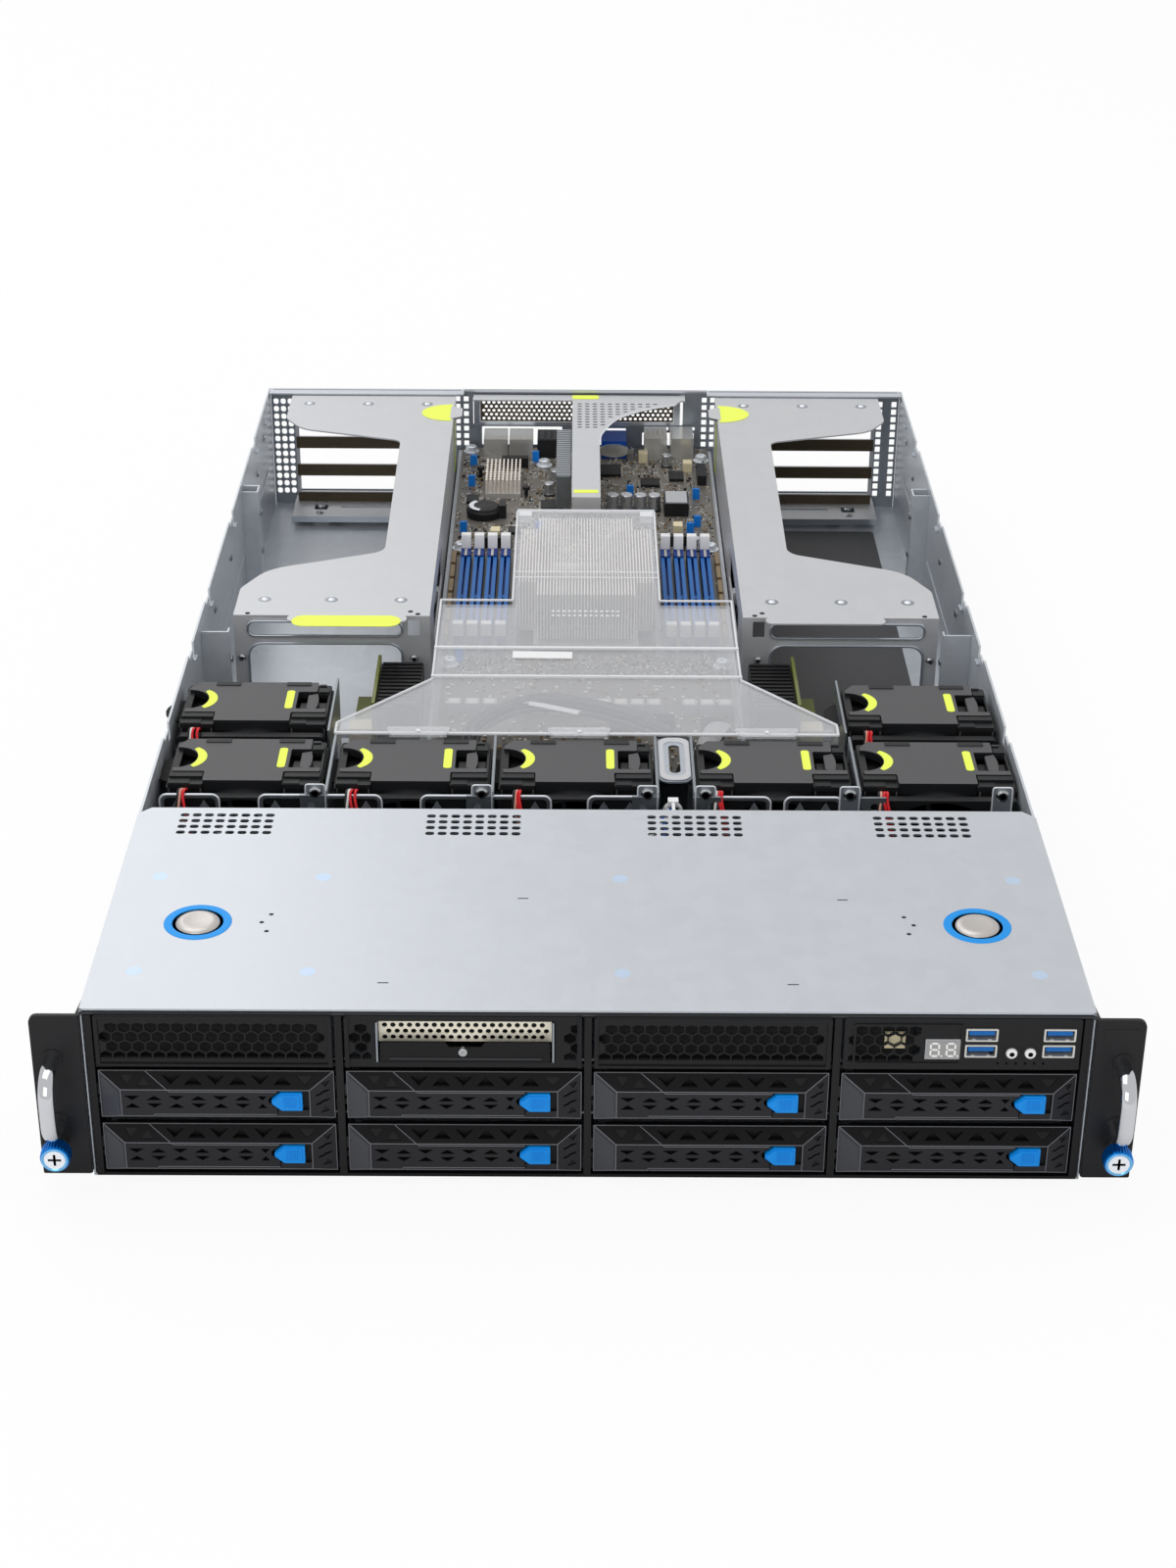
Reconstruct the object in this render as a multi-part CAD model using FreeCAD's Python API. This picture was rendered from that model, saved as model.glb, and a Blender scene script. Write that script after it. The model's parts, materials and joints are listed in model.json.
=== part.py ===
"""A rack server two units high, with its rear lid off, built as separate parts in millimetres.

X runs to the right seen from the front, Y from the front to the rear, and Z up. The working frame has Y = 0 on the
plane of the drive bezels' rims and Z = 0 on the underside. Every part is moved by -CENTRE_Y when it is written, so
that the stored frame has its origin at the middle of the underside.
"""

import FreeCAD, Part
import math
import os

V = FreeCAD.Vector

# ---- driving dimensions -----------------------------------------------------------------------------------------
WIDTH = 439.5               # over the side walls
DEPTH = 800.0               # rims of the drive bezels to the rear wall
HEIGHT = 88.0               # underside to the top of the front cover
RACK_WIDTH = 482.6          # over the rack ears
RACK_HOLE_SPACING = 465.1   # between the columns of holes of a 19 inch rack
SHEET = 1.2                 # thickness of the steel sheet
WALL_TOP = 86.8             # top edge of the side walls
COVER_DEPTH = 183.0         # length of the fixed front cover
GAP = 0.4                   # play between moving plastic parts

# drive bays
COLUMNS = 4
BAY_PITCH_X = 108.3
BAY_PITCH_Z = 28.0
LOWER_ROW_Z = 16.0          # middle of the lower row of trays
BEZEL_HALF_X = 51.3
BEZEL_HALF_Z = 12.2
BEZEL_RISE = 5.0            # how far a bezel's face stands in front of its rim
FACE_X = (-41.5, 41.0)
FACE_Z = (-8.4, 5.3)
BEZEL_WALL = 1.8
CAGE_FRONT = 7.0
CAGE_REAR = 178.0
TRAY_REAR = 168.0
TOP_ROW_Z = (59.6, 85.2)    # the row of grilles and ports over the trays
TOP_ROW_THICK = 3.0

# fans
FAN_WIDTH = 79.4
FAN_DEPTH = 58.0
FAN_FLOOR = 3.0
FAN_TOP = 84.0
FAN_BORE_R = 36.5
FAN_AXIS_Z = 41.0
FRONT_FAN_Y = 211.0
REAR_FAN_Y = 279.0
FRONT_FAN_X = (-213.3, -128.4, -45.2, 55.3, 138.6)   # left edges of the front row
REAR_FAN_X = (-216.0, 137.0)
ROTOR_R = 35.0
HUB_R = 17.0
SHAFT_R = 2.0
RUNNING_GAP = 0.05          # radial play of a fan's shaft in its bearing
BLADES = 5

# raised deck, mainboard and power supplies
DECK_HALF_X = 87.0
DECK_Y = (300.0, 797.0)
DECK_TOP = 43.4
BOARD_TOP = 46.0
BOARD_THICK = 1.6
SUPPLY_SIZE = (73.5, 184.0, 38.4)
SUPPLY_HANDLE = 16.0

# risers
RISER_TOP = 86.0
RISER_SHEET = 1.0
RISER_INNER_X = 89.2        # the wall beside the mainboard
RISER_OUTER_X = 201.0
RISER_FRONT_Y = 418.0
RISER_REAR_Y = 787.0
SLOT_PITCH = 20.32
SLOT_WINDOW = 12.1
LOWEST_SLOT_Z = 22.1

# ears, handles and screws
EAR_Z = (3.6, 86.4)
EAR_FRONT_Y = -3.5
EAR_THICK = 2.0
HANDLE_Z = (31.5, 64.6)
HANDLE_REACH = 22.0
SCREW_Z = 21.3
SCREW_R = 6.7
SCREW_FRONT_Y = -19.0
SCREW_SHANK_R = 2.5
SCREW_NECK_R = 2.0
SCREW_END_Y = 11.0

FRONT_Y = EAR_FRONT_Y - HANDLE_REACH
REAR_Y = DEPTH + SUPPLY_HANDLE
CENTRE_Y = (FRONT_Y + REAR_Y) / 2


# ---- drawing helpers --------------------------------------------------------------------------------------------
def box(x, y, z):
    """A block from three (low, high) pairs."""
    return Part.makeBox(x[1] - x[0], y[1] - y[0], z[1] - z[0], V(x[0], y[0], z[0]))


def outline(points, radius=0.0):
    """A closed outline through 2D points, each corner rounded by radius, or by its own third value."""
    corners = [V(p[0], p[1], 0) for p in points]
    radii = [p[2] if len(p) > 2 else radius for p in points]
    count = len(corners)
    starts, ends, arcs = [], [], []
    for i, corner in enumerate(corners):
        before = (corners[i - 1] - corner).normalize()
        after = (corners[(i + 1) % count] - corner).normalize()
        half = before.getAngle(after) / 2
        if radii[i] < 1e-6 or abs(half - math.pi / 2) < 1e-6:
            starts.append(corner)
            ends.append(corner)
            arcs.append(None)
            continue
        setback = radii[i] / math.tan(half)
        middle = (before + after).normalize()
        centre = corner + middle * (radii[i] / math.sin(half))
        starts.append(corner + before * setback)
        ends.append(corner + after * setback)
        arcs.append(centre - middle * radii[i])
    edges = []
    for i in range(count):
        if arcs[i] is not None:
            edges.append(Part.Arc(starts[i], arcs[i], ends[i]).toShape())
        following = starts[(i + 1) % count]
        if (following - ends[i]).Length > 1e-6:
            edges.append(Part.makeLine(ends[i], following))
    return Part.Wire(edges)


def rectangle(u, v, radius=0.0):
    """A closed rectangle from two (low, high) pairs."""
    return outline([(u[0], v[0]), (u[1], v[0]), (u[1], v[1]), (u[0], v[1])], radius)


def circle(u, v, radius):
    """A round outline."""
    return Part.Wire([Part.makeCircle(radius, V(u, v, 0))])


def hexagon(u, v, radius):
    """A regular six-sided outline with a corner at the top."""
    turns = [math.radians(30 + 60 * i) for i in range(6)]
    return outline([(u + radius * math.cos(t), v + radius * math.sin(t)) for t in turns])


def triangle(u, v, width, height):
    """A triangle that points up, or down where height is negative."""
    half = height / 2
    return outline([(u - width / 2, v - half), (u + width / 2, v - half), (u, v + half)])


def slab(outer, holes, thick):
    """A flat piece with through holes, lying on Z = 0."""
    return Part.makeFace([outer, *holes], "Part::FaceMakerCheese").extrude(V(0, 0, thick))


def flat(outer, z, holes=()):
    """A sheet lying level: outlines are in X and Y, and z is its (low, high)."""
    shape = slab(outer, holes, z[1] - z[0])
    shape.translate(V(0, 0, z[0]))
    return shape


def upright(outer, y, holes=()):
    """A sheet facing the front: outlines are in X and Z, and y is its (low, high)."""
    shape = slab(outer, holes, y[1] - y[0])
    shape.rotate(V(0, 0, 0), V(1, 0, 0), 90)
    shape.translate(V(0, y[1], 0))
    return shape


def sideways(outer, x, holes=()):
    """A sheet facing the side: outlines are in Y and Z, and x is its (low, high)."""
    shape = slab(outer, holes, x[1] - x[0])
    shape.rotate(V(0, 0, 0), V(1, 1, 1), 120)
    shape.translate(V(x[0], 0, 0))
    return shape


def cylinder(radius, start, direction, length):
    """A round bar."""
    return Part.makeCylinder(radius, length, V(*start), V(*direction))


def polyhedron(faces):
    """A solid from lists of corner points, one list for each flat face."""
    sides = [Part.Face(Part.makePolygon([V(*p) for p in (*f, f[0])])) for f in faces]
    solid = Part.makeSolid(Part.makeShell(sides))
    if solid.Volume < 0:
        solid.reverse()
    return solid


def frustum(y_rim, rim_x, rim_z, y_face, face_x, face_z):
    """A block that narrows from a rim to a smaller face in front of it."""
    rim = [(x, y_rim, z) for x, z in ((rim_x[0], rim_z[0]), (rim_x[1], rim_z[0]),
                                      (rim_x[1], rim_z[1]), (rim_x[0], rim_z[1]))]
    face = [(x, y_face, z) for x, z in ((face_x[0], face_z[0]), (face_x[1], face_z[0]),
                                        (face_x[1], face_z[1]), (face_x[0], face_z[1]))]
    sides = [[rim[i], rim[(i + 1) % 4], face[(i + 1) % 4], face[i]] for i in range(4)]
    return polyhedron([rim[::-1], face, *sides])


def grow(span, by):
    """A (low, high) pair made longer at both ends."""
    return (span[0] - by, span[1] + by)


def fused(shapes):
    """One solid from several that touch or overlap."""
    return shapes[0].multiFuse(list(shapes[1:])).removeSplitter()


def mirrored(shape):
    """The same piece on the other side of the server."""
    return shape.mirror(V(0, 0, 0), V(1, 0, 0))


def moved(shape, x=0.0, y=0.0, z=0.0):
    """A copy of a piece, shifted."""
    copy = shape.copy()
    copy.translate(V(x, y, z))
    return copy


def grid(u, v, columns, rows):
    """Centres of a regular array of holes, from the (low, high) of its outer centres."""
    us = [u[0] + (u[1] - u[0]) * i / max(columns - 1, 1) for i in range(columns)]
    vs = [v[0] + (v[1] - v[0]) * i / max(rows - 1, 1) for i in range(rows)]
    return [(a, b) for a in us for b in vs]


# ---- chassis ----------------------------------------------------------------------------------------------------
LID_NOTCHES_Y = (275.0, 375.0, 449.0, 569.0, 698.0)
NOTCH_WIDTH = 5.0
NOTCH_DEPTH = 9.0


def side_wall(x):
    """One side wall, with the hooked notches that hold the rear lid in its top edge."""
    top = [(0.0, WALL_TOP)]
    for y in LID_NOTCHES_Y:
        top += [(y - 14.0, WALL_TOP), (y - 12.0, WALL_TOP - 3.0), (y, WALL_TOP - 3.0),
                (y, WALL_TOP - NOTCH_DEPTH), (y + NOTCH_WIDTH, WALL_TOP - NOTCH_DEPTH),
                (y + NOTCH_WIDTH, WALL_TOP)]
    top += [(DEPTH, WALL_TOP), (DEPTH, 0.0), (0.0, 0.0)]
    return sideways(outline(top), x)


def chassis_tray():
    """The folded floor and side walls, the deck over the power supplies, and the side guides."""
    half = WIDTH / 2
    floor = box((-half, half), (0, DEPTH), (0, SHEET))
    walls = [side_wall((-half, -half + SHEET)), side_wall((half - SHEET, half))]
    tray = fused([floor, *walls])
    legs = [box(grow((s * (DECK_HALF_X + 0.6), s * (DECK_HALF_X + 0.6)), 0.6), DECK_Y, (SHEET, DECK_TOP))
            for s in (-1, 1)]
    deck = fused([box((-DECK_HALF_X, DECK_HALF_X), DECK_Y, (DECK_TOP - SHEET, DECK_TOP)), *legs])
    return [tray, deck, *[g for s in (-1, 1) for g in side_guides(s)]]


def side_guides(side):
    """The hat channel and the angled bracket that steady the cards beside each side wall."""
    wall = WIDTH / 2 - SHEET
    channel = [(wall - 10.5, 617.0), (wall - 10.5, 629.0), (wall, 629.0), (wall, 627.8),
               (wall - 9.3, 627.8), (wall - 9.3, 618.2), (wall, 618.2), (wall, 617.0)]
    bracket = [(wall, 408.0), (wall - 16.0, 408.0), (wall - 16.0, 414.0), (wall - 14.8, 414.0),
               (wall - 14.8, 409.2), (wall, 409.2)]
    shapes = [flat(outline(channel), (SHEET, 82.0)), flat(outline(bracket), (SHEET, 80.0))]
    return shapes if side > 0 else [mirrored(s) for s in shapes]


CORNER_VENT_X = (206.6, 214.0)
VENT_Z = (11.5, 77.5)
CARD_WINDOW_X = (94.0, 200.6)
CARD_WINDOW_Z = (12.6, 80.0)
LOW_CARD_WINDOW = ((-78.0, 68.0), (61.4, 81.6))
SUPPLY_SILL = 3.0
SUPPLY_WINDOW = ((-77.0, 77.0), (SUPPLY_SILL, 42.6))
PORT_WINDOWS = (((-72.0, -16.0), (46.6, 60.0)), ((10.0, 28.5), (46.6, 59.0)), ((40.0, 76.0), (46.6, 56.0)))
REAR_FLANGE = 12.0


def rear_wall():
    """The rear sheet: windows for cards, ports and power supplies, square-hole vents, and a top flange."""
    half = WIDTH / 2 - SHEET
    holes = []
    for side in (-1, 1):
        window_x = sorted((side * CARD_WINDOW_X[0], side * CARD_WINDOW_X[1]))
        holes.append(rectangle(window_x, CARD_WINDOW_Z))
        vent_x = sorted((side * CORNER_VENT_X[0], side * CORNER_VENT_X[1]))
        holes += [rectangle(grow((u, u), 2.2), grow((v, v), 1.9)) for u, v in grid(vent_x, VENT_Z, 2, 13)]
    holes += [rectangle(u, v) for u, v in (LOW_CARD_WINDOW, SUPPLY_WINDOW, *PORT_WINDOWS)]
    sheet = upright(rectangle((-half, half), (SHEET, WALL_TOP)), (DEPTH - SHEET, DEPTH), holes)
    flange = box((-half, half), (DEPTH - REAR_FLANGE, DEPTH), (WALL_TOP - SHEET, WALL_TOP))
    lip = rectangle((-LOW_LIP_X, LOW_LIP_X), (DEPTH - REAR_FLANGE - 1, DEPTH - SHEET))
    notch = flat(lip, (WALL_TOP - SHEET - 1, WALL_TOP + 1))
    return [fused([sheet, flange.cut(notch)])]


LOW_LIP_X = 84.0
BUTTON_XY = ((-177.5, 73.0), (177.5, 73.0))
BUTTON_RECESS_R = 11.6
BUTTON_R = 10.4
VENT_CENTRES_X = (-175.8, -55.4, 52.2, 162.6)
VENT_ROWS_Y = (158.0, 175.5)
VENT_HALF_WIDTH = 20.8


def front_cover():
    """The fixed front lid: slotted vents at its rear edge, two recessed button wells and turned-down sides."""
    half = WIDTH / 2
    holes = []
    for x in VENT_CENTRES_X:
        for u, v in grid(grow((x, x), VENT_HALF_WIDTH), VENT_ROWS_Y, 8, 4):
            holes.append(rectangle(grow((u, u), 2.1), grow((v, v), 1.6)))
    holes += [circle(x, y, BUTTON_RECESS_R) for x, y in BUTTON_XY]
    corner = 6.0
    points = [(-half, 0.0), (half, 0.0), (half, COVER_DEPTH - corner), (half - corner, COVER_DEPTH),
              (-half + corner, COVER_DEPTH), (-half, COVER_DEPTH - corner)]
    top = flat(outline(points), (HEIGHT - 1.0, HEIGHT), holes)
    wells = []
    for x, y in BUTTON_XY:
        cup = cylinder(BUTTON_RECESS_R + 0.8, (x, y, HEIGHT - 7.0), (0, 0, 1), 6.5)
        hollow = cylinder(BUTTON_RECESS_R, (x, y, HEIGHT - 6.2), (0, 0, 1), 8.0)
        stem = cylinder(3.2, (x, y, HEIGHT - 8.0), (0, 0, 1), 4.0)
        wells.append(cup.cut(hollow).cut(stem))
    return [fused([top, *wells])]


def cover_button(x, y):
    """A domed round push button on its stem."""
    profile = [(0, HEIGHT + 1.4), (BUTTON_R - 3.4, HEIGHT + 1.1), (BUTTON_R - 0.9, HEIGHT + 0.3),
               (BUTTON_R, HEIGHT - 0.7), (BUTTON_R, HEIGHT - 3.0), (2.9, HEIGHT - 3.0), (2.9, HEIGHT - 9.0),
               (0, HEIGHT - 9.0)]
    face = Part.Face(outline(profile))
    face.rotate(V(0, 0, 0), V(1, 0, 0), 90)
    return [moved(face.revolve(V(0, 0, 0), V(0, 0, 1), 360), x, y)]


# ---- drive cage and the top row of the front --------------------------------------------------------------------
def column_x(column):
    """Middle of a column of drive bays."""
    return (column - (COLUMNS - 1) / 2) * BAY_PITCH_X


def drive_cage():
    """Dividers, shelves and the backplane that hold the trays, each a flat plate."""
    y = (CAGE_FRONT, CAGE_REAR)
    top = HEIGHT - 1.0
    posts = [(column - COLUMNS / 2) * BAY_PITCH_X for column in range(COLUMNS + 1)]
    plates = [box(grow((x, x), SHEET / 2), y, (SHEET, top)) for x in posts[1:-1]]
    edge = COLUMNS / 2 * BAY_PITCH_X + 0.9
    plates += [box(sorted((s * edge, s * (edge - SHEET))), y, (SHEET, top)) for s in (-1, 1)]
    for x in [column_x(c) for c in range(COLUMNS)]:
        inner = grow((x, x), BAY_PITCH_X / 2 - SHEET / 2)
        for z in (LOWER_ROW_Z + BAY_PITCH_Z / 2, LOWER_ROW_Z + 1.5 * BAY_PITCH_Z):
            plates.append(box(inner, y, grow((z, z), SHEET / 2)))
    slots = [rectangle(grow((u, u), 17.0), grow((v, v), 8.0))
             for u in [column_x(c) for c in range(COLUMNS)] for v in (LOWER_ROW_Z, LOWER_ROW_Z + BAY_PITCH_Z)]
    half = edge
    plates.append(upright(rectangle((-half, half), (4.0, 58.0)), (CAGE_REAR, CAGE_REAR + 2.0), slots))
    return plates


HEX_R = 3.0
HEX_PITCH_X = 5.78
HEX_PITCH_Z = 5.0
HEX_LOWEST = 7.9


def hex_holes(x, columns, rows):
    """Rows of honeycomb holes in the top row's panels, from x to the right."""
    holes = []
    for row in range(rows):
        shift = 0.5 * (row % 2)
        for column in range(columns - row % 2):
            z = TOP_ROW_Z[0] + HEX_LOWEST + row * HEX_PITCH_Z
            holes.append(hexagon(x + (column + 0.5 + shift) * HEX_PITCH_X, z, HEX_R))
    return holes


def hex_panel(x):
    """A honeycomb blank over one column of trays, with a return edge behind its rim."""
    panel_x = grow((x, x), BEZEL_HALF_X + 0.6)
    start = x - 17 * HEX_PITCH_X / 2
    return upright(rectangle(panel_x, TOP_ROW_Z), (0, TOP_ROW_THICK), hex_holes(start, 17, 3))


def front_panel_row():
    """The four modules of the top row: two honeycomb blanks, the split bay frame and the port panel."""
    low, high = TOP_ROW_Z
    blanks = [hex_panel(column_x(0)), hex_panel(column_x(2))]
    x = column_x(1)
    left = (x - BEZEL_HALF_X - 0.6, MEDIA_BAY_X[0])
    right = (MEDIA_BAY_X[1], x + BEZEL_HALF_X + 0.6)
    y = (0, TOP_ROW_THICK)
    middle = [hexagon(sum(right) / 2, low + HEX_LOWEST + 2 * HEX_PITCH_Z * n, HEX_R) for n in range(2)]
    posts = [upright(rectangle(left, (low, high)), y, hex_holes(left[0] + 0.6, 2, 3)),
             upright(rectangle(right, (low, high)), y, middle)]
    sill = box(MEDIA_BAY_X, y, (low, low + 1.3))
    return [*blanks, *posts, sill, port_panel(), front_rail(), *[usb_socket(x, z) for x, z in PORT_XZ]]


MEDIA_BAY_X = (-92.5, -14.2)
PORT_XZ = ((170.6, 77.6), (170.6, 69.4), (204.4, 77.6), (204.4, 69.4))
PORT_SIZE = (14.2, 6.6)
PANEL_BUTTON_XZ = ((184.1, 68.4), (192.2, 68.4))
PANEL_BUTTON_R = 2.6
DISPLAY = ((146.2, 162.2), (65.0, 75.4))


def port_panel():
    """The port panel: honeycomb, display window, four port openings and two button holes."""
    x = column_x(3)
    holes = hex_holes(111.6, 6, 3)
    holes += [rectangle(grow((u, u), PORT_SIZE[0] / 2), grow((v, v), PORT_SIZE[1] / 2)) for u, v in PORT_XZ]
    holes += [circle(u, v, PANEL_BUTTON_R + 0.35) for u, v in PANEL_BUTTON_XZ]
    holes.append(rectangle(*DISPLAY))
    panel = upright(rectangle(grow((x, x), BEZEL_HALF_X + 0.6), TOP_ROW_Z), (0, TOP_ROW_THICK), holes)
    return panel


def usb_socket(x, z):
    """A steel port shell with its contact tongue, standing in the panel's opening."""
    u, v = (grow((c, c), size / 2 - 0.1) for c, size in zip((x, z), PORT_SIZE))
    shell = box(u, (-0.6, 14.0), v).cut(box(grow(u, -0.5), (-1.0, 12.0), grow(v, -0.5)))
    return fused([shell, box(grow(u, -1.6), (1.0, 12.5), (z + 0.2, z + 2.1))])


def front_rail():
    """The rail that runs across the front under the edge of the cover."""
    half = WIDTH / 2 - SHEET
    return box((-half, half), (0, 6.0), (TOP_ROW_Z[1] + 0.2, HEIGHT - 1.0))


def panel_button(x, z):
    """A small round push button with a wider foot behind the panel."""
    cap = cylinder(PANEL_BUTTON_R, (x, -1.2, z), (0, 1, 0), 5.4)
    foot = cylinder(PANEL_BUTTON_R + 1.0, (x, TOP_ROW_THICK + 1.0, z), (0, 1, 0), 1.2)
    body = fused([cap, foot])
    return [body]


# ---- drive trays ------------------------------------------------------------------------------------------------
LATCH_X = (24.4, 37.8)
LATCH_Z = (-4.6, 4.4)
LATCH_TRAVEL = 2.5
LATCH_Y = (-BEZEL_RISE - 1.6, -BEZEL_RISE + 1.2)
SEAM_TOP_X = -31.2
SEAM_LOW_X = -19.9
LEVER_END_X = 27.6
LEVER_TOP_Z = 4.4
LEVER_FOOT_Z = -7.4
SLOPE_VENT_X = -18.0
SLOPE_VENT_PITCH = 9.75
BAND_VENT_X = -33.9
BAND_VENT_PITCH = 9.17
PIVOT_X = -47.3
PIVOT_Y = 2.6
PIN_R = 1.0
KNUCKLE_R = 2.3
KNUCKLE_HALF_Z = 7.6


def latch_outline(margin, travel=0.0):
    """The arrow shape of the release latch, pointing to the lever."""
    low, high = LATCH_X
    bottom, top = LATCH_Z
    middle = (bottom + top) / 2
    return outline([(low - margin * 1.6, middle - 1.0), (low + 4.2 - margin * 0.4, bottom - margin),
                    (high + margin + travel, bottom - margin), (high + margin + travel, top + margin),
                    (low + 4.2 - margin * 0.4, top + margin), (low - margin * 1.6, middle + 1.0)])


def bezel_vents():
    """Triangular vents, turned alternately up and down: a row along the sloping top and two along the face."""
    cuts = []
    for n in range(6):
        x = SLOPE_VENT_X + SLOPE_VENT_PITCH * n
        cuts.append(upright(triangle(x, 8.9, 8.0, 4.4 if n % 2 else -4.4), (-BEZEL_RISE - 1, 1.0)))
    for n in range(6):
        x = BAND_VENT_X + BAND_VENT_PITCH * n
        height = 2.3 if n % 2 else -2.3
        for z, rise in ((2.4, height), (-3.6, -height)):
            cuts.append(upright(triangle(x, z, 6.8, rise), (-BEZEL_RISE - 1, -BEZEL_RISE + BEZEL_WALL + 0.6)))
    return Part.makeCompound(cuts)


def bezel_shell():
    """The hollow faceted front of a tray."""
    outer = frustum(0.0, (-BEZEL_HALF_X, BEZEL_HALF_X), (-BEZEL_HALF_Z, BEZEL_HALF_Z),
                    -BEZEL_RISE, FACE_X, FACE_Z)
    wall = BEZEL_WALL
    inner = frustum(0.4, grow((-BEZEL_HALF_X, BEZEL_HALF_X), -wall), grow((-BEZEL_HALF_Z, BEZEL_HALF_Z), -wall),
                    -BEZEL_RISE + wall, grow(FACE_X, -wall * 0.4), grow(FACE_Z, -wall * 0.4))
    return outer.cut(inner).cut(bezel_vents())


def lever_region(margin):
    """What of the bezel belongs to the lever: the hinge end up to a slanting seam, and the band to the latch."""
    edge = BEZEL_HALF_X + 1
    points = [(-edge, -BEZEL_HALF_Z - 1), (SEAM_TOP_X + 4 + margin, -BEZEL_HALF_Z - 1),
              (SEAM_TOP_X + 4 + margin, LEVER_FOOT_Z - margin), (LEVER_END_X + margin, LEVER_FOOT_Z - margin),
              (LEVER_END_X + margin, LEVER_TOP_Z + margin), (SEAM_LOW_X + margin, LEVER_TOP_Z + margin),
              (SEAM_TOP_X + margin, BEZEL_HALF_Z + 1), (-edge, BEZEL_HALF_Z + 1)]
    return upright(outline(points), (-BEZEL_RISE - 2, 2.0))


def tray_lever():
    """The tray's lever: the part of the bezel that swings out about the pin at its hinge end."""
    band = bezel_shell().common(lever_region(0.0)).cut(upright(latch_outline(GAP), (-10, 5)))
    barrel = cylinder(KNUCKLE_R, (PIVOT_X, PIVOT_Y, -KNUCKLE_HALF_Z), (0, 0, 1), 2 * KNUCKLE_HALF_Z)
    arm = box((PIVOT_X - 1.7, PIVOT_X + 1.7), (-1.1, PIVOT_Y), (-KNUCKLE_HALF_Z, KNUCKLE_HALF_Z))
    bore = cylinder(PIN_R + 0.35, (PIVOT_X, PIVOT_Y, -12), (0, 0, 1), 24)
    return fused([band, barrel, arm]).cut(bore)


def tray_frame():
    """The tray: the fixed part of the bezel, the hinge ears and pin, the side rails, floor and end bar."""
    lever = lever_region(GAP)
    front = bezel_shell().cut(lever).cut(upright(latch_outline(GAP, LATCH_TRAVEL), (-10, 5)))
    back_plate = box((PIVOT_X + 4.2, 49.5), (3.2, 5.2), (-10.5, 10.5))
    link = box((LEVER_END_X + 12.4, 49.5), (-BEZEL_RISE + 1.2, 3.4), (-7.8, 6.8))
    ceiling = box((SEAM_LOW_X + 4, 49.5), (-0.9, 3.4), (9.4, 10.5))
    low, high = KNUCKLE_HALF_Z + 0.3, KNUCKLE_HALF_Z + 2.1
    ears = [box((PIVOT_X - 2.0, PIVOT_X + 5.0), (0.9, 5.2), z) for z in ((low, high), (-high, -low))]
    pin = cylinder(PIN_R, (PIVOT_X, PIVOT_Y, -high), (0, 0, 1), 2 * high)
    rails = [box((s * 50.9 - 0.75, s * 50.9 + 0.75), (5.2, TRAY_REAR), (-11.2, 9.0)) for s in (-1, 1)]
    front_web = box((-51.65, 51.65), (5.2, 6.4), (-11.2, 9.0))
    floor = box((-51.65, 51.65), (5.2, TRAY_REAR), (-11.2, -10.0))
    relief = box((-38.0, 38.0), (30.0, 150.0), (-12.0, -8.0))
    return fused([front, back_plate, link, ceiling, *ears, pin, *rails, front_web, floor.cut(relief)])


def hard_drive():
    """A 3.5 inch drive lying in its tray."""
    body = box((-49.9, 49.9), (9.0, 156.0), (-9.8, 8.6))
    label_recess = box((-44.0, 44.0), (16.0, 120.0), (8.2, 9.0))
    return body.cut(label_recess)


def tray_latch():
    """The sliding release latch, with grip ridges on its face."""
    body = upright(latch_outline(0.0), LATCH_Y)
    ridges = [box((x, x + 0.7), (LATCH_Y[0] - 0.4, LATCH_Y[0] + 0.2), (-2.9, 2.7)) for x in (30.0, 32.0, 34.0)]
    foot = box((LATCH_X[0] + 5.0, LATCH_X[1] - 0.6), (LATCH_Y[1] - 0.4, 1.2), (-3.0, 2.8))
    return fused([body, *ridges, foot])


# ---- rack ears --------------------------------------------------------------------------------------------------
EAR_STEM_X = WIDTH / 2 + 1.4


def rack_ear():
    """The right-hand ear: a flat plate, folded back along the side wall."""
    outer = RACK_WIDTH / 2
    inner = WIDTH / 2 + 0.2
    y = (EAR_FRONT_Y, EAR_FRONT_Y + EAR_THICK)
    hole = circle(RACK_HOLE_SPACING / 2, SCREW_Z, SCREW_SHANK_R + 0.6)
    plate = upright(outline([(inner, EAR_Z[0]), (outer, EAR_Z[0], 2.0), (outer, EAR_Z[1], 2.0),
                             (inner, EAR_Z[1])]), y, [hole])
    flange = box((inner, inner + EAR_THICK), (y[0], 42.0), EAR_Z)
    return fused([plate, flange])


def ear_handle():
    """The right-hand bow handle: an oval bar bent twice, standing on the ear."""
    x = RACK_HOLE_SPACING / 2
    low, high = HANDLE_Z
    front = EAR_FRONT_Y - HANDLE_REACH + 2.1
    bend = 11.0
    knee = bend * (1 - math.sqrt(0.5))
    start, end = EAR_FRONT_Y, front
    points = [V(x, start, high), V(x, end + bend, high), V(x, end + knee, high - knee), V(x, end, high - bend),
              V(x, end, low + bend), V(x, end + knee, low + knee), V(x, end + bend, low), V(x, start, low)]
    path = Part.Wire([Part.makeLine(points[0], points[1]), Part.Arc(*points[1:4]).toShape(),
                      Part.makeLine(points[3], points[4]), Part.Arc(*points[4:7]).toShape(),
                      Part.makeLine(points[6], points[7])])
    turns = [math.radians(22.5 + 45 * n) for n in range(8)]
    oval = [points[0] + V(3.4 * math.cos(t), 0, 2.1 * math.sin(t)) for t in turns]
    section = Part.makePolygon([*oval, oval[0]])
    bar = path.makePipeShell([section], True, False)
    boss = [cylinder(2.0, (x, EAR_FRONT_Y - 0.2, z), (0, 1, 0), EAR_THICK + 2.4) for z in HANDLE_Z]
    return bar, boss


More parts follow.
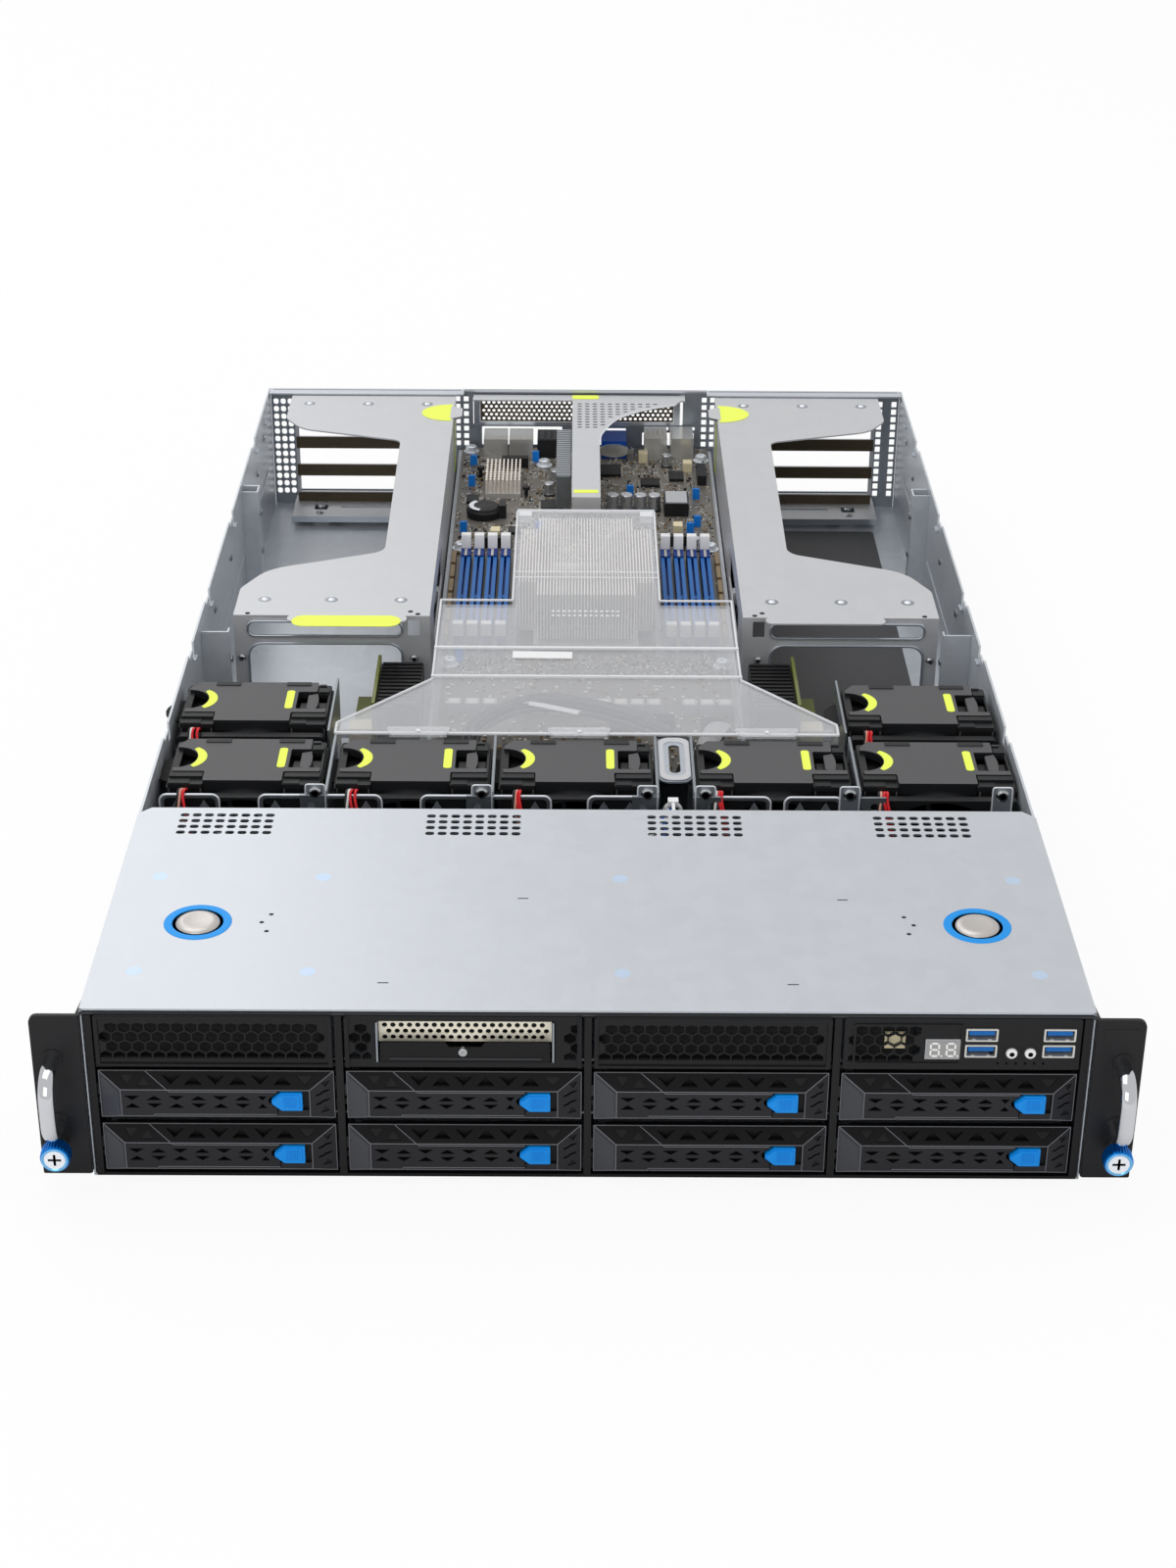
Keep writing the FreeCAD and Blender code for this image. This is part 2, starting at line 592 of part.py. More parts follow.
def ear_parts():
    """Both ears and both handles; each ear is bored for the studs of its handle."""
    bar, studs = ear_handle()
    ear = rack_ear()
    for stud in studs:
        ear = ear.cut(stud)
    handle = fused([bar, *studs])
    return [mirrored(ear), ear], [mirrored(handle), handle]


def rack_screw(side):
    """A captive thumb screw: knurled collar, cross-slotted head, stem, thin neck through the ear, thread behind."""
    x = side * RACK_HOLE_SPACING / 2
    collar_rear = EAR_FRONT_Y - 6.5
    teeth = 14
    ridges = [(SCREW_R - 0.5 * (n % 2), math.pi * n / teeth) for n in range(2 * teeth)]
    rim = outline([(x + r * math.cos(t), SCREW_Z + r * math.sin(t)) for r, t in ridges])
    knurl = upright(rim, (SCREW_FRONT_Y + 2.0, collar_rear))
    face = cylinder(SCREW_R - 0.4, (x, SCREW_FRONT_Y, SCREW_Z), (0, 1, 0), 2.5)
    slots = [box(grow((x, x), a), (SCREW_FRONT_Y - 1, SCREW_FRONT_Y + 1.6), grow((SCREW_Z, SCREW_Z), b))
             for a, b in ((2.4, 0.5), (0.5, 2.4))]
    collar = fused([knurl, face]).cut(fused(slots))
    stem = cylinder(3.6, (x, collar_rear - 1, SCREW_Z), (0, 1, 0), EAR_FRONT_Y - 0.3 - collar_rear + 1)
    neck_y = EAR_FRONT_Y - 1
    shank_y = EAR_FRONT_Y + EAR_THICK + 0.3
    neck = cylinder(SCREW_NECK_R, (x, neck_y, SCREW_Z), (0, 1, 0), shank_y + 1 - neck_y)
    shank = cylinder(SCREW_SHANK_R, (x, shank_y, SCREW_Z), (0, 1, 0), SCREW_END_Y - shank_y)
    return [fused([collar, stem, neck, shank])]


# ---- fans -------------------------------------------------------------------------------------------------------
def fan_module():
    """A hot-swap fan's housing, with its left front corner at X = 0, Y = 0."""
    w, d = FAN_WIDTH, FAN_DEPTH
    mid = w / 2
    body_top = FAN_TOP - 3.0
    body = box((0, w), (0, d), (FAN_FLOOR, body_top))
    bore = cylinder(FAN_BORE_R, (mid, -1, FAN_AXIS_Z), (0, 1, 0), d + 2)
    body = body.cut(bore)
    corners = [box(x, (9.0, d - 9.0), z) for x in ((-1, 7.0), (w - 7.0, w + 1)) for z in ((14.0, 68.0),)]
    body = body.cut(fused(corners))
    base = cylinder(HUB_R, (mid, d - 7.0, FAN_AXIS_Z), (0, 1, 0), 6.0)
    arms = []
    for n in range(3):
        arm = box((HUB_R - 2, FAN_BORE_R + 0.6), (d - 5.0, d - 1.5), (-1.6, 1.6))
        arm.rotate(V(0, 0, 0), V(0, 1, 0), 120 * n + 90)
        arms.append(moved(arm, mid, 0, FAN_AXIS_Z))
    socket = cylinder(SHAFT_R + RUNNING_GAP, (mid, d - 9, FAN_AXIS_Z), (0, 1, 0), 7.6)
    frame = fused([body, base, *arms]).cut(socket)
    lid = fan_lid(w, d)
    return [fused([frame, lid])]


def fan_lid(w, d):
    """The handle plate on top: finger hollow, latch window with its tongue, and two corner blocks."""
    top = (FAN_TOP - 3.2, FAN_TOP)
    points = [(0, 11.0), (19.0, 11.0), (19.0, 4.0), (72.0, 4.0), (72.0, 11.0), (w, 11.0),
              (w, d - 6.0), (66.0, d - 6.0), (66.0, d), (0, d)]
    window = rectangle((60.5, 76.5), (25.0, 43.0))
    plate = flat(outline(points), top, [window])
    hollow = flat(outline([(-1.0, 24.0), (8.0, 24.0), (15.0, 34.5), (8.0, 45.0), (-1.0, 45.0)]),
                  (FAN_TOP - 2.4, FAN_TOP + 1))
    tongue = box((65.0, 71.0), (24.5, 43.5), (FAN_TOP - 3.2, FAN_TOP - 1.2))
    blocks = [box((0, 16.0), (1.0, 10.0), (FAN_TOP - 9.0, FAN_TOP - 4.6)),
              box((60.0, w), (1.0, 10.0), (FAN_TOP - 9.0, FAN_TOP - 4.6))]
    return fused([plate.cut(hollow), tongue, *blocks])


def fan_rotor():
    """The hub, shaft and cambered blades, about the Y axis through the origin."""
    nose = 2.5
    profile = [(0, 6.0), (HUB_R - nose, 6.0), (HUB_R, 6.0 + nose), (HUB_R, 49.0), (SHAFT_R, 49.0), (SHAFT_R, 56.0),
               (0, 56.0)]
    hub = Part.Face(outline(profile)).revolve(V(0, 0, 0), V(0, 1, 0), 360)
    thick = 1.4
    camber = [(-11.0, 12.0), (1.0, 24.0), (8.0, 40.0)]
    section = outline([*camber, *[(x + thick, y) for x, y in reversed(camber)]])
    blade = flat(section, (HUB_R - 3.0, ROTOR_R - 1.8))
    blades = []
    for n in range(BLADES):
        copy = blade.copy()
        copy.rotate(V(0, 0, 0), V(0, 1, 0), 360 / BLADES * n)
        blades.append(copy)
    return fused([hub, *blades])


def fan_places():
    """(name number, left edge X, front Y) of each fan: the front row from the left, then the two behind it."""
    places = [(x, FRONT_FAN_Y) for x in FRONT_FAN_X] + [(x, REAR_FAN_Y) for x in REAR_FAN_X]
    return [(n + 1, x, y) for n, (x, y) in enumerate(places)]


def fan_wall():
    """The sheet-metal bulkhead: floor strips, dividers, front posts with nut tabs and top rails."""
    row = (FRONT_FAN_Y - 4.0, FRONT_FAN_Y + FAN_DEPTH + 1.0)
    edge = WIDTH / 2 - SHEET - 0.2
    lefts = list(FRONT_FAN_X)
    dividers = [lefts[1] - 2.3, lefts[2] - 2.3, lefts[2] + FAN_WIDTH + 1.2, lefts[3] - 1.3, lefts[4] - 2.0]
    front = (row[0] - 2.0, row[0] - 0.8)
    windows = [rectangle((left + 6.0, left + FAN_WIDTH - 8.0), (11.0, FAN_TOP - 24.0)) for left in lefts]
    sheet = upright(rectangle((-edge, edge), (SHEET, FAN_TOP - 18.0)), front, windows)
    gaps = [box((left + 27.0, left + 45.0), grow(front, 1.0), (FAN_TOP - 30.0, FAN_TOP)) for left in lefts]
    tabs = []
    for x, towards in zip(dividers, (-1, -1, -1, 1, 1)):
        tab_x = sorted((x + towards * 0.8, x + towards * 13.0))
        nut = circle(x + towards * 7.4, FAN_TOP - 6.0, 2.0)
        tabs.append(upright(rectangle(tab_x, (FAN_TOP - 30.0, FAN_TOP - 0.5)), front, [nut]))
    pieces = [fused([sheet.cut(Part.makeCompound(gaps)), *tabs])]
    pieces += [box(grow((x, x), SHEET / 2), row, (SHEET, FAN_TOP + 1.0)) for x in dividers]
    for left, side in zip(REAR_FAN_X, (1, -1)):
        inner = left + FAN_WIDTH + 1.6 if side > 0 else left - 1.6
        y = (REAR_FAN_Y - 4.5, REAR_FAN_Y + FAN_DEPTH + 1.0)
        pieces.append(box(grow((inner, inner), SHEET / 2), y, (SHEET, FAN_TOP + 1.0)))
        lip = (left + 1.0, left + FAN_WIDTH - 1.0)
        pieces.append(box(lip, (y[0] - 1.3, y[0]), (SHEET, 10.0)))
        pieces.append(box(lip, (y[0] - 1.3, y[0]), (FAN_TOP - 16.0, FAN_TOP - 11.0)))
    pieces.append(cable_clip(dividers[2], dividers[3]))
    return pieces


def cable_clip(left, right):
    """The bright slotted plate over the cable gap between the third and fourth fans."""
    x = (left + 0.9, right - 0.9)
    y = (FRONT_FAN_Y + 10.0, FRONT_FAN_Y + FAN_DEPTH + 1.0)
    slot = rectangle(grow(x, -5.0), grow(y, -8.0), 3.0)
    return flat(rectangle(x, y, 5.0), (FAN_TOP - 1.5, FAN_TOP - 0.3), [slot])


# ---- risers, duct, board and power ------------------------------------------------------------------------------
def riser_cage():
    """The left-hand cage for two cards: a C-shaped top, the board wall, the front frame and the slot plate."""
    outer, inner = -RISER_OUTER_X, -RISER_INNER_X
    front, rear = RISER_FRONT_Y, RISER_REAR_Y
    points = [(inner, front), (inner, rear), (outer - 1.0, rear), (outer - 1.0, 742.0, 14.0), (-190.0, 722.0, 24.0),
              (-122.5, 701.0, 7.0), (-120.8, 512.0, 12.0), (-188.0, 484.0, 30.0), (outer, 456.0, 14.0),
              (outer, front)]
    top = flat(outline(points), (RISER_TOP - RISER_SHEET, RISER_TOP))
    wall = sideways(rectangle((front, rear), (8.0, RISER_TOP)), (inner - RISER_SHEET, inner),
                    [rectangle((460.0, 560.0), (50.0, 70.0))])
    windows = [rectangle((-193.0, -105.0), (73.6, 82.6)), rectangle((-193.0, -106.0), (14.0, 69.0), 7.0),
               rectangle((-101.8, -95.0), (73.6, 83.4))]
    frame = upright(rectangle((outer, inner), (8.0, RISER_TOP)), (front, front + RISER_SHEET), windows)
    handle = flat(rectangle((-170.0, -102.0), (front - 8.0, front + 1.0), 4.0), (RISER_TOP - RISER_SHEET, RISER_TOP))
    slots = [rectangle((outer + 2.5, -97.0), grow((z, z), SLOT_WINDOW / 2)) for z in slot_heights()]
    plate = upright(rectangle((outer, inner), (12.8, RISER_TOP)), (rear - 1.6, rear), slots)
    cage = fused([top, wall, frame, handle, plate])
    card = box((inner - 5.6, inner - 4.0), (520.0, 760.0), (16.0, 80.0))
    sockets = [box((inner - 16.0, inner - 5.6), (600.0, 689.0), grow((z, z), 3.6))
               for z in (LOWEST_SLOT_Z + 3.0, LOWEST_SLOT_Z + 2 * SLOT_PITCH + 3.0)]
    clips = [box((inner - 4.0, inner - RISER_SHEET), (y, y + 8.0), (44.0, 52.0)) for y in (530.0, 740.0)]
    return [cage, fused([card, *sockets, *clips])]


def slot_heights():
    """Middle heights of the three card slots of a cage."""
    return [LOWEST_SLOT_Z + SLOT_PITCH * n for n in range(3)]


CENTRE_RISER_X = (-8.9, 9.4)


def centre_riser():
    """The low-profile riser: a T-shaped top with a curved, slotted gusset, its card, and the bracket lip."""
    left, right = CENTRE_RISER_X
    z = (83.0, 84.0)
    curve_start, curve_end = V(right, 706.0, 0), V(62.0, 778.0, 0)
    middle = V(21.5, 749.0, 0)
    edges = [Part.makeLine(V(left, 607.0, 0), V(right, 607.0, 0)), Part.makeLine(V(right, 607.0, 0), curve_start),
             Part.Arc(curve_start, middle, curve_end).toShape(),
             Part.makeLine(curve_end, V(66.0, 786.0, 0)), Part.makeLine(V(66.0, 786.0, 0), V(left, 786.0, 0)),
             Part.makeLine(V(left, 786.0, 0), V(left, 607.0, 0))]
    plan = Part.Wire(edges)
    face = Part.Face(plan)
    slots = [(x, y) for x, y in grid((left + 8.0, left + 8.0 + 7 * 8.2), (777.0 - 7 * 7.4, 777.0), 8, 8)
             if face.isInside(V(x + 4.6, y - 3.4, 0), 0.1, True)]
    holes = [rectangle(grow((x, x), 2.7), grow((y, y), 1.3)) for x, y in slots]
    top = flat(plan, z, holes)
    lip = box(CENTRE_RISER_X, (606.0, 607.0), (74.0, 84.0))
    band = box((-70.0, 69.0), (785.0, 797.8), (83.0, 84.0))
    plate = upright(rectangle((-70.0, 66.0), (62.2, 84.0)), (796.8, 797.8),
                    [rectangle((-66.0, -2.0), (64.0, 80.4)), rectangle((4.0, 62.0), (64.0, 80.4))])
    cage = fused([top, lip, band, plate])
    blades = []
    for x in ((-66.0, -2.0), (4.0, 62.0)):
        centres = grid(grow(x, -4.5), (68.6, 75.8), 9, 2)
        holes = [rectangle(grow((u, u), 2.3), grow((v, v), 2.3)) for u, v in centres]
        blades.append(upright(rectangle(grow(x, -0.1), (64.1, 80.3)), (797.0, 797.6), holes))
    card = box((-5.6, -4.0), (612.0, 730.0), (62.0, 83.0))
    return [cage, *blades, card]


DUCT_SHEET = 1.4
DUCT_FRONT_Y = 273.5
DUCT_FLARE_Y = (286.0, 340.0)
DUCT_SHOULDER_Y = 446.0
DUCT_REAR_Y = 584.0
DUCT_HALF_X = 84.0
DUCT_FRONT_HALF_X = 131.5
DUCT_CHANNEL_HALF_X = 42.6
DUCT_TOP = 84.0
DUCT_SHOULDER_TOP = 81.0
DUCT_FOOT = 48.0


def duct_body(inset):
    """The outside of the duct shrunk by inset: flared mouth, shoulders over the memory, and heat sink channel."""
    f = DUCT_FRONT_HALF_X - inset
    h = DUCT_HALF_X - inset
    c = DUCT_CHANNEL_HALF_X - inset
    back = DUCT_SHOULDER_Y - inset
    front = DUCT_FRONT_Y - (2 * inset)
    low = DUCT_FOOT - 2 * inset
    plan = [(-f, front), (f, front), (f, DUCT_FLARE_Y[0]), (h, DUCT_FLARE_Y[1]), (h, back), (-h, back),
            (-h, DUCT_FLARE_Y[1]), (-f, DUCT_FLARE_Y[0])]
    main = flat(outline(plan), (low, DUCT_TOP - inset))
    wedge = sideways(outline([(378.0, DUCT_TOP - inset), (500.0, DUCT_TOP - inset + 0.001),
                              (500.0, DUCT_SHOULDER_TOP - inset - 2.0), (446.0, DUCT_SHOULDER_TOP - inset)]),
                     (-140.0, 140.0))
    channel = box((-c, c), (front, DUCT_REAR_Y + inset), (low, DUCT_TOP - inset))
    return main.cut(wedge).fuse(channel)


def air_duct():
    """The clear air duct: an open-bottomed shell with a rib across its roof and a lip at its mouth."""
    shell = duct_body(0.0).cut(duct_body(DUCT_SHEET))
    rib = box((-DUCT_HALF_X, DUCT_HALF_X), (341.0, 342.6), (DUCT_TOP - 0.2, DUCT_TOP + 1.2))
    lips = [box(grow((x, x), 15.0), (DUCT_FRONT_Y - 3.0, DUCT_FRONT_Y + 4.0), (DUCT_TOP - 1.0, DUCT_TOP + 0.6))
            for x in (-88.0, -4.0, 94.0)]
    return [fused([shell, rib, *lips])]


def heat_sink():
    """The processor cooler: base plate, a stack of thin fins and four spring screws."""
    half, y, z = 39.5, (458.0, 576.0), (54.0, 82.0)
    fins = []
    pitch = 3.3
    count = round(2 * half / pitch)
    for n in range(count + 1):
        x = -half + n * (2 * half - 0.6) / count
        fins.append(box((x, x + 0.6), y, (z[0] - 0.5, z[1])))
    base = box((-half, half), y, (z[0] - 4.0, z[0]))
    towers = Part.makeCompound([box(grow((x, x), 7.0), yy, (z[0], z[1] + 1))
                                for x in (-24.5, 24.5) for yy in ((457.0, 472.0), (562.0, 577.0))])
    stack = fused([base, *fins]).cut(towers)
    screws = [cylinder(3.6, (x, yy, z[0]), (0, 0, 1), 20.0) for x in (-24.5, 24.5) for yy in (465.0, 569.0)]
    socket = box((-36.0, 36.0), (478.0, 556.0), (BOARD_TOP, z[0] - 4.0))
    return [fused([stack, *screws]), socket]


SOCKET_X = (-75.2, -66.9, -58.6, -50.3, 50.3, 58.6, 66.9, 75.2)


def memory_socket(x):
    """One memory socket: a slotted bar with an ejector block at each end."""
    y, low, high = (457.0, 597.0), BOARD_TOP + 8.5, BOARD_TOP + 18.0
    profile = [(y[0], BOARD_TOP), (y[1], BOARD_TOP), (y[1], high), (y[1] - 6.0, high), (y[1] - 6.0, low),
               (y[0] + 6.0, low), (y[0] + 6.0, high), (y[0], high)]
    slot = box(grow((x, x), 0.8), grow(y, -8.0), (BOARD_TOP + 3.0, BOARD_TOP + 9.0))
    return sideways(outline(profile), grow((x, x), 3.1)).cut(slot)


def mainboard():
    """The circuit board with its sockets, ports, chips and the card power boards beside it."""
    board = box((-DECK_HALF_X + 1.5, DECK_HALF_X - 1.5), (DECK_Y[0] + 4, DECK_Y[1] - 3),
                (BOARD_TOP - BOARD_THICK, BOARD_TOP))
    posts = [cylinder(3.0, (x, y, DECK_TOP), (0, 0, 1), BOARD_TOP - BOARD_THICK - DECK_TOP)
             for x in (-80.0, 80.0) for y in (320.0, 436.0, 640.0, 780.0)]
    sockets = [memory_socket(x) for x in SOCKET_X]
    ports = [box(x, (DEPTH - 30.0, DEPTH - SHEET - 0.2), (BOARD_TOP, BOARD_TOP + height))
             for x, height in (((-70.5, -55.0), 13.0), ((-52.5, -37.0), 13.0), ((-33.0, -17.0), 12.4),
                               ((11.0, 27.6), 12.0), ((41.5, 56.0), 8.8), ((60.5, 75.0), 8.8))]
    jacks = [box(grow(x, -2.0), (DEPTH - 14.0, DEPTH), (BOARD_TOP + 2.0, BOARD_TOP + 11.0))
             for x in ((-70.5, -55.0), (-52.5, -37.0))]
    ports = [ports[0].cut(jacks[0]), ports[1].cut(jacks[1]), *ports[2:]]
    chips = [box((-66.0, -44.0), (703.0, 727.0), (BOARD_TOP, BOARD_TOP + 10.0)),
             box((18.0, 40.0), (722.0, 744.0), (BOARD_TOP, BOARD_TOP + 3.0)),
             box((50.0, 67.0), (664.0, 684.0), (BOARD_TOP, BOARD_TOP + 6.0))]
    battery = cylinder(10.5, (-66.0, 668.0, BOARD_TOP), (0, 0, 1), 9.0)
    cans = [cylinder(4.0, (x, 682.0, BOARD_TOP), (0, 0, 1), 12.0) for x in (18.0, 27.4, 36.8)]
    pieces = [board, *posts, *sockets, *ports, *chips, battery, *cans]
    for side in (-1, 1):
        power = [box((116.0, 117.6), (347.0, 409.0), (SHEET, 62.0)), box((92.0, 116.0), (352.0, 404.0), (34.0, 58.0)),
                 box((117.6, 129.0), (352.0, 382.0), (40.0, 56.0))]
        pieces += power if side > 0 else [mirrored(s) for s in power]
    return pieces


def power_supply(side):
    """One hot-swap supply: case with a vented rear face, inlet, handle and latch."""
    w, length, h = SUPPLY_SIZE
    x = (1.4, 1.4 + w) if side > 0 else (-1.4 - w, -1.4)
    low = SUPPLY_SILL + 0.3
    y = (DEPTH - length, DEPTH + 1.0)
    case = box(x, y, (low, low + h))
    vents = [box((x[0] + 5.0 + 4.6 * n, x[0] + 7.6 + 4.6 * n), (y[1] - 4.0, y[1] + 1.0), (low + 5.0, low + 33.0))
             for n in range(7)]
    inlet = box((x[1] - 30.0, x[1] - 6.0), (y[1] - 14.0, y[1] + 1), (low + 8.0, low + 25.0))
    pins = [box((x[1] - 22.0 + 4.4 * n, x[1] - 20.8 + 4.4 * n), (y[1] - 14.5, y[1] - 3.0), (low + 14.0, low + 20.0))
            for n in range(3)]
    body = case.cut(Part.makeCompound([*vents, inlet]))
    grip_y = (y[1] - 0.5, DEPTH + SUPPLY_HANDLE)
    grip = sideways(outline([(grip_y[0], low + 5.0), (grip_y[1], low + 5.0, 4.0), (grip_y[1], low + 33.0, 4.0),
                             (grip_y[0], low + 33.0)]), (x[1] - 37.0, x[1] - 34.0),
                    [rectangle((grip_y[0] + 2.5, grip_y[1] - 3.0), (low + 8.0, low + 30.0))])
    latch = box((x[1] - 5.0, x[1] - 1.5), (y[1] - 0.5, y[1] + 8.0), (low + 26.0, low + 37.0))
    return [fused([body, *pins, grip, latch])]


# ---- writing ----------------------------------------------------------------------------------------------------
def write(name, solids):
    """Writes one node, moved so that the stored origin is the middle of the underside."""
    group = solids[0] if len(solids) == 1 else Part.makeCompound(solids)
    group = moved(group, 0, -CENTRE_Y, 0)
    bad = [i for i, s in enumerate(group.Solids) if not s.isValid() or s.Volume <= 0]
    if bad:
        print("not valid:", name, bad)
    group.exportStep(f"parts/{name}.step")


def build():
    """Makes every node of the server."""
    os.makedirs("parts", exist_ok=True)
    ears, handles = ear_parts()
    nodes = {
        "chassis_tray": chassis_tray(), "rear_wall": rear_wall(), "front_cover": front_cover(),
        "drive_cage": drive_cage(), "front_panel_row": front_panel_row(), "rack_ears": ears,
        "ear_handles": handles, "fan_wall": fan_wall(), "mainboard": mainboard(), "cpu_heat_sink": heat_sink(),
        "left_rack_screw": rack_screw(-1), "right_rack_screw": rack_screw(1),
        "power_button": panel_button(*PANEL_BUTTON_XZ[0]), "reset_button": panel_button(*PANEL_BUTTON_XZ[1]),
        "left_cover_button": cover_button(*BUTTON_XY[0]), "right_cover_button": cover_button(*BUTTON_XY[1]),
        "left_riser_cage": riser_cage(), "right_riser_cage": [mirrored(s) for s in riser_cage()],
        "centre_riser": centre_riser(), "air_duct": air_duct(),
        "left_power_supply": power_supply(-1), "right_power_supply": power_supply(1),
    }
    tray, lever, latch, drive = tray_frame(), tray_lever(), tray_latch(), hard_drive()
    number = 0
    for row in (1, 0):
        for column in range(COLUMNS):
            number += 1
            x, z = column_x(column), LOWER_ROW_Z + BAY_PITCH_Z * row
            nodes[f"drive_tray_{number}"] = [moved(tray, x, 0, z), moved(drive, x, 0, z)]
            nodes[f"tray_lever_{number}"] = [moved(lever, x, 0, z)]
            nodes[f"tray_latch_{number}"] = [moved(latch, x, 0, z)]
    housing, rotor = fan_module()[0], fan_rotor()
    for number, x, y in fan_places():
        nodes[f"fan_module_{number}"] = [moved(housing, x, y)]
        nodes[f"fan_rotor_{number}"] = [moved(rotor, x + FAN_WIDTH / 2, y, FAN_AXIS_Z)]
    for name, solids in nodes.items():
        write(name, solids)
    print(len(nodes), "nodes, CENTRE_Y", CENTRE_Y)


build()
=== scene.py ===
"""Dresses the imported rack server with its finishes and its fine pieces, on a pale floor in soft light.

Pieces are drawn in millimetres: X to the right, Y back from the rims of the drive bezels, Z up from the underside.
Surface.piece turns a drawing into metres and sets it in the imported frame.
"""
import json
import logging
import math
from dataclasses import dataclass, field
from enum import Enum
from typing import Callable, Mapping, Optional, Sequence

import bmesh
import bpy
import numpy as np
from mathutils import Matrix, Vector
from mathutils.geometry import delaunay_2d_cdt

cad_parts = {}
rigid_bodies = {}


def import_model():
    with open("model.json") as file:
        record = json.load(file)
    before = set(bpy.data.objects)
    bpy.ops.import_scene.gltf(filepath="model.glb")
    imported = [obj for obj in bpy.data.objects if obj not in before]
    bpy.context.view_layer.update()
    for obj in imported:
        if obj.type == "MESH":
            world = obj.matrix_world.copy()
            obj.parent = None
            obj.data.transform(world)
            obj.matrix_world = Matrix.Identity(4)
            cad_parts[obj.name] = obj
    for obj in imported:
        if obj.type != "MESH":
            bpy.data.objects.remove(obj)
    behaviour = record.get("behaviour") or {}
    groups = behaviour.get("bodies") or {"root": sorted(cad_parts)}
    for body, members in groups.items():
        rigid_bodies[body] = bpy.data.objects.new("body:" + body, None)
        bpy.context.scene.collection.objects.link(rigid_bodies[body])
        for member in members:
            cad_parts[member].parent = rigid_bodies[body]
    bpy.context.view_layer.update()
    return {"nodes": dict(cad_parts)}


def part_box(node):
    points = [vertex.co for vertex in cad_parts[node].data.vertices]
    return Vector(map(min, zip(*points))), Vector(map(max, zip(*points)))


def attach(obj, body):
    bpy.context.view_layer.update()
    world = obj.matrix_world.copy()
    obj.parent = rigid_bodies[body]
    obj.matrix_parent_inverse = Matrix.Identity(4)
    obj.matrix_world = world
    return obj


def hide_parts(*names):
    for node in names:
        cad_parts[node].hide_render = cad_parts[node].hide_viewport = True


for leftover in list(bpy.data.objects):
    bpy.data.objects.remove(leftover)
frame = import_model()

LOG = logging.getLogger("rack_server")
MM = 0.001
RIM_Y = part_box("front_cover")[0].y
SEED = 20
SHARP = 35.0  # degrees between two faces, from which their edge is rounded or shaded as an edge
Array = np.ndarray
Pair = tuple[float, float]
Sockets = Mapping[str, bpy.types.NodeSocket]
Pattern = tuple[bpy.types.NodeSocket, bpy.types.NodeSocket]


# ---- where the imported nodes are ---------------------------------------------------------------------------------
@dataclass(frozen=True)
class Extent:
    """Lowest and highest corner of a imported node, in drawing millimetres."""

    low: Array
    high: Array

    @classmethod
    def of(cls, node: str) -> "Extent":
        """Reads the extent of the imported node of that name."""
        low, high = (np.array(corner) - (0.0, RIM_Y, 0.0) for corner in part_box(node))
        return cls(low / MM, high / MM)

    @property
    def middle(self) -> Array:
        """The centre of the box."""
        return (self.low + self.high) / 2

    def span(self, axis: int) -> Pair:
        """(low, high) along one axis."""
        return float(self.low[axis]), float(self.high[axis])


# ---- outlines ---------------------------------------------------------------------------------------------------
def oval(centre: Pair, radii: Pair, sides: int = 24, turn: float = 0.0) -> Array:
    """Points at even angles round an ellipse."""
    angle = np.linspace(0, 2 * np.pi, sides, endpoint=False) + turn
    return np.stack([centre[0] + radii[0] * np.cos(angle), centre[1] + radii[1] * np.sin(angle)], 1)


def disc(u: float, v: float, radius: float, sides: int = 24) -> Array:
    """A round outline."""
    return oval((u, v), (radius, radius), sides)


def hexagon(u: float, v: float, radius: float) -> Array:
    """A six-sided outline with a corner at the top."""
    return oval((u, v), (radius, radius), 6, math.pi / 6)


def wedge(u: float, v: float, width: float, height: float) -> Array:
    """A triangle that points up, or down where height is negative."""
    points = np.array([(u - width / 2, v - height / 2), (u + width / 2, v - height / 2), (u, v + height / 2)])
    return points if height > 0 else points[::-1]


def rounded(points: Sequence[Pair], radius: float | Sequence[float], steps: int = 4) -> Array:
    """Rounds every corner of an outline.

    A corner of inside angle 2a is replaced by the arc of its radius that touches both sides, so the arc starts
    radius / tan(a) before the corner, and its centre stands radius / sin(a) inside it.

    Args:
        points: corners, anticlockwise or clockwise.
        radius: one radius, or one for each corner.
        steps: chords in each arc.

    Returns:
        The points of the rounded outline.
    """
    corner = np.asarray(points, float)
    radii = np.broadcast_to(np.asarray(radius, float), len(corner))
    back = np.roll(corner, 1, 0) - corner
    ahead = np.roll(corner, -1, 0) - corner
    back = back / np.linalg.norm(back, axis=1, keepdims=True)
    ahead = ahead / np.linalg.norm(ahead, axis=1, keepdims=True)
    half = np.arccos(np.clip((back * ahead).sum(1), -1, 1)) / 2
    middle = back + ahead
    middle = middle / np.maximum(np.linalg.norm(middle, axis=1, keepdims=True), 1e-9)
    centre = corner + middle * (radii / np.sin(half))[:, None]
    start = corner + back * (radii / np.tan(half))[:, None] - centre
    end = corner + ahead * (radii / np.tan(half))[:, None] - centre
    share = np.linspace(0, 1, steps + 1)[None, :, None]
    sweep = (np.pi - 2 * half)[:, None, None]
    arc = (np.sin((1 - share) * sweep) * start[:, None] + np.sin(share * sweep) * end[:, None])
    arc = arc / np.maximum(np.sin(sweep), 1e-9) + centre[:, None]
    out = np.where((radii > 1e-6)[:, None, None], arc, corner[:, None])
    flat = out.reshape(-1, 2)
    step = np.linalg.norm(flat - np.roll(flat, 1, 0), axis=1)
    return flat[step > 1e-6]


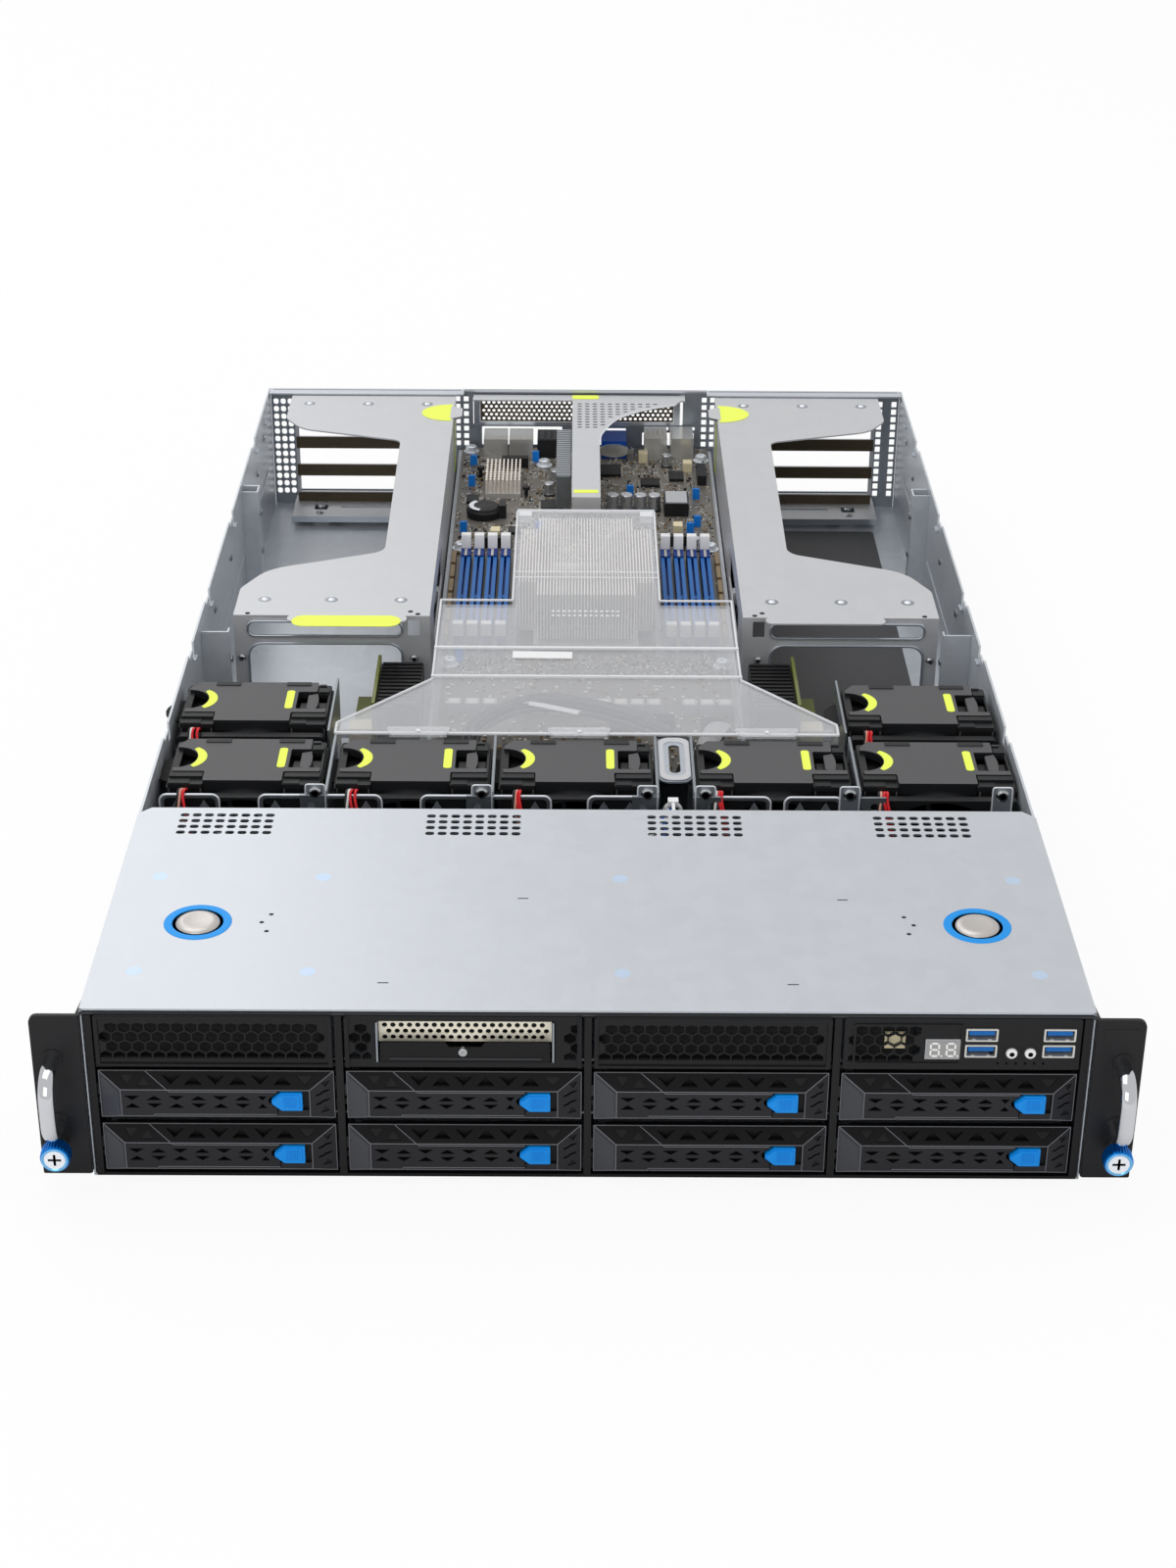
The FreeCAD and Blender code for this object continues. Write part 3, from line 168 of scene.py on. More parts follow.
def rect(u: Pair, v: Pair, radius: float = 0.0, steps: int = 3) -> Array:
    """A rectangle from two (low, high) pairs, with round corners."""
    corners = [(u[0], v[0]), (u[1], v[0]), (u[1], v[1]), (u[0], v[1])]
    return rounded(corners, radius, steps) if radius else np.array(corners, float)


def around(centre: float, size: float) -> Pair:
    """(low, high) of a length centred on a value."""
    return centre - size / 2, centre + size / 2


def ordered(first: float, second: float) -> Pair:
    """Two values as (low, high)."""
    return min(first, second), max(first, second)


def stacked(x: float | Array, y: float | Array, z: float | Array) -> Array:
    """Points, one to a row; a lone number stands for the coordinate of all of them."""
    return np.stack(np.broadcast_arrays(x, y, z), 1)


def lattice(u: Pair, v: Pair, columns: int, rows: int) -> Array:
    """Centres of an even array, from the (low, high) of its outer centres."""
    grid = np.meshgrid(np.linspace(*u, columns), np.linspace(*v, rows), indexing="ij")
    return np.stack(grid, -1).reshape(-1, 2)


def mirror(outline: Array) -> Array:
    """The outline on the other side of the plane X = 0."""
    return (np.asarray(outline) * (-1, 1))[::-1]


def inside(points: Array, outline: Array) -> Array:
    """Which points lie in an outline: a ray to the right crosses it an odd number of times."""
    start, end = outline, np.roll(outline, -1, 0)
    u, v = points[:, :1], points[:, 1:]
    rise = end[:, 1] - start[:, 1]
    at = start[:, 0] + (v - start[:, 1]) * (end[:, 0] - start[:, 0]) / np.where(np.abs(rise) < 1e-12, 1e-12, rise)
    crossed = ((start[:, 1] > v) != (end[:, 1] > v)) & (u < at)
    return crossed.sum(1) % 2 == 1


class Plane(Enum):
    """The way a flat piece lies: which drawing axes its outline's u and v and its thickness follow."""

    LEVEL = (0, 1, 2)
    UPRIGHT = (0, 2, 1)
    SIDEWAYS = (1, 2, 0)


# ---- surfaces ---------------------------------------------------------------------------------------------------
CUBE = np.array([(0, 0, 0), (1, 0, 0), (1, 1, 0), (0, 1, 0), (0, 0, 1), (1, 0, 1), (1, 1, 1), (0, 1, 1)], float)
CUBE_SIDES = np.array([(0, 3, 2, 1), (4, 5, 6, 7), (0, 1, 5, 4), (1, 2, 6, 5), (2, 3, 7, 6), (3, 0, 4, 7)])


class Surface:
    """Collects closed patches worked out as arrays, in millimetres, and makes one mesh piece of them."""

    def __init__(self) -> None:
        """Starts with no patch."""
        self.points: list[Array] = []
        self.faces: list[tuple[Array, str, bool]] = []
        self.count = 0

    def add(self, points: Array, faces: Array, finish: str, smooth: bool = False) -> None:
        """Adds points of shape (n, 3) and faces that index them."""
        self.points.append(np.asarray(points, float).reshape(-1, 3))
        self.faces.append((np.asarray(faces, int) + self.count, finish, smooth))
        self.count += len(self.points[-1])

    def join(self, other: "Surface", shift: Sequence[float] = (0, 0, 0)) -> None:
        """Adds every patch of another surface, moved by shift."""
        self.points += [points + shift for points in other.points]
        self.faces += [(faces + self.count, finish, smooth) for faces, finish, smooth in other.faces]
        self.count += other.count

    def boxes(self, low: Array, high: Array, finish: str) -> None:
        """Adds blocks from their lowest and highest corners, one row for each."""
        low, high = np.atleast_2d(np.asarray(low, float)), np.atleast_2d(np.asarray(high, float))
        corners = low[:, None] + (high - low)[:, None] * CUBE
        self.add(corners, (CUBE_SIDES + 8 * np.arange(len(low))[:, None, None]).reshape(-1, 4), finish)

    def block(self, x: Pair, y: Pair, z: Pair, finish: str) -> None:
        """Adds one block from three (low, high) pairs."""
        self.boxes((x[0], y[0], z[0]), (x[1], y[1], z[1]), finish)

    def net(self, points: Array, finish: str, smooth: bool = True) -> None:
        """Adds a net of points of shape (stations, round, 3), closed round its second axis, with flat ends.

        The ends are closed even where the first and last stations agree, so a ring gets discs across its hole.
        """
        stations, ring = points.shape[:2]
        index = np.arange(stations * ring).reshape(stations, ring)
        after = np.roll(index, -1, 1)
        quads = np.stack([index[:-1], index[1:], after[1:], after[:-1]], -1).reshape(-1, 4)
        self.add(points, quads, finish, smooth)
        ends = np.stack([np.arange(ring)[::-1], np.arange(ring) + (stations - 1) * ring])
        self.faces.append((ends + self.count - stations * ring, finish, False))

    def plate(self, outer: Array, span: Pair, plane: Plane, finish: str, holes: Sequence[Array] = (),
              tilt: Sequence[float] = (0, 0, 0), edge: Optional[str] = None) -> None:
        """Adds a flat piece with through holes.

        Its two faces are the outline's plane triangulated inside the outline and outside the holes, and its edges are
        quads between them. With tilt (a, b, c), the thickness starts from a * u + b * v + c instead of zero.

        Args:
            outer: outline in u and v.
            span: (low, high) of the thickness.
            plane: the way that it lies.
            finish: name of the finish.
            holes: outlines of the holes.
            tilt: slopes along u and v, and a shift.
            edge: finish of the faces along the thickness, if it differs.
        """
        loops = [np.asarray(loop, float) for loop in (outer, *holes)]
        flat = np.concatenate(loops)
        following = np.concatenate([np.roll(np.arange(len(q)), -1) + s for q, s in zip(loops, starts_of(loops))])
        edges = np.stack([np.arange(len(flat)), following], 1)
        made = delaunay_2d_cdt([Vector(p) for p in flat], edges.tolist(), [], 1, 1e-5, False)
        cap_points = np.array([tuple(p) for p in made[0]])
        faces = np.array([face for face in made[2] if len(face) == 3])
        centres = cap_points[faces].mean(1)
        keep = inside(centres, loops[0])
        for hole in loops[1:]:
            keep &= ~inside(centres, hole)
        faces = faces[keep]
        if len(cap_points) != len(flat):
            raise ValueError(f"outlines of a {finish} plate touch each other")
        u, v, w = plane.value
        both = np.zeros((2, len(flat), 3))
        both[:, :, u], both[:, :, v] = cap_points[:, 0], cap_points[:, 1]
        lift = flat[:, 0] * tilt[0] + flat[:, 1] * tilt[1] + tilt[2]
        both[:, :, w] = lift + np.array(span)[:, None]
        sides = np.stack([edges[:, 0], edges[:, 1], edges[:, 1] + len(flat), edges[:, 0] + len(flat)], 1)
        base = self.count
        self.add(both, faces[:, ::-1], finish)
        self.faces.append((faces + len(flat) + base, finish, False))
        self.faces.append((sides + base, edge or finish, False))

    def tube(self, path: Array, radius: float | Pair | Array, finish: str, sides: int = 10,
             up: Sequence[float] = (0, 0, 1)) -> None:
        """Adds a bar: a ring of the given radii carried along a path, square to it at every station.

        Args:
            path: stations of shape (n, 3).
            radius: one radius, (across, up) radii, or one radius for each station.
            finish: name of the finish.
            sides: points in the ring.
            up: a direction that the path never follows.
        """
        path = np.asarray(path, float)
        along = np.gradient(path, axis=0)
        along /= np.linalg.norm(along, axis=1, keepdims=True)
        across = np.cross(along, np.broadcast_to(up, along.shape))
        across /= np.linalg.norm(across, axis=1, keepdims=True)
        over = np.cross(across, along)
        if isinstance(radius, tuple):
            wide, tall = np.full(len(path), radius[0]), np.full(len(path), radius[1])
        else:
            wide = tall = np.broadcast_to(np.asarray(radius, float), len(path))
        angle = np.linspace(0, 2 * np.pi, sides, endpoint=False) + np.pi / sides
        ring = across[:, None] * (wide[:, None] * np.cos(angle))[..., None]
        ring = ring + over[:, None] * (tall[:, None] * np.sin(angle))[..., None]
        self.net(path[:, None] + ring, finish)

    def turned(self, profile: Sequence[Pair], centre: Sequence[float], axis: int, finish: str,
               sides: int = 32) -> None:
        """Adds a turned piece: a profile of (radius, height) carried round an axis through centre."""
        profile = np.asarray(profile, float)
        angle = np.linspace(0, 2 * np.pi, sides, endpoint=False)
        radius = np.maximum(profile[:, 0], 0.01)[:, None]
        net = np.zeros((len(profile), sides, 3))
        net[..., (axis + 1) % 3] = radius * np.cos(angle)
        net[..., (axis + 2) % 3] = radius * np.sin(angle)
        net[..., axis] = profile[:, 1][:, None]
        self.net(net + np.asarray(centre, float), finish)

    def scatter(self, unit: "Surface", places: Array) -> None:
        """Adds a copy of a small surface at every place, one row of (x, y, z) for each."""
        places = np.asarray(places, float).reshape(-1, 3)
        points = np.concatenate(unit.points)
        base = self.count
        self.points.append((points[None] + places[:, None]).reshape(-1, 3))
        self.count += len(points) * len(places)
        step = (np.arange(len(places)) * len(points))[:, None, None]
        self.faces += [((faces[None] + step).reshape(-1, faces.shape[1]) + base, finish, smooth)
                       for faces, finish, smooth in unit.faces]

    def piece(self, name: str, body: str, replaces: Sequence[str] = (), slot: Optional[str] = None,
              bevel: float = 0.0, steps: int = 1) -> bpy.types.Object:
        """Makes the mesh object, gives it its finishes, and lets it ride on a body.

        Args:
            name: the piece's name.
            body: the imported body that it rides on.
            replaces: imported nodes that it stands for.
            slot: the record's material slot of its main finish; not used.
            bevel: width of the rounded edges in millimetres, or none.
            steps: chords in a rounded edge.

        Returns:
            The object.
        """
        points = np.concatenate(self.points) * MM
        points[:, 1] += RIM_Y
        names = list(dict.fromkeys(finish for _, finish, _ in self.faces))
        corners = np.concatenate([faces.ravel() for faces, _, _ in self.faces])
        sizes = np.concatenate([np.full(len(faces), faces.shape[1]) for faces, _, _ in self.faces])
        mesh = bpy.data.meshes.new(name)
        mesh.vertices.add(len(points))
        mesh.vertices.foreach_set("co", points.astype(np.float32).ravel())
        mesh.loops.add(len(corners))
        mesh.loops.foreach_set("vertex_index", corners.astype(np.int32))
        mesh.polygons.add(len(sizes))
        mesh.polygons.foreach_set("loop_start", np.concatenate([[0], np.cumsum(sizes)[:-1]]).astype(np.int32))
        index = np.concatenate([np.full(len(faces), names.index(finish)) for faces, finish, _ in self.faces])
        mesh.polygons.foreach_set("material_index", index.astype(np.int32))
        smooth = np.concatenate([np.full(len(faces), shade) for faces, _, shade in self.faces])
        mesh.polygons.foreach_set("use_smooth", smooth)
        mesh.update(calc_edges=True)
        mesh.validate()
        outward(mesh)
        for finish in names:
            mesh.materials.append(FINISHES[finish].material())
        made = bpy.data.objects.new(name, mesh)
        bpy.context.scene.collection.objects.link(made)
        if bevel:
            soften(made, bevel, steps)
        else:
            mesh.set_sharp_from_angle(angle=math.radians(SHARP))
        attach(made, body)
        if replaces:
            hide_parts(*replaces)
        LOG.info("%s: %d faces", name, len(mesh.polygons))
        return made


def starts_of(loops: Sequence[Array]) -> Array:
    """Index of each loop's first point when the loops are laid end to end."""
    return np.concatenate([[0], np.cumsum([len(loop) for loop in loops])[:-1]]).astype(int)


def outward(mesh: bpy.types.Mesh) -> None:
    """Turns the faces of every closed patch outwards."""
    net = bmesh.new()
    net.from_mesh(mesh)
    bmesh.ops.recalc_face_normals(net, faces=net.faces)
    net.to_mesh(mesh)
    net.free()


def soften(made: bpy.types.Object, width: float, steps: int = 1, weld: bool = False) -> None:
    """Rounds the sharp edges of an object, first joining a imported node's loose triangles where weld is set."""
    if weld:
        join = made.modifiers.new("join", "WELD")
        join.merge_threshold = 1e-6
    round_off = made.modifiers.new("round", "BEVEL")
    round_off.width = width * MM
    round_off.segments = steps
    round_off.limit_method = "ANGLE"
    round_off.angle_limit = math.radians(SHARP)
    round_off.use_clamp_overlap = True
    round_off.harden_normals = True


def curve(points: Sequence[Sequence[float]], count: int = 24) -> Array:
    """Even stations on the Catmull-Rom curve through points.

    Between points b and c, with a before and d after, the curve is the cubic whose ends are b and c and whose
    slopes there are (c - a) / 2 and (d - b) / 2.
    """
    knots = np.asarray(points, float)
    padded = np.concatenate([[2 * knots[0] - knots[1]], knots, [2 * knots[-1] - knots[-2]]])
    t = np.linspace(0, len(knots) - 1, count)
    span = np.minimum(t.astype(int), len(knots) - 2)
    t = (t - span)[:, None]
    a, b, c, d = (padded[span + n] for n in range(4))
    return 0.5 * (2 * b + (c - a) * t + (2 * a - 5 * b + 4 * c - d) * t ** 2 + (3 * b - a - 3 * c + d) * t ** 3)


# ---- finishes ---------------------------------------------------------------------------------------------------
def sockets(group: bpy.types.NodeTree, into: dict[str, str], out: dict[str, str]) -> None:
    """Gives a node group its named sockets, each a name and a kind of socket."""
    for way, named in (("INPUT", into), ("OUTPUT", out)):
        for name, kind in named.items():
            group.interface.new_socket(name, in_out=way, socket_type=f"NodeSocket{kind}")


class NodeGraph:
    """Short names for finding, adding and joining shader nodes in one tree."""

    def __init__(self, tree: bpy.types.NodeTree) -> None:
        """Works on the given tree."""
        self.tree = tree

    def find(self, kind: str) -> bpy.types.Node:
        """The first node of a kind that the tree already holds."""
        return next(node for node in self.tree.nodes if node.type == kind)

    def node(self, kind: str, **settings: object) -> bpy.types.Node:
        """Adds a node of a kind with its properties set."""
        made = self.tree.nodes.new(f"ShaderNode{kind}")
        for name, value in settings.items():
            setattr(made, name, value)
        return made

    def link(self, source: bpy.types.NodeSocket, target: bpy.types.NodeSocket) -> None:
        """Joins an output to an input."""
        self.tree.links.new(source, target)

    def sum(self, operation: str, first: object, second: object, third: object = None) -> bpy.types.NodeSocket:
        """One step of arithmetic on sockets or numbers."""
        made = self.node("Math", operation=operation)
        for socket, value in zip(made.inputs, (first, second, third)):
            if isinstance(value, bpy.types.NodeSocket):
                self.link(value, socket)
            elif value is not None:
                socket.default_value = value
        return made.outputs[0]

    def noise(self, vector: bpy.types.NodeSocket, scale: object, detail: float) -> bpy.types.NodeSocket:
        """Cloudy noise about one half."""
        made = self.node("TexNoise")
        made.inputs["Detail"].default_value = detail
        self.link(vector, made.inputs["Vector"])
        if isinstance(scale, bpy.types.NodeSocket):
            self.link(scale, made.inputs["Scale"])
        else:
            made.inputs["Scale"].default_value = scale
        return made.outputs["Fac"]


SURFACE_IN = {"Colour": "Color", "Scale": "Float", "Stretch": "Vector", "Variation": "Float", "Roughness": "Float",
              "Spread": "Float"}
SURFACE_OUT = {"Colour": "Color", "Roughness": "Float", "Height": "Float"}


def tinted(graph: NodeGraph, colour: bpy.types.NodeSocket, shade: bpy.types.NodeSocket) -> bpy.types.NodeSocket:
    """A colour multiplied by a grey shade."""
    mix = graph.node("Mix", data_type="RGBA", blend_type="MULTIPLY")
    mix.inputs["Factor"].default_value = 1.0
    graph.link(colour, mix.inputs["A"])
    graph.link(shade, mix.inputs["B"])
    return mix.outputs["Result"]


def stretched(graph: NodeGraph, into: Sockets, place: bpy.types.NodeSocket) -> bpy.types.NodeSocket:
    """The object's own coordinates, stretched along each axis."""
    made = graph.node("VectorMath", operation="MULTIPLY")
    graph.link(place, made.inputs[0])
    graph.link(into["Stretch"], made.inputs[1])
    return made.outputs[0]


def grain(graph: NodeGraph, into: Sockets, place: bpy.types.NodeSocket) -> Pattern:
    """Cloud and a noise eight times finer: for powder coat, moulded plastic, plating and rolled sheet."""
    stretch = stretched(graph, into, place)
    cloud = graph.noise(stretch, into["Scale"], 4.0)
    return cloud, graph.noise(stretch, graph.sum("MULTIPLY", into["Scale"], 8.0), 2.0)


def spangle(graph: NodeGraph, into: Sockets, place: bpy.types.NodeSocket) -> Pattern:
    """Zinc spangle: irregular crystals of slightly different greys and gloss, with faint rolling lines over them."""
    crystal = graph.node("TexVoronoi", feature="F1")
    graph.link(place, crystal.inputs["Vector"])
    graph.link(into["Scale"], crystal.inputs["Scale"])
    split = graph.node("SeparateColor")
    graph.link(crystal.outputs["Color"], split.inputs["Color"])
    lines = graph.noise(stretched(graph, into, place), graph.sum("MULTIPLY", into["Scale"], 2.0), 3.0)
    return graph.sum("MULTIPLY_ADD", split.outputs["Red"], 0.45, graph.sum("MULTIPLY", lines, 0.55)), lines


def effect_group(name: str, pattern: Callable[..., Pattern]) -> bpy.types.NodeTree:
    """The shader node group of a surface effect, made on first use.

    The colour is multiplied by 1 + variation * (value - 0.5) * 2, and the roughness gains spread * (value - 0.5).

    Args:
        name: name of the group.
        pattern: adds the effect's own nodes and gives its value, about one half, and its height.

    Returns:
        The group.
    """
    group = bpy.data.node_groups.get(name)
    if group:
        return group
    group = bpy.data.node_groups.new(name, "ShaderNodeTree")
    sockets(group, SURFACE_IN, SURFACE_OUT)
    graph = NodeGraph(group)
    into, out = group.nodes.new("NodeGroupInput"), group.nodes.new("NodeGroupOutput")
    value, height = pattern(graph, into.outputs, graph.node("TexCoord").outputs["Object"])
    offset = graph.sum("SUBTRACT", value, 0.5)
    shade = graph.sum("MULTIPLY_ADD", graph.sum("MULTIPLY", offset, into.outputs["Variation"]), 2.0, 1.0)
    graph.link(tinted(graph, into.outputs["Colour"], shade), out.inputs["Colour"])
    rough = graph.sum("MULTIPLY_ADD", offset, into.outputs["Spread"], into.outputs["Roughness"])
    graph.link(rough, out.inputs["Roughness"])
    graph.link(height, out.inputs["Height"])
    return group


class Texture(Enum):
    """The surface effects that finishes share."""

    GRAIN = "grain"
    SPANGLE = "spangle"

    def group(self) -> bpy.types.NodeTree:
        """The shader node group of the effect."""
        return effect_group(self.value, {Texture.GRAIN: grain, Texture.SPANGLE: spangle}[self])


def linear(colour: Sequence[float]) -> tuple[float, float, float, float]:
    """A screen colour from 0 to 255 as light: the sRGB curve undone."""
    share = np.asarray(colour, float) / 255
    light = np.where(share <= 0.04045, share / 12.92, ((share + 0.055) / 1.055) ** 2.4)
    return (*(float(v) for v in light), 1.0)


@dataclass(frozen=True)
class Finish:
    """One surface finish.

    Args:
        name: name of the material.
        colour: screen colour, 0 to 255.
        metallic: share of bare metal.
        roughness: middle of the roughness.
        grain: size of the clouding in millimetres.
        variation: how far the colour strays.
        spread: how far the roughness strays.
        relief: depth of the grain in millimetres.
        stretch: how much finer the pattern is along each axis.
        coat: weight of a clear coat.
        specular: strength of the mirrored light of a bare plastic.
        opacity: how solid it is seen square on, 1 for solid.
        rim: how solid it is seen edge on, where it is clear.
        glow: light of its own.
        texture: the shared effect.
    """

    name: str
    colour: tuple[int, int, int]
    metallic: float = 0.0
    roughness: float = 0.5
    grain: float = 6.0
    variation: float = 0.05
    spread: float = 0.12
    relief: float = 0.01
    stretch: tuple[float, float, float] = (1.0, 1.0, 1.0)
    coat: float = 0.0
    specular: float = 0.3
    opacity: float = 1.0
    rim: float = 1.0
    glow: float = 0.0
    texture: Texture = Texture.GRAIN

    def material(self) -> bpy.types.Material:
        """The Blender material, made on first use."""
        made = bpy.data.materials.get(self.name)
        if made:
            return made
        made = bpy.data.materials.new(self.name)
        made.use_nodes = True
        graph = NodeGraph(made.node_tree)
        shader = graph.find("BSDF_PRINCIPLED")
        shader.inputs["Metallic"].default_value = self.metallic
        shader.inputs["Coat Weight"].default_value = self.coat
        shader.inputs["Coat Roughness"].default_value = 0.12
        shader.inputs["Specular IOR Level"].default_value = self.specular
        effect = made.node_tree.nodes.new("ShaderNodeGroup")
        effect.node_tree = self.texture.group()
        effect.inputs["Colour"].default_value = linear(self.colour)
        effect.inputs["Scale"].default_value = 1 / (self.grain * MM)
        effect.inputs["Stretch"].default_value = self.stretch
        effect.inputs["Variation"].default_value = self.variation
        effect.inputs["Roughness"].default_value = self.roughness
        effect.inputs["Spread"].default_value = self.spread
        graph.link(effect.outputs["Colour"], shader.inputs["Base Color"])
        graph.link(effect.outputs["Roughness"], shader.inputs["Roughness"])
        if self.relief:
            bump = graph.node("Bump")
            bump.inputs["Distance"].default_value = self.relief * MM
            bump.inputs["Strength"].default_value = 1.0
            graph.link(effect.outputs["Height"], bump.inputs["Height"])
            graph.link(bump.outputs["Normal"], shader.inputs["Normal"])
        if self.glow:
            graph.link(effect.outputs["Colour"], shader.inputs["Emission Color"])
            shader.inputs["Emission Strength"].default_value = self.glow
        if self.opacity < 1:
            facing = graph.node("LayerWeight")
            facing.inputs["Blend"].default_value = 0.35
            alpha = graph.sum("MULTIPLY_ADD", facing.outputs["Facing"], self.rim - self.opacity, self.opacity)
            graph.link(alpha, shader.inputs["Alpha"])
        return made


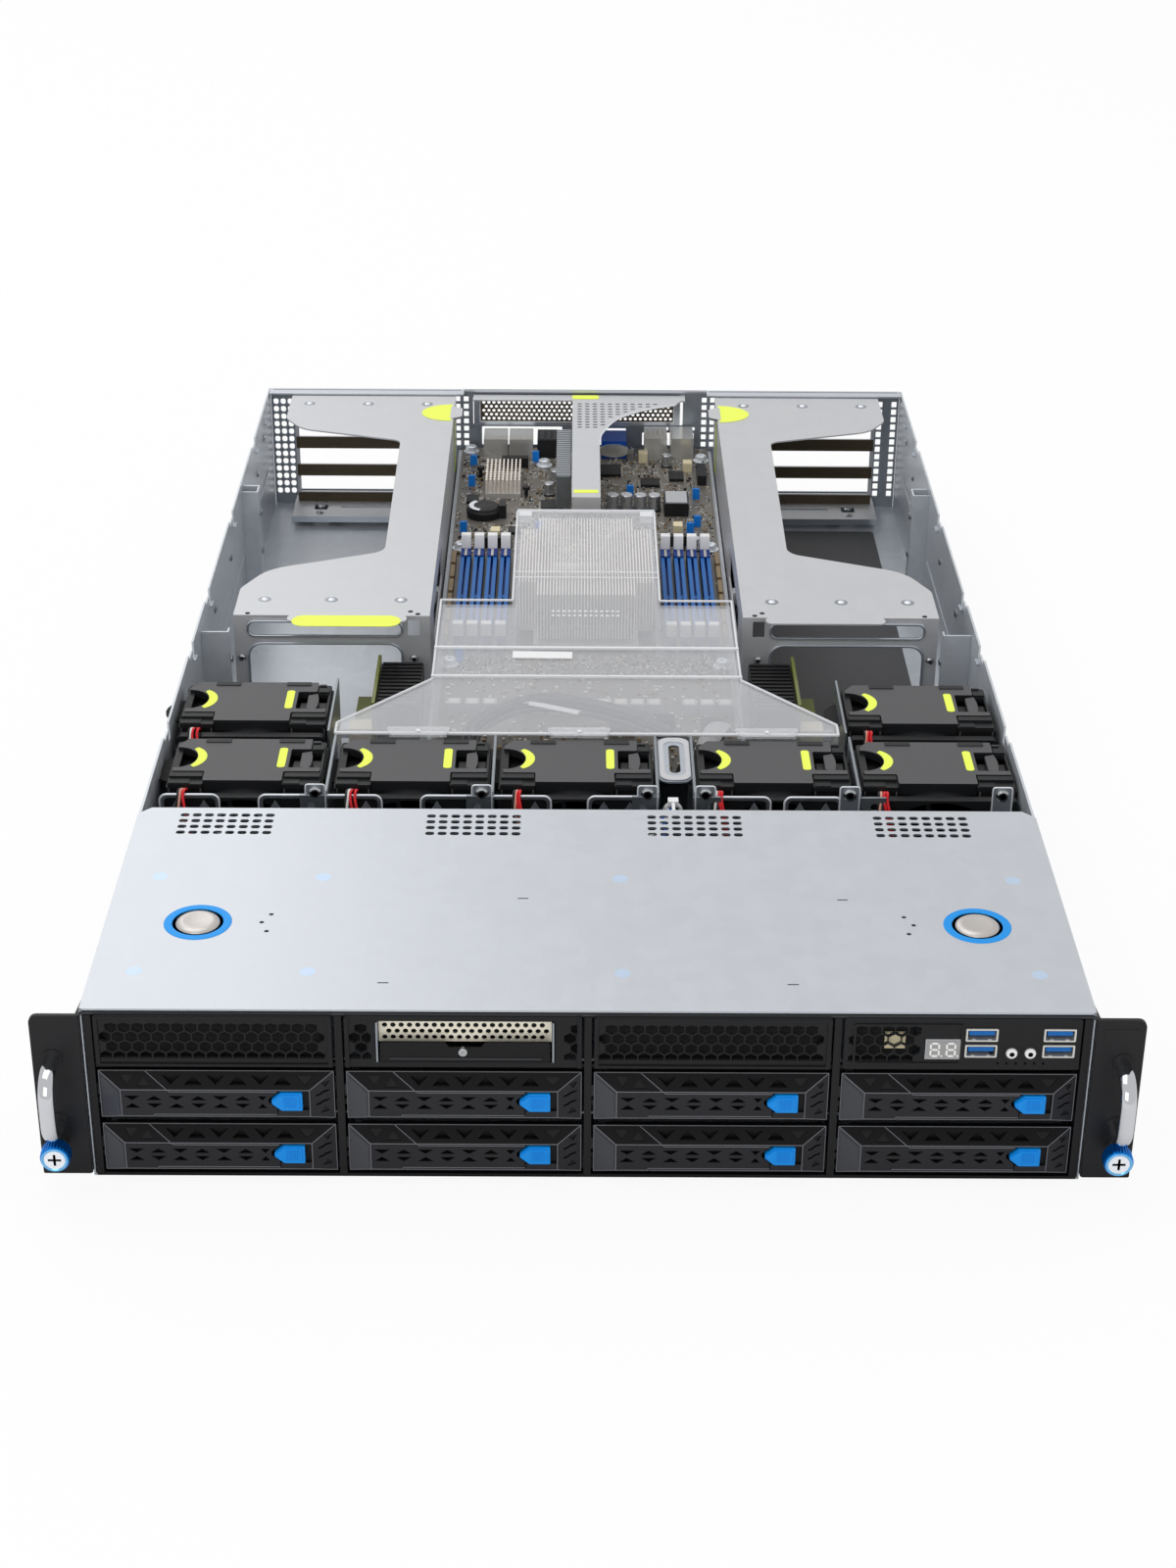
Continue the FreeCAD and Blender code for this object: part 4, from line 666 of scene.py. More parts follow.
ROLLED = (1.0, 0.04, 1.0)
FINISHES = {finish.name: finish for finish in (
    Finish("bright_steel", (204, 208, 214), 0.62, 0.36, 9.0, 0.035, 0.10, 0.004, ROLLED, texture=Texture.SPANGLE),
    Finish("riser_steel", (203, 204, 207), 0.5, 0.42, 9.0, 0.03, 0.10, 0.004, ROLLED, texture=Texture.SPANGLE),
    Finish("inner_steel", (204, 209, 215), 0.45, 0.36, 10.0, 0.10, 0.16, 0.004, ROLLED, texture=Texture.SPANGLE),
    Finish("edge_steel", (190, 196, 204), 0.85, 0.30, 4.0, 0.05, 0.10, 0.004),
    Finish("cut_edge", (150, 155, 162), 0.9, 0.30, 3.0, 0.05, 0.10, 0.004),
    # Painted shade: darkened steel for the strip under the cover's front edge, the button wells, and the back of the
    # media bay.
    Finish("painted_shade_steel", (70, 74, 80), 0.75, 0.42, 6.0, 0.10, 0.15, 0.006),
    Finish("rear_steel", (154, 160, 168), 0.6, 0.38, 8.0, 0.08, 0.12, 0.004, texture=Texture.SPANGLE),
    # Partly painted shade: the bronze of the slot covers, painted darker for the shadow they lie in.
    Finish("bronze_in_painted_shade", (92, 82, 66), 0.7, 0.45, 2.0, 0.10, 0.10, 0.006, ROLLED),
    Finish("chrome", (206, 208, 212), 1.0, 0.09, 20.0, 0.02, 0.04, 0.0),
    Finish("nickel", (196, 196, 194), 1.0, 0.24, 3.0, 0.04, 0.10, 0.002),
    Finish("screw_face", (240, 244, 250), 0.35, 0.30, 2.0, 0.02, 0.06, 0.0),
    Finish("warm_silver", (238, 232, 214), 0.3, 0.36, 3.0, 0.05, 0.10, 0.0),
    Finish("screw_steel", (176, 178, 180), 1.0, 0.22, 2.0, 0.08, 0.10, 0.003),
    Finish("blue_anodised", (0, 108, 214), 0.55, 0.34, 2.0, 0.06, 0.08, 0.004),
    # Painted highlight: light blue for the lit front edge of the thumb screws' blue collars.
    Finish("painted_blue_highlight", (120, 190, 240), 0.9, 0.20, 2.0, 0.04, 0.06, 0.0),
    Finish("ring_blue", (0, 150, 236), 0.15, 0.40, 5.0, 0.03, 0.08, 0.004),
    Finish("latch_blue", (0, 140, 228), 0.0, 0.42, 2.0, 0.03, 0.10, 0.006),
    Finish("socket_blue", (0, 98, 176), 0.0, 0.40, 3.0, 0.06, 0.10, 0.004),
    Finish("navy", (6, 50, 130), 0.0, 0.42, 3.0, 0.08, 0.10, 0.004),
    Finish("jumper_blue", (24, 130, 230), 0.0, 0.35, 2.0, 0.05, 0.10, 0.0),
    Finish("port_blue", (10, 78, 176), 0.0, 0.38, 2.0, 0.06, 0.10, 0.0),
    Finish("mark_yellow", (240, 255, 92), 0.0, 0.50, 6.0, 0.015, 0.06, 0.0),
    Finish("mark_green", (196, 226, 48), 0.0, 0.50, 6.0, 0.02, 0.06, 0.0),
    Finish("spot_blue", (196, 214, 236), 0.5, 0.34, 3.0, 0.02, 0.06, 0.0),
    Finish("bezel_black", (38, 38, 41), 0.0, 0.44, 1.2, 0.05, 0.10, 0.012, specular=0.2),
    Finish("bezel_textured", (17, 17, 19), 0.0, 0.52, 0.45, 0.32, 0.30, 0.030, specular=0.12),
    # Painted highlight: light grey for thin lines that stand for light caught on the bezel's folds.
    Finish("painted_bezel_highlight", (112, 113, 118), 0.0, 0.40, 1.2, 0.05, 0.10, 0.0),
    Finish("bezel_satin", (62, 63, 67), 0.0, 0.36, 2.0, 0.04, 0.08, 0.008, coat=0.15),
    # Painted shade: near black for vent walls, pit floors, wells, hollows, port backs and sheets behind openings; it is
    # also the real black of the media bay's tray.
    Finish("black_and_painted_shade", (9, 9, 11), 0.0, 0.62, 3.0, 0.10, 0.10, 0.0),
    Finish("panel_black", (19, 19, 21), 0.1, 0.46, 0.8, 0.18, 0.16, 0.014),
    Finish("panel_line", (60, 61, 64), 0.4, 0.40, 0.8, 0.10, 0.12, 0.006),
    Finish("ear_black", (30, 30, 32), 0.25, 0.42, 0.7, 0.14, 0.12, 0.012),
    Finish("lid_grey", (80, 80, 82), 0.0, 0.46, 2.0, 0.04, 0.10, 0.010),
    Finish("fan_black", (26, 27, 29), 0.0, 0.46, 3.0, 0.10, 0.12, 0.008),
    Finish("moulded_black", (20, 20, 22), 0.0, 0.40, 3.0, 0.10, 0.12, 0.006),
    Finish("tray_steel", (150, 156, 162), 0.85, 0.34, 6.0, 0.08, 0.12, 0.004, texture=Texture.SPANGLE),
    Finish("drive_grey", (168, 172, 176), 0.75, 0.40, 5.0, 0.05, 0.10, 0.006),
    Finish("port_silver", (208, 207, 203), 0.6, 0.24, 3.0, 0.06, 0.10, 0.003),
    Finish("display_grey", (178, 180, 184), 0.0, 0.45, 3.0, 0.02, 0.05, 0.0),
    Finish("display_face", (150, 150, 150), 0.0, 0.34, 3.0, 0.02, 0.05, 0.0, coat=0.4),
    Finish("display_bar", (235, 235, 232), 0.0, 0.40, 3.0, 0.02, 0.05, 0.0),
    Finish("display_red", (58, 34, 34), 0.0, 0.30, 3.0, 0.02, 0.05, 0.0),
    Finish("white_plastic", (240, 240, 238), 0.0, 0.38, 4.0, 0.02, 0.06, 0.004),
    Finish("cream_plastic", (226, 214, 178), 0.0, 0.42, 4.0, 0.03, 0.06, 0.004),
    Finish("board_dark", (112, 108, 102), 0.05, 0.42, 5.0, 0.16, 0.14, 0.006, coat=0.2),
    Finish("board_brown", (128, 117, 103), 0.1, 0.44, 1.6, 0.35, 0.2, 0.010, coat=0.2),
    Finish("board_green", (112, 118, 60), 0.05, 0.40, 3.0, 0.15, 0.12, 0.006, coat=0.3),
    Finish("chip_black", (30, 30, 32), 0.0, 0.46, 2.0, 0.08, 0.12, 0.004),
    Finish("part_tan", (150, 128, 96), 0.2, 0.42, 1.0, 0.20, 0.16, 0.004),
    Finish("part_tin", (222, 219, 211), 0.7, 0.30, 1.0, 0.10, 0.14, 0.004),
    Finish("socket_metal", (140, 138, 134), 0.9, 0.34, 2.0, 0.06, 0.10, 0.0),
    Finish("gold", (214, 178, 92), 1.0, 0.26, 1.0, 0.05, 0.10, 0.0),
    Finish("cap_silver", (196, 198, 202), 0.85, 0.28, 2.0, 0.04, 0.10, 0.003),
    Finish("fin_metal", (252, 244, 236), 0.25, 0.36, 3.0, 0.04, 0.10, 0.003),
    Finish("fin_block", (212, 210, 206), 0.6, 0.36, 3.0, 0.05, 0.10, 0.003),
    Finish("duct_clear", (232, 234, 238), 0.0, 0.22, 30.0, 0.02, 0.08, 0.010, opacity=0.12, rim=0.50),
    Finish("duct_edge", (240, 242, 245), 0.0, 0.20, 30.0, 0.02, 0.08, 0.0, opacity=0.62, rim=0.95),
    Finish("duct_rib", (246, 247, 249), 0.0, 0.16, 30.0, 0.02, 0.06, 0.0, opacity=0.72, rim=0.95),
    Finish("sleeve_silver", (176, 176, 178), 0.5, 0.45, 0.8, 0.40, 0.20, 0.060),
    Finish("floor_sheet", (78, 78, 80), 0.0, 0.5, 8.0, 0.04, 0.10, 0.0),
    Finish("sleeve_grey", (74, 74, 76), 0.0, 0.55, 0.8, 0.35, 0.20, 0.060),
    Finish("wire_red", (214, 16, 30), 0.0, 0.36, 4.0, 0.03, 0.08, 0.0, coat=0.2),
    Finish("wire_black", (18, 18, 20), 0.0, 0.40, 4.0, 0.05, 0.08, 0.0, coat=0.2),
    Finish("wire_white", (228, 226, 224), 0.0, 0.40, 4.0, 0.03, 0.08, 0.0),
    Finish("wire_pink", (214, 158, 140), 0.0, 0.42, 4.0, 0.03, 0.08, 0.0),
    Finish("wire_blue", (20, 92, 180), 0.0, 0.40, 4.0, 0.03, 0.08, 0.0),
)}


# ---- light, floor and camera ------------------------------------------------------------------------------------
@dataclass(frozen=True)
class Viewpoint:
    """The camera, by its place in metres and its turns in degrees."""

    place: tuple[float, float, float] = (-0.006954, -1.37718, 0.71548)
    yaw: float = 0.3527
    pitch: float = 27.765
    roll: float = 0.4511
    lens: float = 61.80
    sensor: float = 36.0

    def build(self) -> bpy.types.Object:
        """Makes the scene's camera: it looks along +Y, turned by yaw, tipped down by pitch, and rolled."""
        yaw, pitch, roll = (math.radians(turn) for turn in (self.yaw, self.pitch, self.roll))
        ahead = Vector((math.sin(yaw) * math.cos(pitch), math.cos(yaw) * math.cos(pitch), -math.sin(pitch)))
        right = Vector((math.cos(yaw), -math.sin(yaw), 0.0))
        over = right.cross(ahead)
        across = right * math.cos(roll) + over * math.sin(roll)
        upward = over * math.cos(roll) - right * math.sin(roll)
        data = bpy.data.cameras.new("camera")
        data.lens, data.sensor_width, data.sensor_fit = self.lens, self.sensor, "AUTO"
        data.clip_start, data.clip_end = 0.05, 50.0
        camera = bpy.data.objects.new("camera", data)
        turn = Matrix((across, upward, -ahead)).transposed().to_4x4()
        camera.matrix_world = Matrix.Translation(self.place) @ turn
        bpy.context.scene.collection.objects.link(camera)
        bpy.context.scene.camera = camera
        return camera


@dataclass(frozen=True)
class Lamp:
    """A square soft light that points at the middle of the server."""

    name: str
    place: tuple[float, float, float]
    size: float
    power: float
    aim: tuple[float, float, float] = (0.0, 0.0, 0.04)

    def build(self) -> bpy.types.Object:
        """Makes the lamp."""
        data = bpy.data.lights.new(self.name, "AREA")
        data.size, data.energy = self.size, self.power
        lamp = bpy.data.objects.new(self.name, data)
        lamp.location = self.place
        lamp.rotation_mode = "QUATERNION"
        lamp.rotation_quaternion = (Vector(self.aim) - Vector(self.place)).to_track_quat("-Z", "Y")
        bpy.context.scene.collection.objects.link(lamp)
        return lamp


@dataclass(frozen=True)
class Studio:
    """A white room: lamps, an even sky, and a pale floor."""

    sky: float = 0.76
    floor_size: float = 14.0
    lamps: tuple[Lamp, ...] = (
        Lamp("overhead", (-0.8, 0.3, 2.6), 2.2, 18.0),
        Lamp("front", (-0.6, -2.4, 1.2), 1.3, 9.0),
        Lamp("rear_rim", (-0.9, 2.3, 1.6), 1.2, 5.0),
    )

    def build(self) -> None:
        """Sets the room up."""
        for lamp in self.lamps:
            lamp.build()
        self.build_sky()
        self.build_floor()
        bpy.context.scene.view_settings.view_transform = "Standard"

    def build_sky(self) -> None:
        """An even sky that lights at its own level and is plain white to the camera and through glass."""
        world = bpy.data.worlds.new("sky")
        bpy.context.scene.world = world
        world.use_nodes = True
        graph = NodeGraph(world.node_tree)
        background = graph.find("BACKGROUND")
        background.inputs["Color"].default_value = (1.0, 1.0, 1.0, 1.0)
        path = graph.node("LightPath")
        seen = graph.sum("MAXIMUM", path.outputs["Is Camera Ray"], path.outputs["Is Transmission Ray"])
        graph.link(graph.sum("MULTIPLY_ADD", seen, 1 - self.sky, self.sky), background.inputs["Strength"])

    def build_floor(self) -> None:
        """A large pale floor just under the server: mostly white to the camera, with a trace of shadow."""
        half = self.floor_size / 2
        corners = [(-half, -half, 0), (half, -half, 0), (half, half, 0), (-half, half, 0)]
        mesh = bpy.data.meshes.new("floor")
        mesh.from_pydata(corners, [], [(0, 1, 2, 3)])
        floor = bpy.data.objects.new("floor", mesh)
        floor.location.z = -0.2 * MM
        bpy.context.scene.collection.objects.link(floor)
        paper = bpy.data.materials.new("floor_white")
        paper.use_nodes = True
        graph = NodeGraph(paper.node_tree)
        shader = graph.find("BSDF_PRINCIPLED")
        shader.inputs["Base Color"].default_value = (0.92, 0.92, 0.92, 1)
        shader.inputs["Roughness"].default_value = 0.9
        shader.inputs["Specular IOR Level"].default_value = 0.0
        path = graph.node("LightPath")
        seen = graph.sum("MAXIMUM", path.outputs["Is Camera Ray"], path.outputs["Is Transmission Ray"])
        glow = graph.node("Emission")
        mix = graph.node("MixShader")
        graph.link(graph.sum("MULTIPLY", seen, 0.90), mix.inputs["Fac"])
        graph.link(shader.outputs["BSDF"], mix.inputs[1])
        graph.link(glow.outputs["Emission"], mix.inputs[2])
        graph.link(mix.outputs["Shader"], paper.node_tree.nodes["Material Output"].inputs["Surface"])
        mesh.materials.append(paper)


# ---- the cover --------------------------------------------------------------------------------------------------
@dataclass
class FrontCover:
    """The fixed front lid with its slotted vents, screw holes, blue rings and nickel buttons."""

    extent: Extent = field(default_factory=lambda: Extent.of("front_cover"))
    sheet: float = 1.0
    corner: float = 6.0
    vents_x: tuple[float, ...] = (-175.8, -55.4, 52.2, 162.6)
    vent_rows_y: Pair = (158.0, 175.5)
    vent_half: float = 20.8
    slot: Pair = (4.3, 3.3)
    well_radius: float = 11.6
    ring_radius: float = 15.5
    screw_holes: tuple[Pair, ...] = ((144.8, 80.4), (148.5, 73.3), (145.5, 65.5))
    lances: tuple[Pair, ...] = ((-90.0, 22.0), (90.0, 22.0), (-30.0, 96.0), (118.0, 96.0))
    spots_x: tuple[float, ...] = (-200.4, -123.9, 15.2, 199.7)
    spots_y: Pair = (30.8, 114.8)

    def build(self) -> None:
        """Makes the sheet, the rings and the two buttons."""
        top = float(self.extent.high[2])
        buttons = [Extent.of(f"{side}_cover_button").middle for side in ("left", "right")]
        sheet = Surface()
        x0, x1 = self.extent.span(0)
        depth = float(self.extent.high[1])
        outer = rounded([(x0, 0), (x1, 0), (x1, depth - self.corner), (x1 - self.corner, depth),
                         (x0 + self.corner, depth), (x0, depth - self.corner)], (1.0, 1.0, 2.0, 2.0, 2.0, 2.0))
        holes = [rect(around(u, self.slot[0]), around(v, self.slot[1]), 1.3)
                 for x in self.vents_x for u, v in lattice((x - self.vent_half, x + self.vent_half),
                                                           self.vent_rows_y, 8, 4)]
        holes += [disc(b[0], b[1], self.well_radius, 40) for b in buttons]
        holes += [disc(side * x, y, 1.1, 10) for side in (-1, 1) for x, y in self.screw_holes]
        holes += [rect(around(x, 5.0), around(y, 0.9), 0.4) for x, y in self.lances]
        sheet.plate(outer, (top - self.sheet, top), Plane.LEVEL, "bright_steel", holes, edge="edge_steel")
        # A darkened strip under the cover's front edge: a painted shadow line.
        sheet.block((x0 + 3.0, x1 - 3.0), (0.2, 1.2), (top - 2.2, top - self.sheet), "painted_shade_steel")
        for b in buttons:
            self.well(sheet, b, top)
        for x in self.spots_x:
            for y in self.spots_y:
                sheet.plate(disc(x, y, 3.6), (top - 0.1, top + 0.03), Plane.LEVEL, "spot_blue")
        sheet.piece("cover_sheet", "chassis", ["front_cover"], "galvanised_steel", bevel=0.18)
        for side, b in zip(("left", "right"), buttons):
            self.button(side, b, top)

    def well(self, sheet: Surface, middle: Array, top: float) -> None:
        """The cup under a button, in steel darkened as painted shade, and the blue ring round it."""
        cup = [(self.well_radius, top - 6.4), (self.well_radius, top - 0.3), (self.well_radius + 0.8, top - 0.3),
               (self.well_radius + 0.8, top - 7.0), (3.4, top - 7.0), (3.4, top - 6.4), (self.well_radius, top - 6.4)]
        # The cup inside the well is darkened steel: painted shade.
        sheet.turned(cup, (middle[0], middle[1], 0), 2, "painted_shade_steel", 40)
        ring = [(self.well_radius, top - 0.2), (self.well_radius, top + 0.05), (self.well_radius + 0.3, top + 0.3),
                (self.ring_radius - 0.3, top + 0.3), (self.ring_radius, top + 0.05), (self.ring_radius, top - 0.2)]
        sheet.turned(ring, (middle[0], middle[1], 0), 2, "ring_blue", 48)

    def button(self, side: str, middle: Array, top: float) -> None:
        """A domed push button with a shallow dish in its face."""
        dome = Surface()
        profile = [(0.0, top + 0.95), (5.2, top + 1.05), (6.4, top + 1.35), (7.4, top + 1.35), (9.0, top + 0.9),
                   (10.0, top + 0.1), (10.4, top - 0.9), (10.4, top - 3.0), (2.9, top - 3.0), (2.9, top - 9.0),
                   (0.0, top - 9.0)]
        dome.turned(profile, (middle[0], middle[1], 0), 2, "nickel", 48)
        dome.piece(f"{side}_cover_button_cap", f"{side}_cover_button", [f"{side}_cover_button"], "nickel")


# ---- drive trays ------------------------------------------------------------------------------------------------
@dataclass
class DriveTray:
    """One drive tray: the faceted bezel, its lever and latch, and the tray and drive behind it."""

    number: int
    half_x: float = 51.3
    half_z: float = 12.2
    rise: float = 5.0
    face_x: Pair = (-41.5, 41.0)
    face_z: Pair = (-8.4, 5.3)
    wall: float = 1.6
    gap: float = 0.4
    seam_top_x: float = -31.2
    seam_low_x: float = -19.9
    seam_step: float = 4.0
    hinge: Pair = (-47.3, 2.6)
    notch: float = 2.2
    band_z: Pair = (-7.4, 4.4)
    latch_x: Pair = (24.4, 37.8)
    latch_z: Pair = (-4.6, 4.4)
    travel: float = 2.5
    slope_vents: tuple[float, float] = (-19.6, 9.75)
    band_vents: tuple[float, float] = (-36.6, 9.65)

    def build(self) -> None:
        """Makes the three pieces of the tray, each on its own body."""
        n = self.number
        latch = Extent.of(f"tray_latch_{n}").middle
        self.shift = (latch[0] - sum(self.latch_x) / 2, 0.0, latch[2] - sum(self.latch_z) / 2)
        self.place(self.lever(), f"tray_lever_{n}", f"tray_lever_{n}_bezel", "black_plastic", 0.0)
        self.place(self.frame(), f"drive_tray_{n}", f"drive_tray_{n}_bezel", "black_plastic", 0.0)
        self.place(self.latch(), f"tray_latch_{n}", f"tray_latch_{n}_slider", "blue_plastic", 0.35)

    def place(self, drawn: Surface, node: str, name: str, slot: str, bevel: float) -> None:
        """Moves a drawing from the bezel's middle to its bay and makes the piece."""
        moved = Surface()
        moved.join(drawn, self.shift)
        moved.piece(name, node, [node], slot, bevel=bevel)

    @property
    def fold_x(self) -> float:
        """Where the seam crosses the fold between the face and the upper slope."""
        run = self.seam_top_x - self.seam_low_x
        return self.seam_top_x - run * (self.half_z - self.face_z[1]) / (self.half_z - self.band_z[1])

    def tilts(self) -> dict[str, tuple[float, float, float]]:
        """Depth of each facet over the front view: y = a * x + b * z + c."""
        r, (x0, x1), (z0, z1) = self.rise, self.face_x, self.face_z
        left, right = r / (x0 + self.half_x), r / (self.half_x - x1)
        top, foot = r / (self.half_z - z1), r / (z0 + self.half_z)
        return {"face": (0, 0, -r), "left": (-left, 0, -r + left * x0), "right": (right, 0, -r - right * x1),
                "top": (0, top, -r - top * z1), "foot": (0, -foot, -r + foot * z0)}

    def facet(self, drawn: Surface, name: str, outer: Array, finish: str, holes: Sequence[Array] = (),
              pits: Sequence[Array] = ()) -> None:
        """One facet of the bezel with vents right through and shallow pits."""
        tilt = self.tilts()[name]
        # The facet's edges and the walls of its vents are near black: painted shade.
        drawn.plate(outer, (0, self.wall), Plane.UPRIGHT, finish, [*holes, *pits], tilt, "black_and_painted_shade")
        for pit in pits:
            middle = pit.mean(0)
            # A near-black floor in each pit: painted shade.
            drawn.plate(middle + (pit - middle) * 1.04, (0.5, 0.9), Plane.UPRIGHT, "black_and_painted_shade", (), tilt)

    def ridges(self, drawn: Surface, corners: Sequence[Pair]) -> None:
        """A thin painted highlight line along folds of the bezel, through (x, z) corners of the facets."""
        points = np.array(corners)
        rim = (np.abs(points[:, 0]) > self.half_x - 0.1) | (np.abs(points[:, 1]) > self.half_z - 0.1)
        path = np.stack([points[:, 0], np.where(rim, 0.0, -self.rise), points[:, 1]], 1)
        for start, end in zip(path, path[1:]):
            drawn.tube(np.array([start, end]), 0.2, "painted_bezel_highlight", 8, up=(0.02, 1, 0.01))

    def small_vents(self, x: Pair) -> list[Array]:
        """The vents of the band that lie between two places: pairs that point in, then pairs that point out."""
        start, pitch = self.band_vents
        out = []
        for n in range(7):
            centre = start + pitch * n
            width, height = 7.0, 2.3 if n % 2 else -2.3
            if centre + width / 2 > x[1]:
                centre, width = x[1] - 2.1, 4.2
            out += [wedge(centre, 1.1, width, height), wedge(centre, -2.9, width, -height)]
        return out

    def lever(self) -> Surface:
        """The swinging part: wedge end, upper-left facet with two pits, and the vented band up to the latch."""
        drawn = Surface()
        hx, hz, (x0, _), (z0, z1) = self.half_x, self.half_z, self.face_x, self.face_z
        fold, step, tip = self.fold_x, self.seam_top_x + self.seam_step, self.latch_x[0] + self.notch
        self.facet(drawn, "left", np.array([(-hx, -hz), (x0, z0), (x0, z1), (-hx, hz)]), "bezel_satin")
        tilt = self.tilts()["left"]
        inset = np.array([(-hx + 1.0, -hz + 2.6), (x0 - 0.8, z0 + 1.2), (x0 - 0.8, z1 - 1.0), (-hx + 1.0, hz - 2.4)])
        drawn.plate(inset, (-0.28, 0.3), Plane.UPRIGHT, "bezel_satin", (), tilt)
        self.facet(drawn, "top", np.array([(x0, z1), (fold, z1), (self.seam_top_x, hz), (-hx, hz)]),
                   "bezel_textured", pits=[wedge(-39.0, 8.9, 6.6, -3.6), wedge(-31.6, 8.3, 6.0, 3.4)])
        band = [(x0, z0), (step, z0), (step, self.band_z[0]),
                (tip, self.band_z[0]), (tip, -4.2), (self.latch_x[0] - 1.4, -1.0),
                (self.latch_x[0] - 1.4, 0.8), (tip, 4.0),
                (tip, self.band_z[1]), (self.seam_low_x, self.band_z[1]), (fold, z1), (x0, z1)]
        self.facet(drawn, "face", np.array(band), "bezel_black", self.small_vents((-40.0, 22.4)))
        self.facet(drawn, "foot", np.array([(-hx, -hz), *self.wavy(-hx, step),
                                            (step, z0), (x0, z0)]), "bezel_black")
        crease = self.seam_low_x, self.band_z[1]
        self.ridges(drawn, [(-hx, -hz), (x0, z0), (x0, z1), (-hx, hz), (self.seam_top_x, hz), (fold, z1), (x0, z1)])
        self.ridges(drawn, [(fold, z1), crease, (tip, self.band_z[1])])
        self.ridges(drawn, [(x0, z0), (step, z0), (step, self.band_z[0]),
                            (tip, self.band_z[0])])
        self.ridges(drawn, [(-hx, -hz), (-hx, hz)])
        drawn.block((-48.9, -45.6), (-1.1, 2.6), (-7.6, 7.6), "bezel_black")
        drawn.turned([(0.0, -7.6), (2.3, -7.6), (2.3, 7.6), (0.0, 7.6)], (*self.hinge, 0.0), 2, "bezel_black", 16)
        return drawn

    def wavy(self, start: float, end: float) -> list[Pair]:
        """Shallow scallops along the bezel's foot, between two places."""
        x = np.arange(math.ceil(start / 9.0) * 9.0, end - 2.0, 4.5)
        z = -self.half_z + 0.5 * (np.round(x / 4.5) % 2)
        return [(float(a), float(b)) for a, b in zip(x, z) if start + 2.0 < a]

    def frame(self) -> Surface:
        """The fixed part: top facet with six vents and a pit, right facet, foot, and the tray, rails and drive."""
        drawn = Surface()
        g, hx, hz, (_, x1), (z0, z1) = self.gap, self.half_x, self.half_z, self.face_x, self.face_z
        fold = self.fold_x
        start, pitch = self.slope_vents
        vents = [wedge(start + pitch * n, 8.8, 8.0, 3.4 if n % 2 else -3.4) for n in range(7)]
        top = np.array([(fold + g, z1), (x1, z1), (hx, hz), (self.seam_top_x + g, hz)])
        self.facet(drawn, "top", top, "bezel_textured", vents[:6], pits=vents[6:])
        zigzag = [np.array([(43.6, z), (45.6, z + 0.2), (46.8, z + 1.0), (49.4, z + 1.3), (49.4, z + 2.3),
                            (46.6, z + 1.9), (45.2, z + 1.1), (43.6, z + 0.9)]) for z in (1.4, -3.4)]
        right = np.array([(x1, z0), (hx, -hz), (hx, hz), (x1, z1)])
        self.facet(drawn, "right", right, "bezel_black", zigzag,
                   pits=[wedge(47.8, 6.5, 3.8, -3.0), wedge(47.4, -6.3, 4.2, 3.0)])
        low, high = self.latch_x[0] + self.notch + g, self.latch_x[1] + self.travel + g
        arrow = np.array([(low, self.latch_z[0] - g), (high, self.latch_z[0] - g), (high, self.latch_z[1] + g),
                          (low, self.latch_z[1] + g)])
        face = np.array([(low, z0), (x1, z0), (x1, z1), (fold + g, z1), (self.seam_low_x + g, self.band_z[1] + g),
                         (arrow[3][0], arrow[3][1]), tuple(arrow[2]), tuple(arrow[1]), tuple(arrow[0])])
        self.facet(drawn, "face", face, "bezel_black")
        drawn.block((self.latch_x[1] + 0.4, high), (-self.rise + 1.5, -self.rise + 2.4),
                    (self.latch_z[0] - g, self.latch_z[1] + g), "bezel_black")
        left = self.seam_top_x + self.seam_step + g
        self.facet(drawn, "face", np.array([(left, z0), (low - 0.01, z0), (low - 0.01, self.band_z[0] - g),
                                            (left, self.band_z[0] - g)]), "bezel_black")
        self.facet(drawn, "foot", np.array([*self.wavy(left, hx), (hx, -hz), (x1, z0), (left, z0)]), "bezel_black")
        self.ridges(drawn, [(fold + g, z1), (x1, z1), (hx, hz), (self.seam_top_x + g, hz)])
        self.ridges(drawn, [(x1, z1), (x1, z0), (left, z0)])
        self.ridges(drawn, [(x1, z0), (hx, -hz), (hx, hz)])
        # Near-black blocks behind the bezel and the latch: painted shade seen through the vents and gaps.
        drawn.block((-46.0, 50.0), (-0.6, 5.2), (-10.6, 10.6), "black_and_painted_shade")
        drawn.block((25.0, 43.0), (-3.6, -0.6), (-5.6, 5.6), "black_and_painted_shade")
        self.behind(drawn)
        return drawn

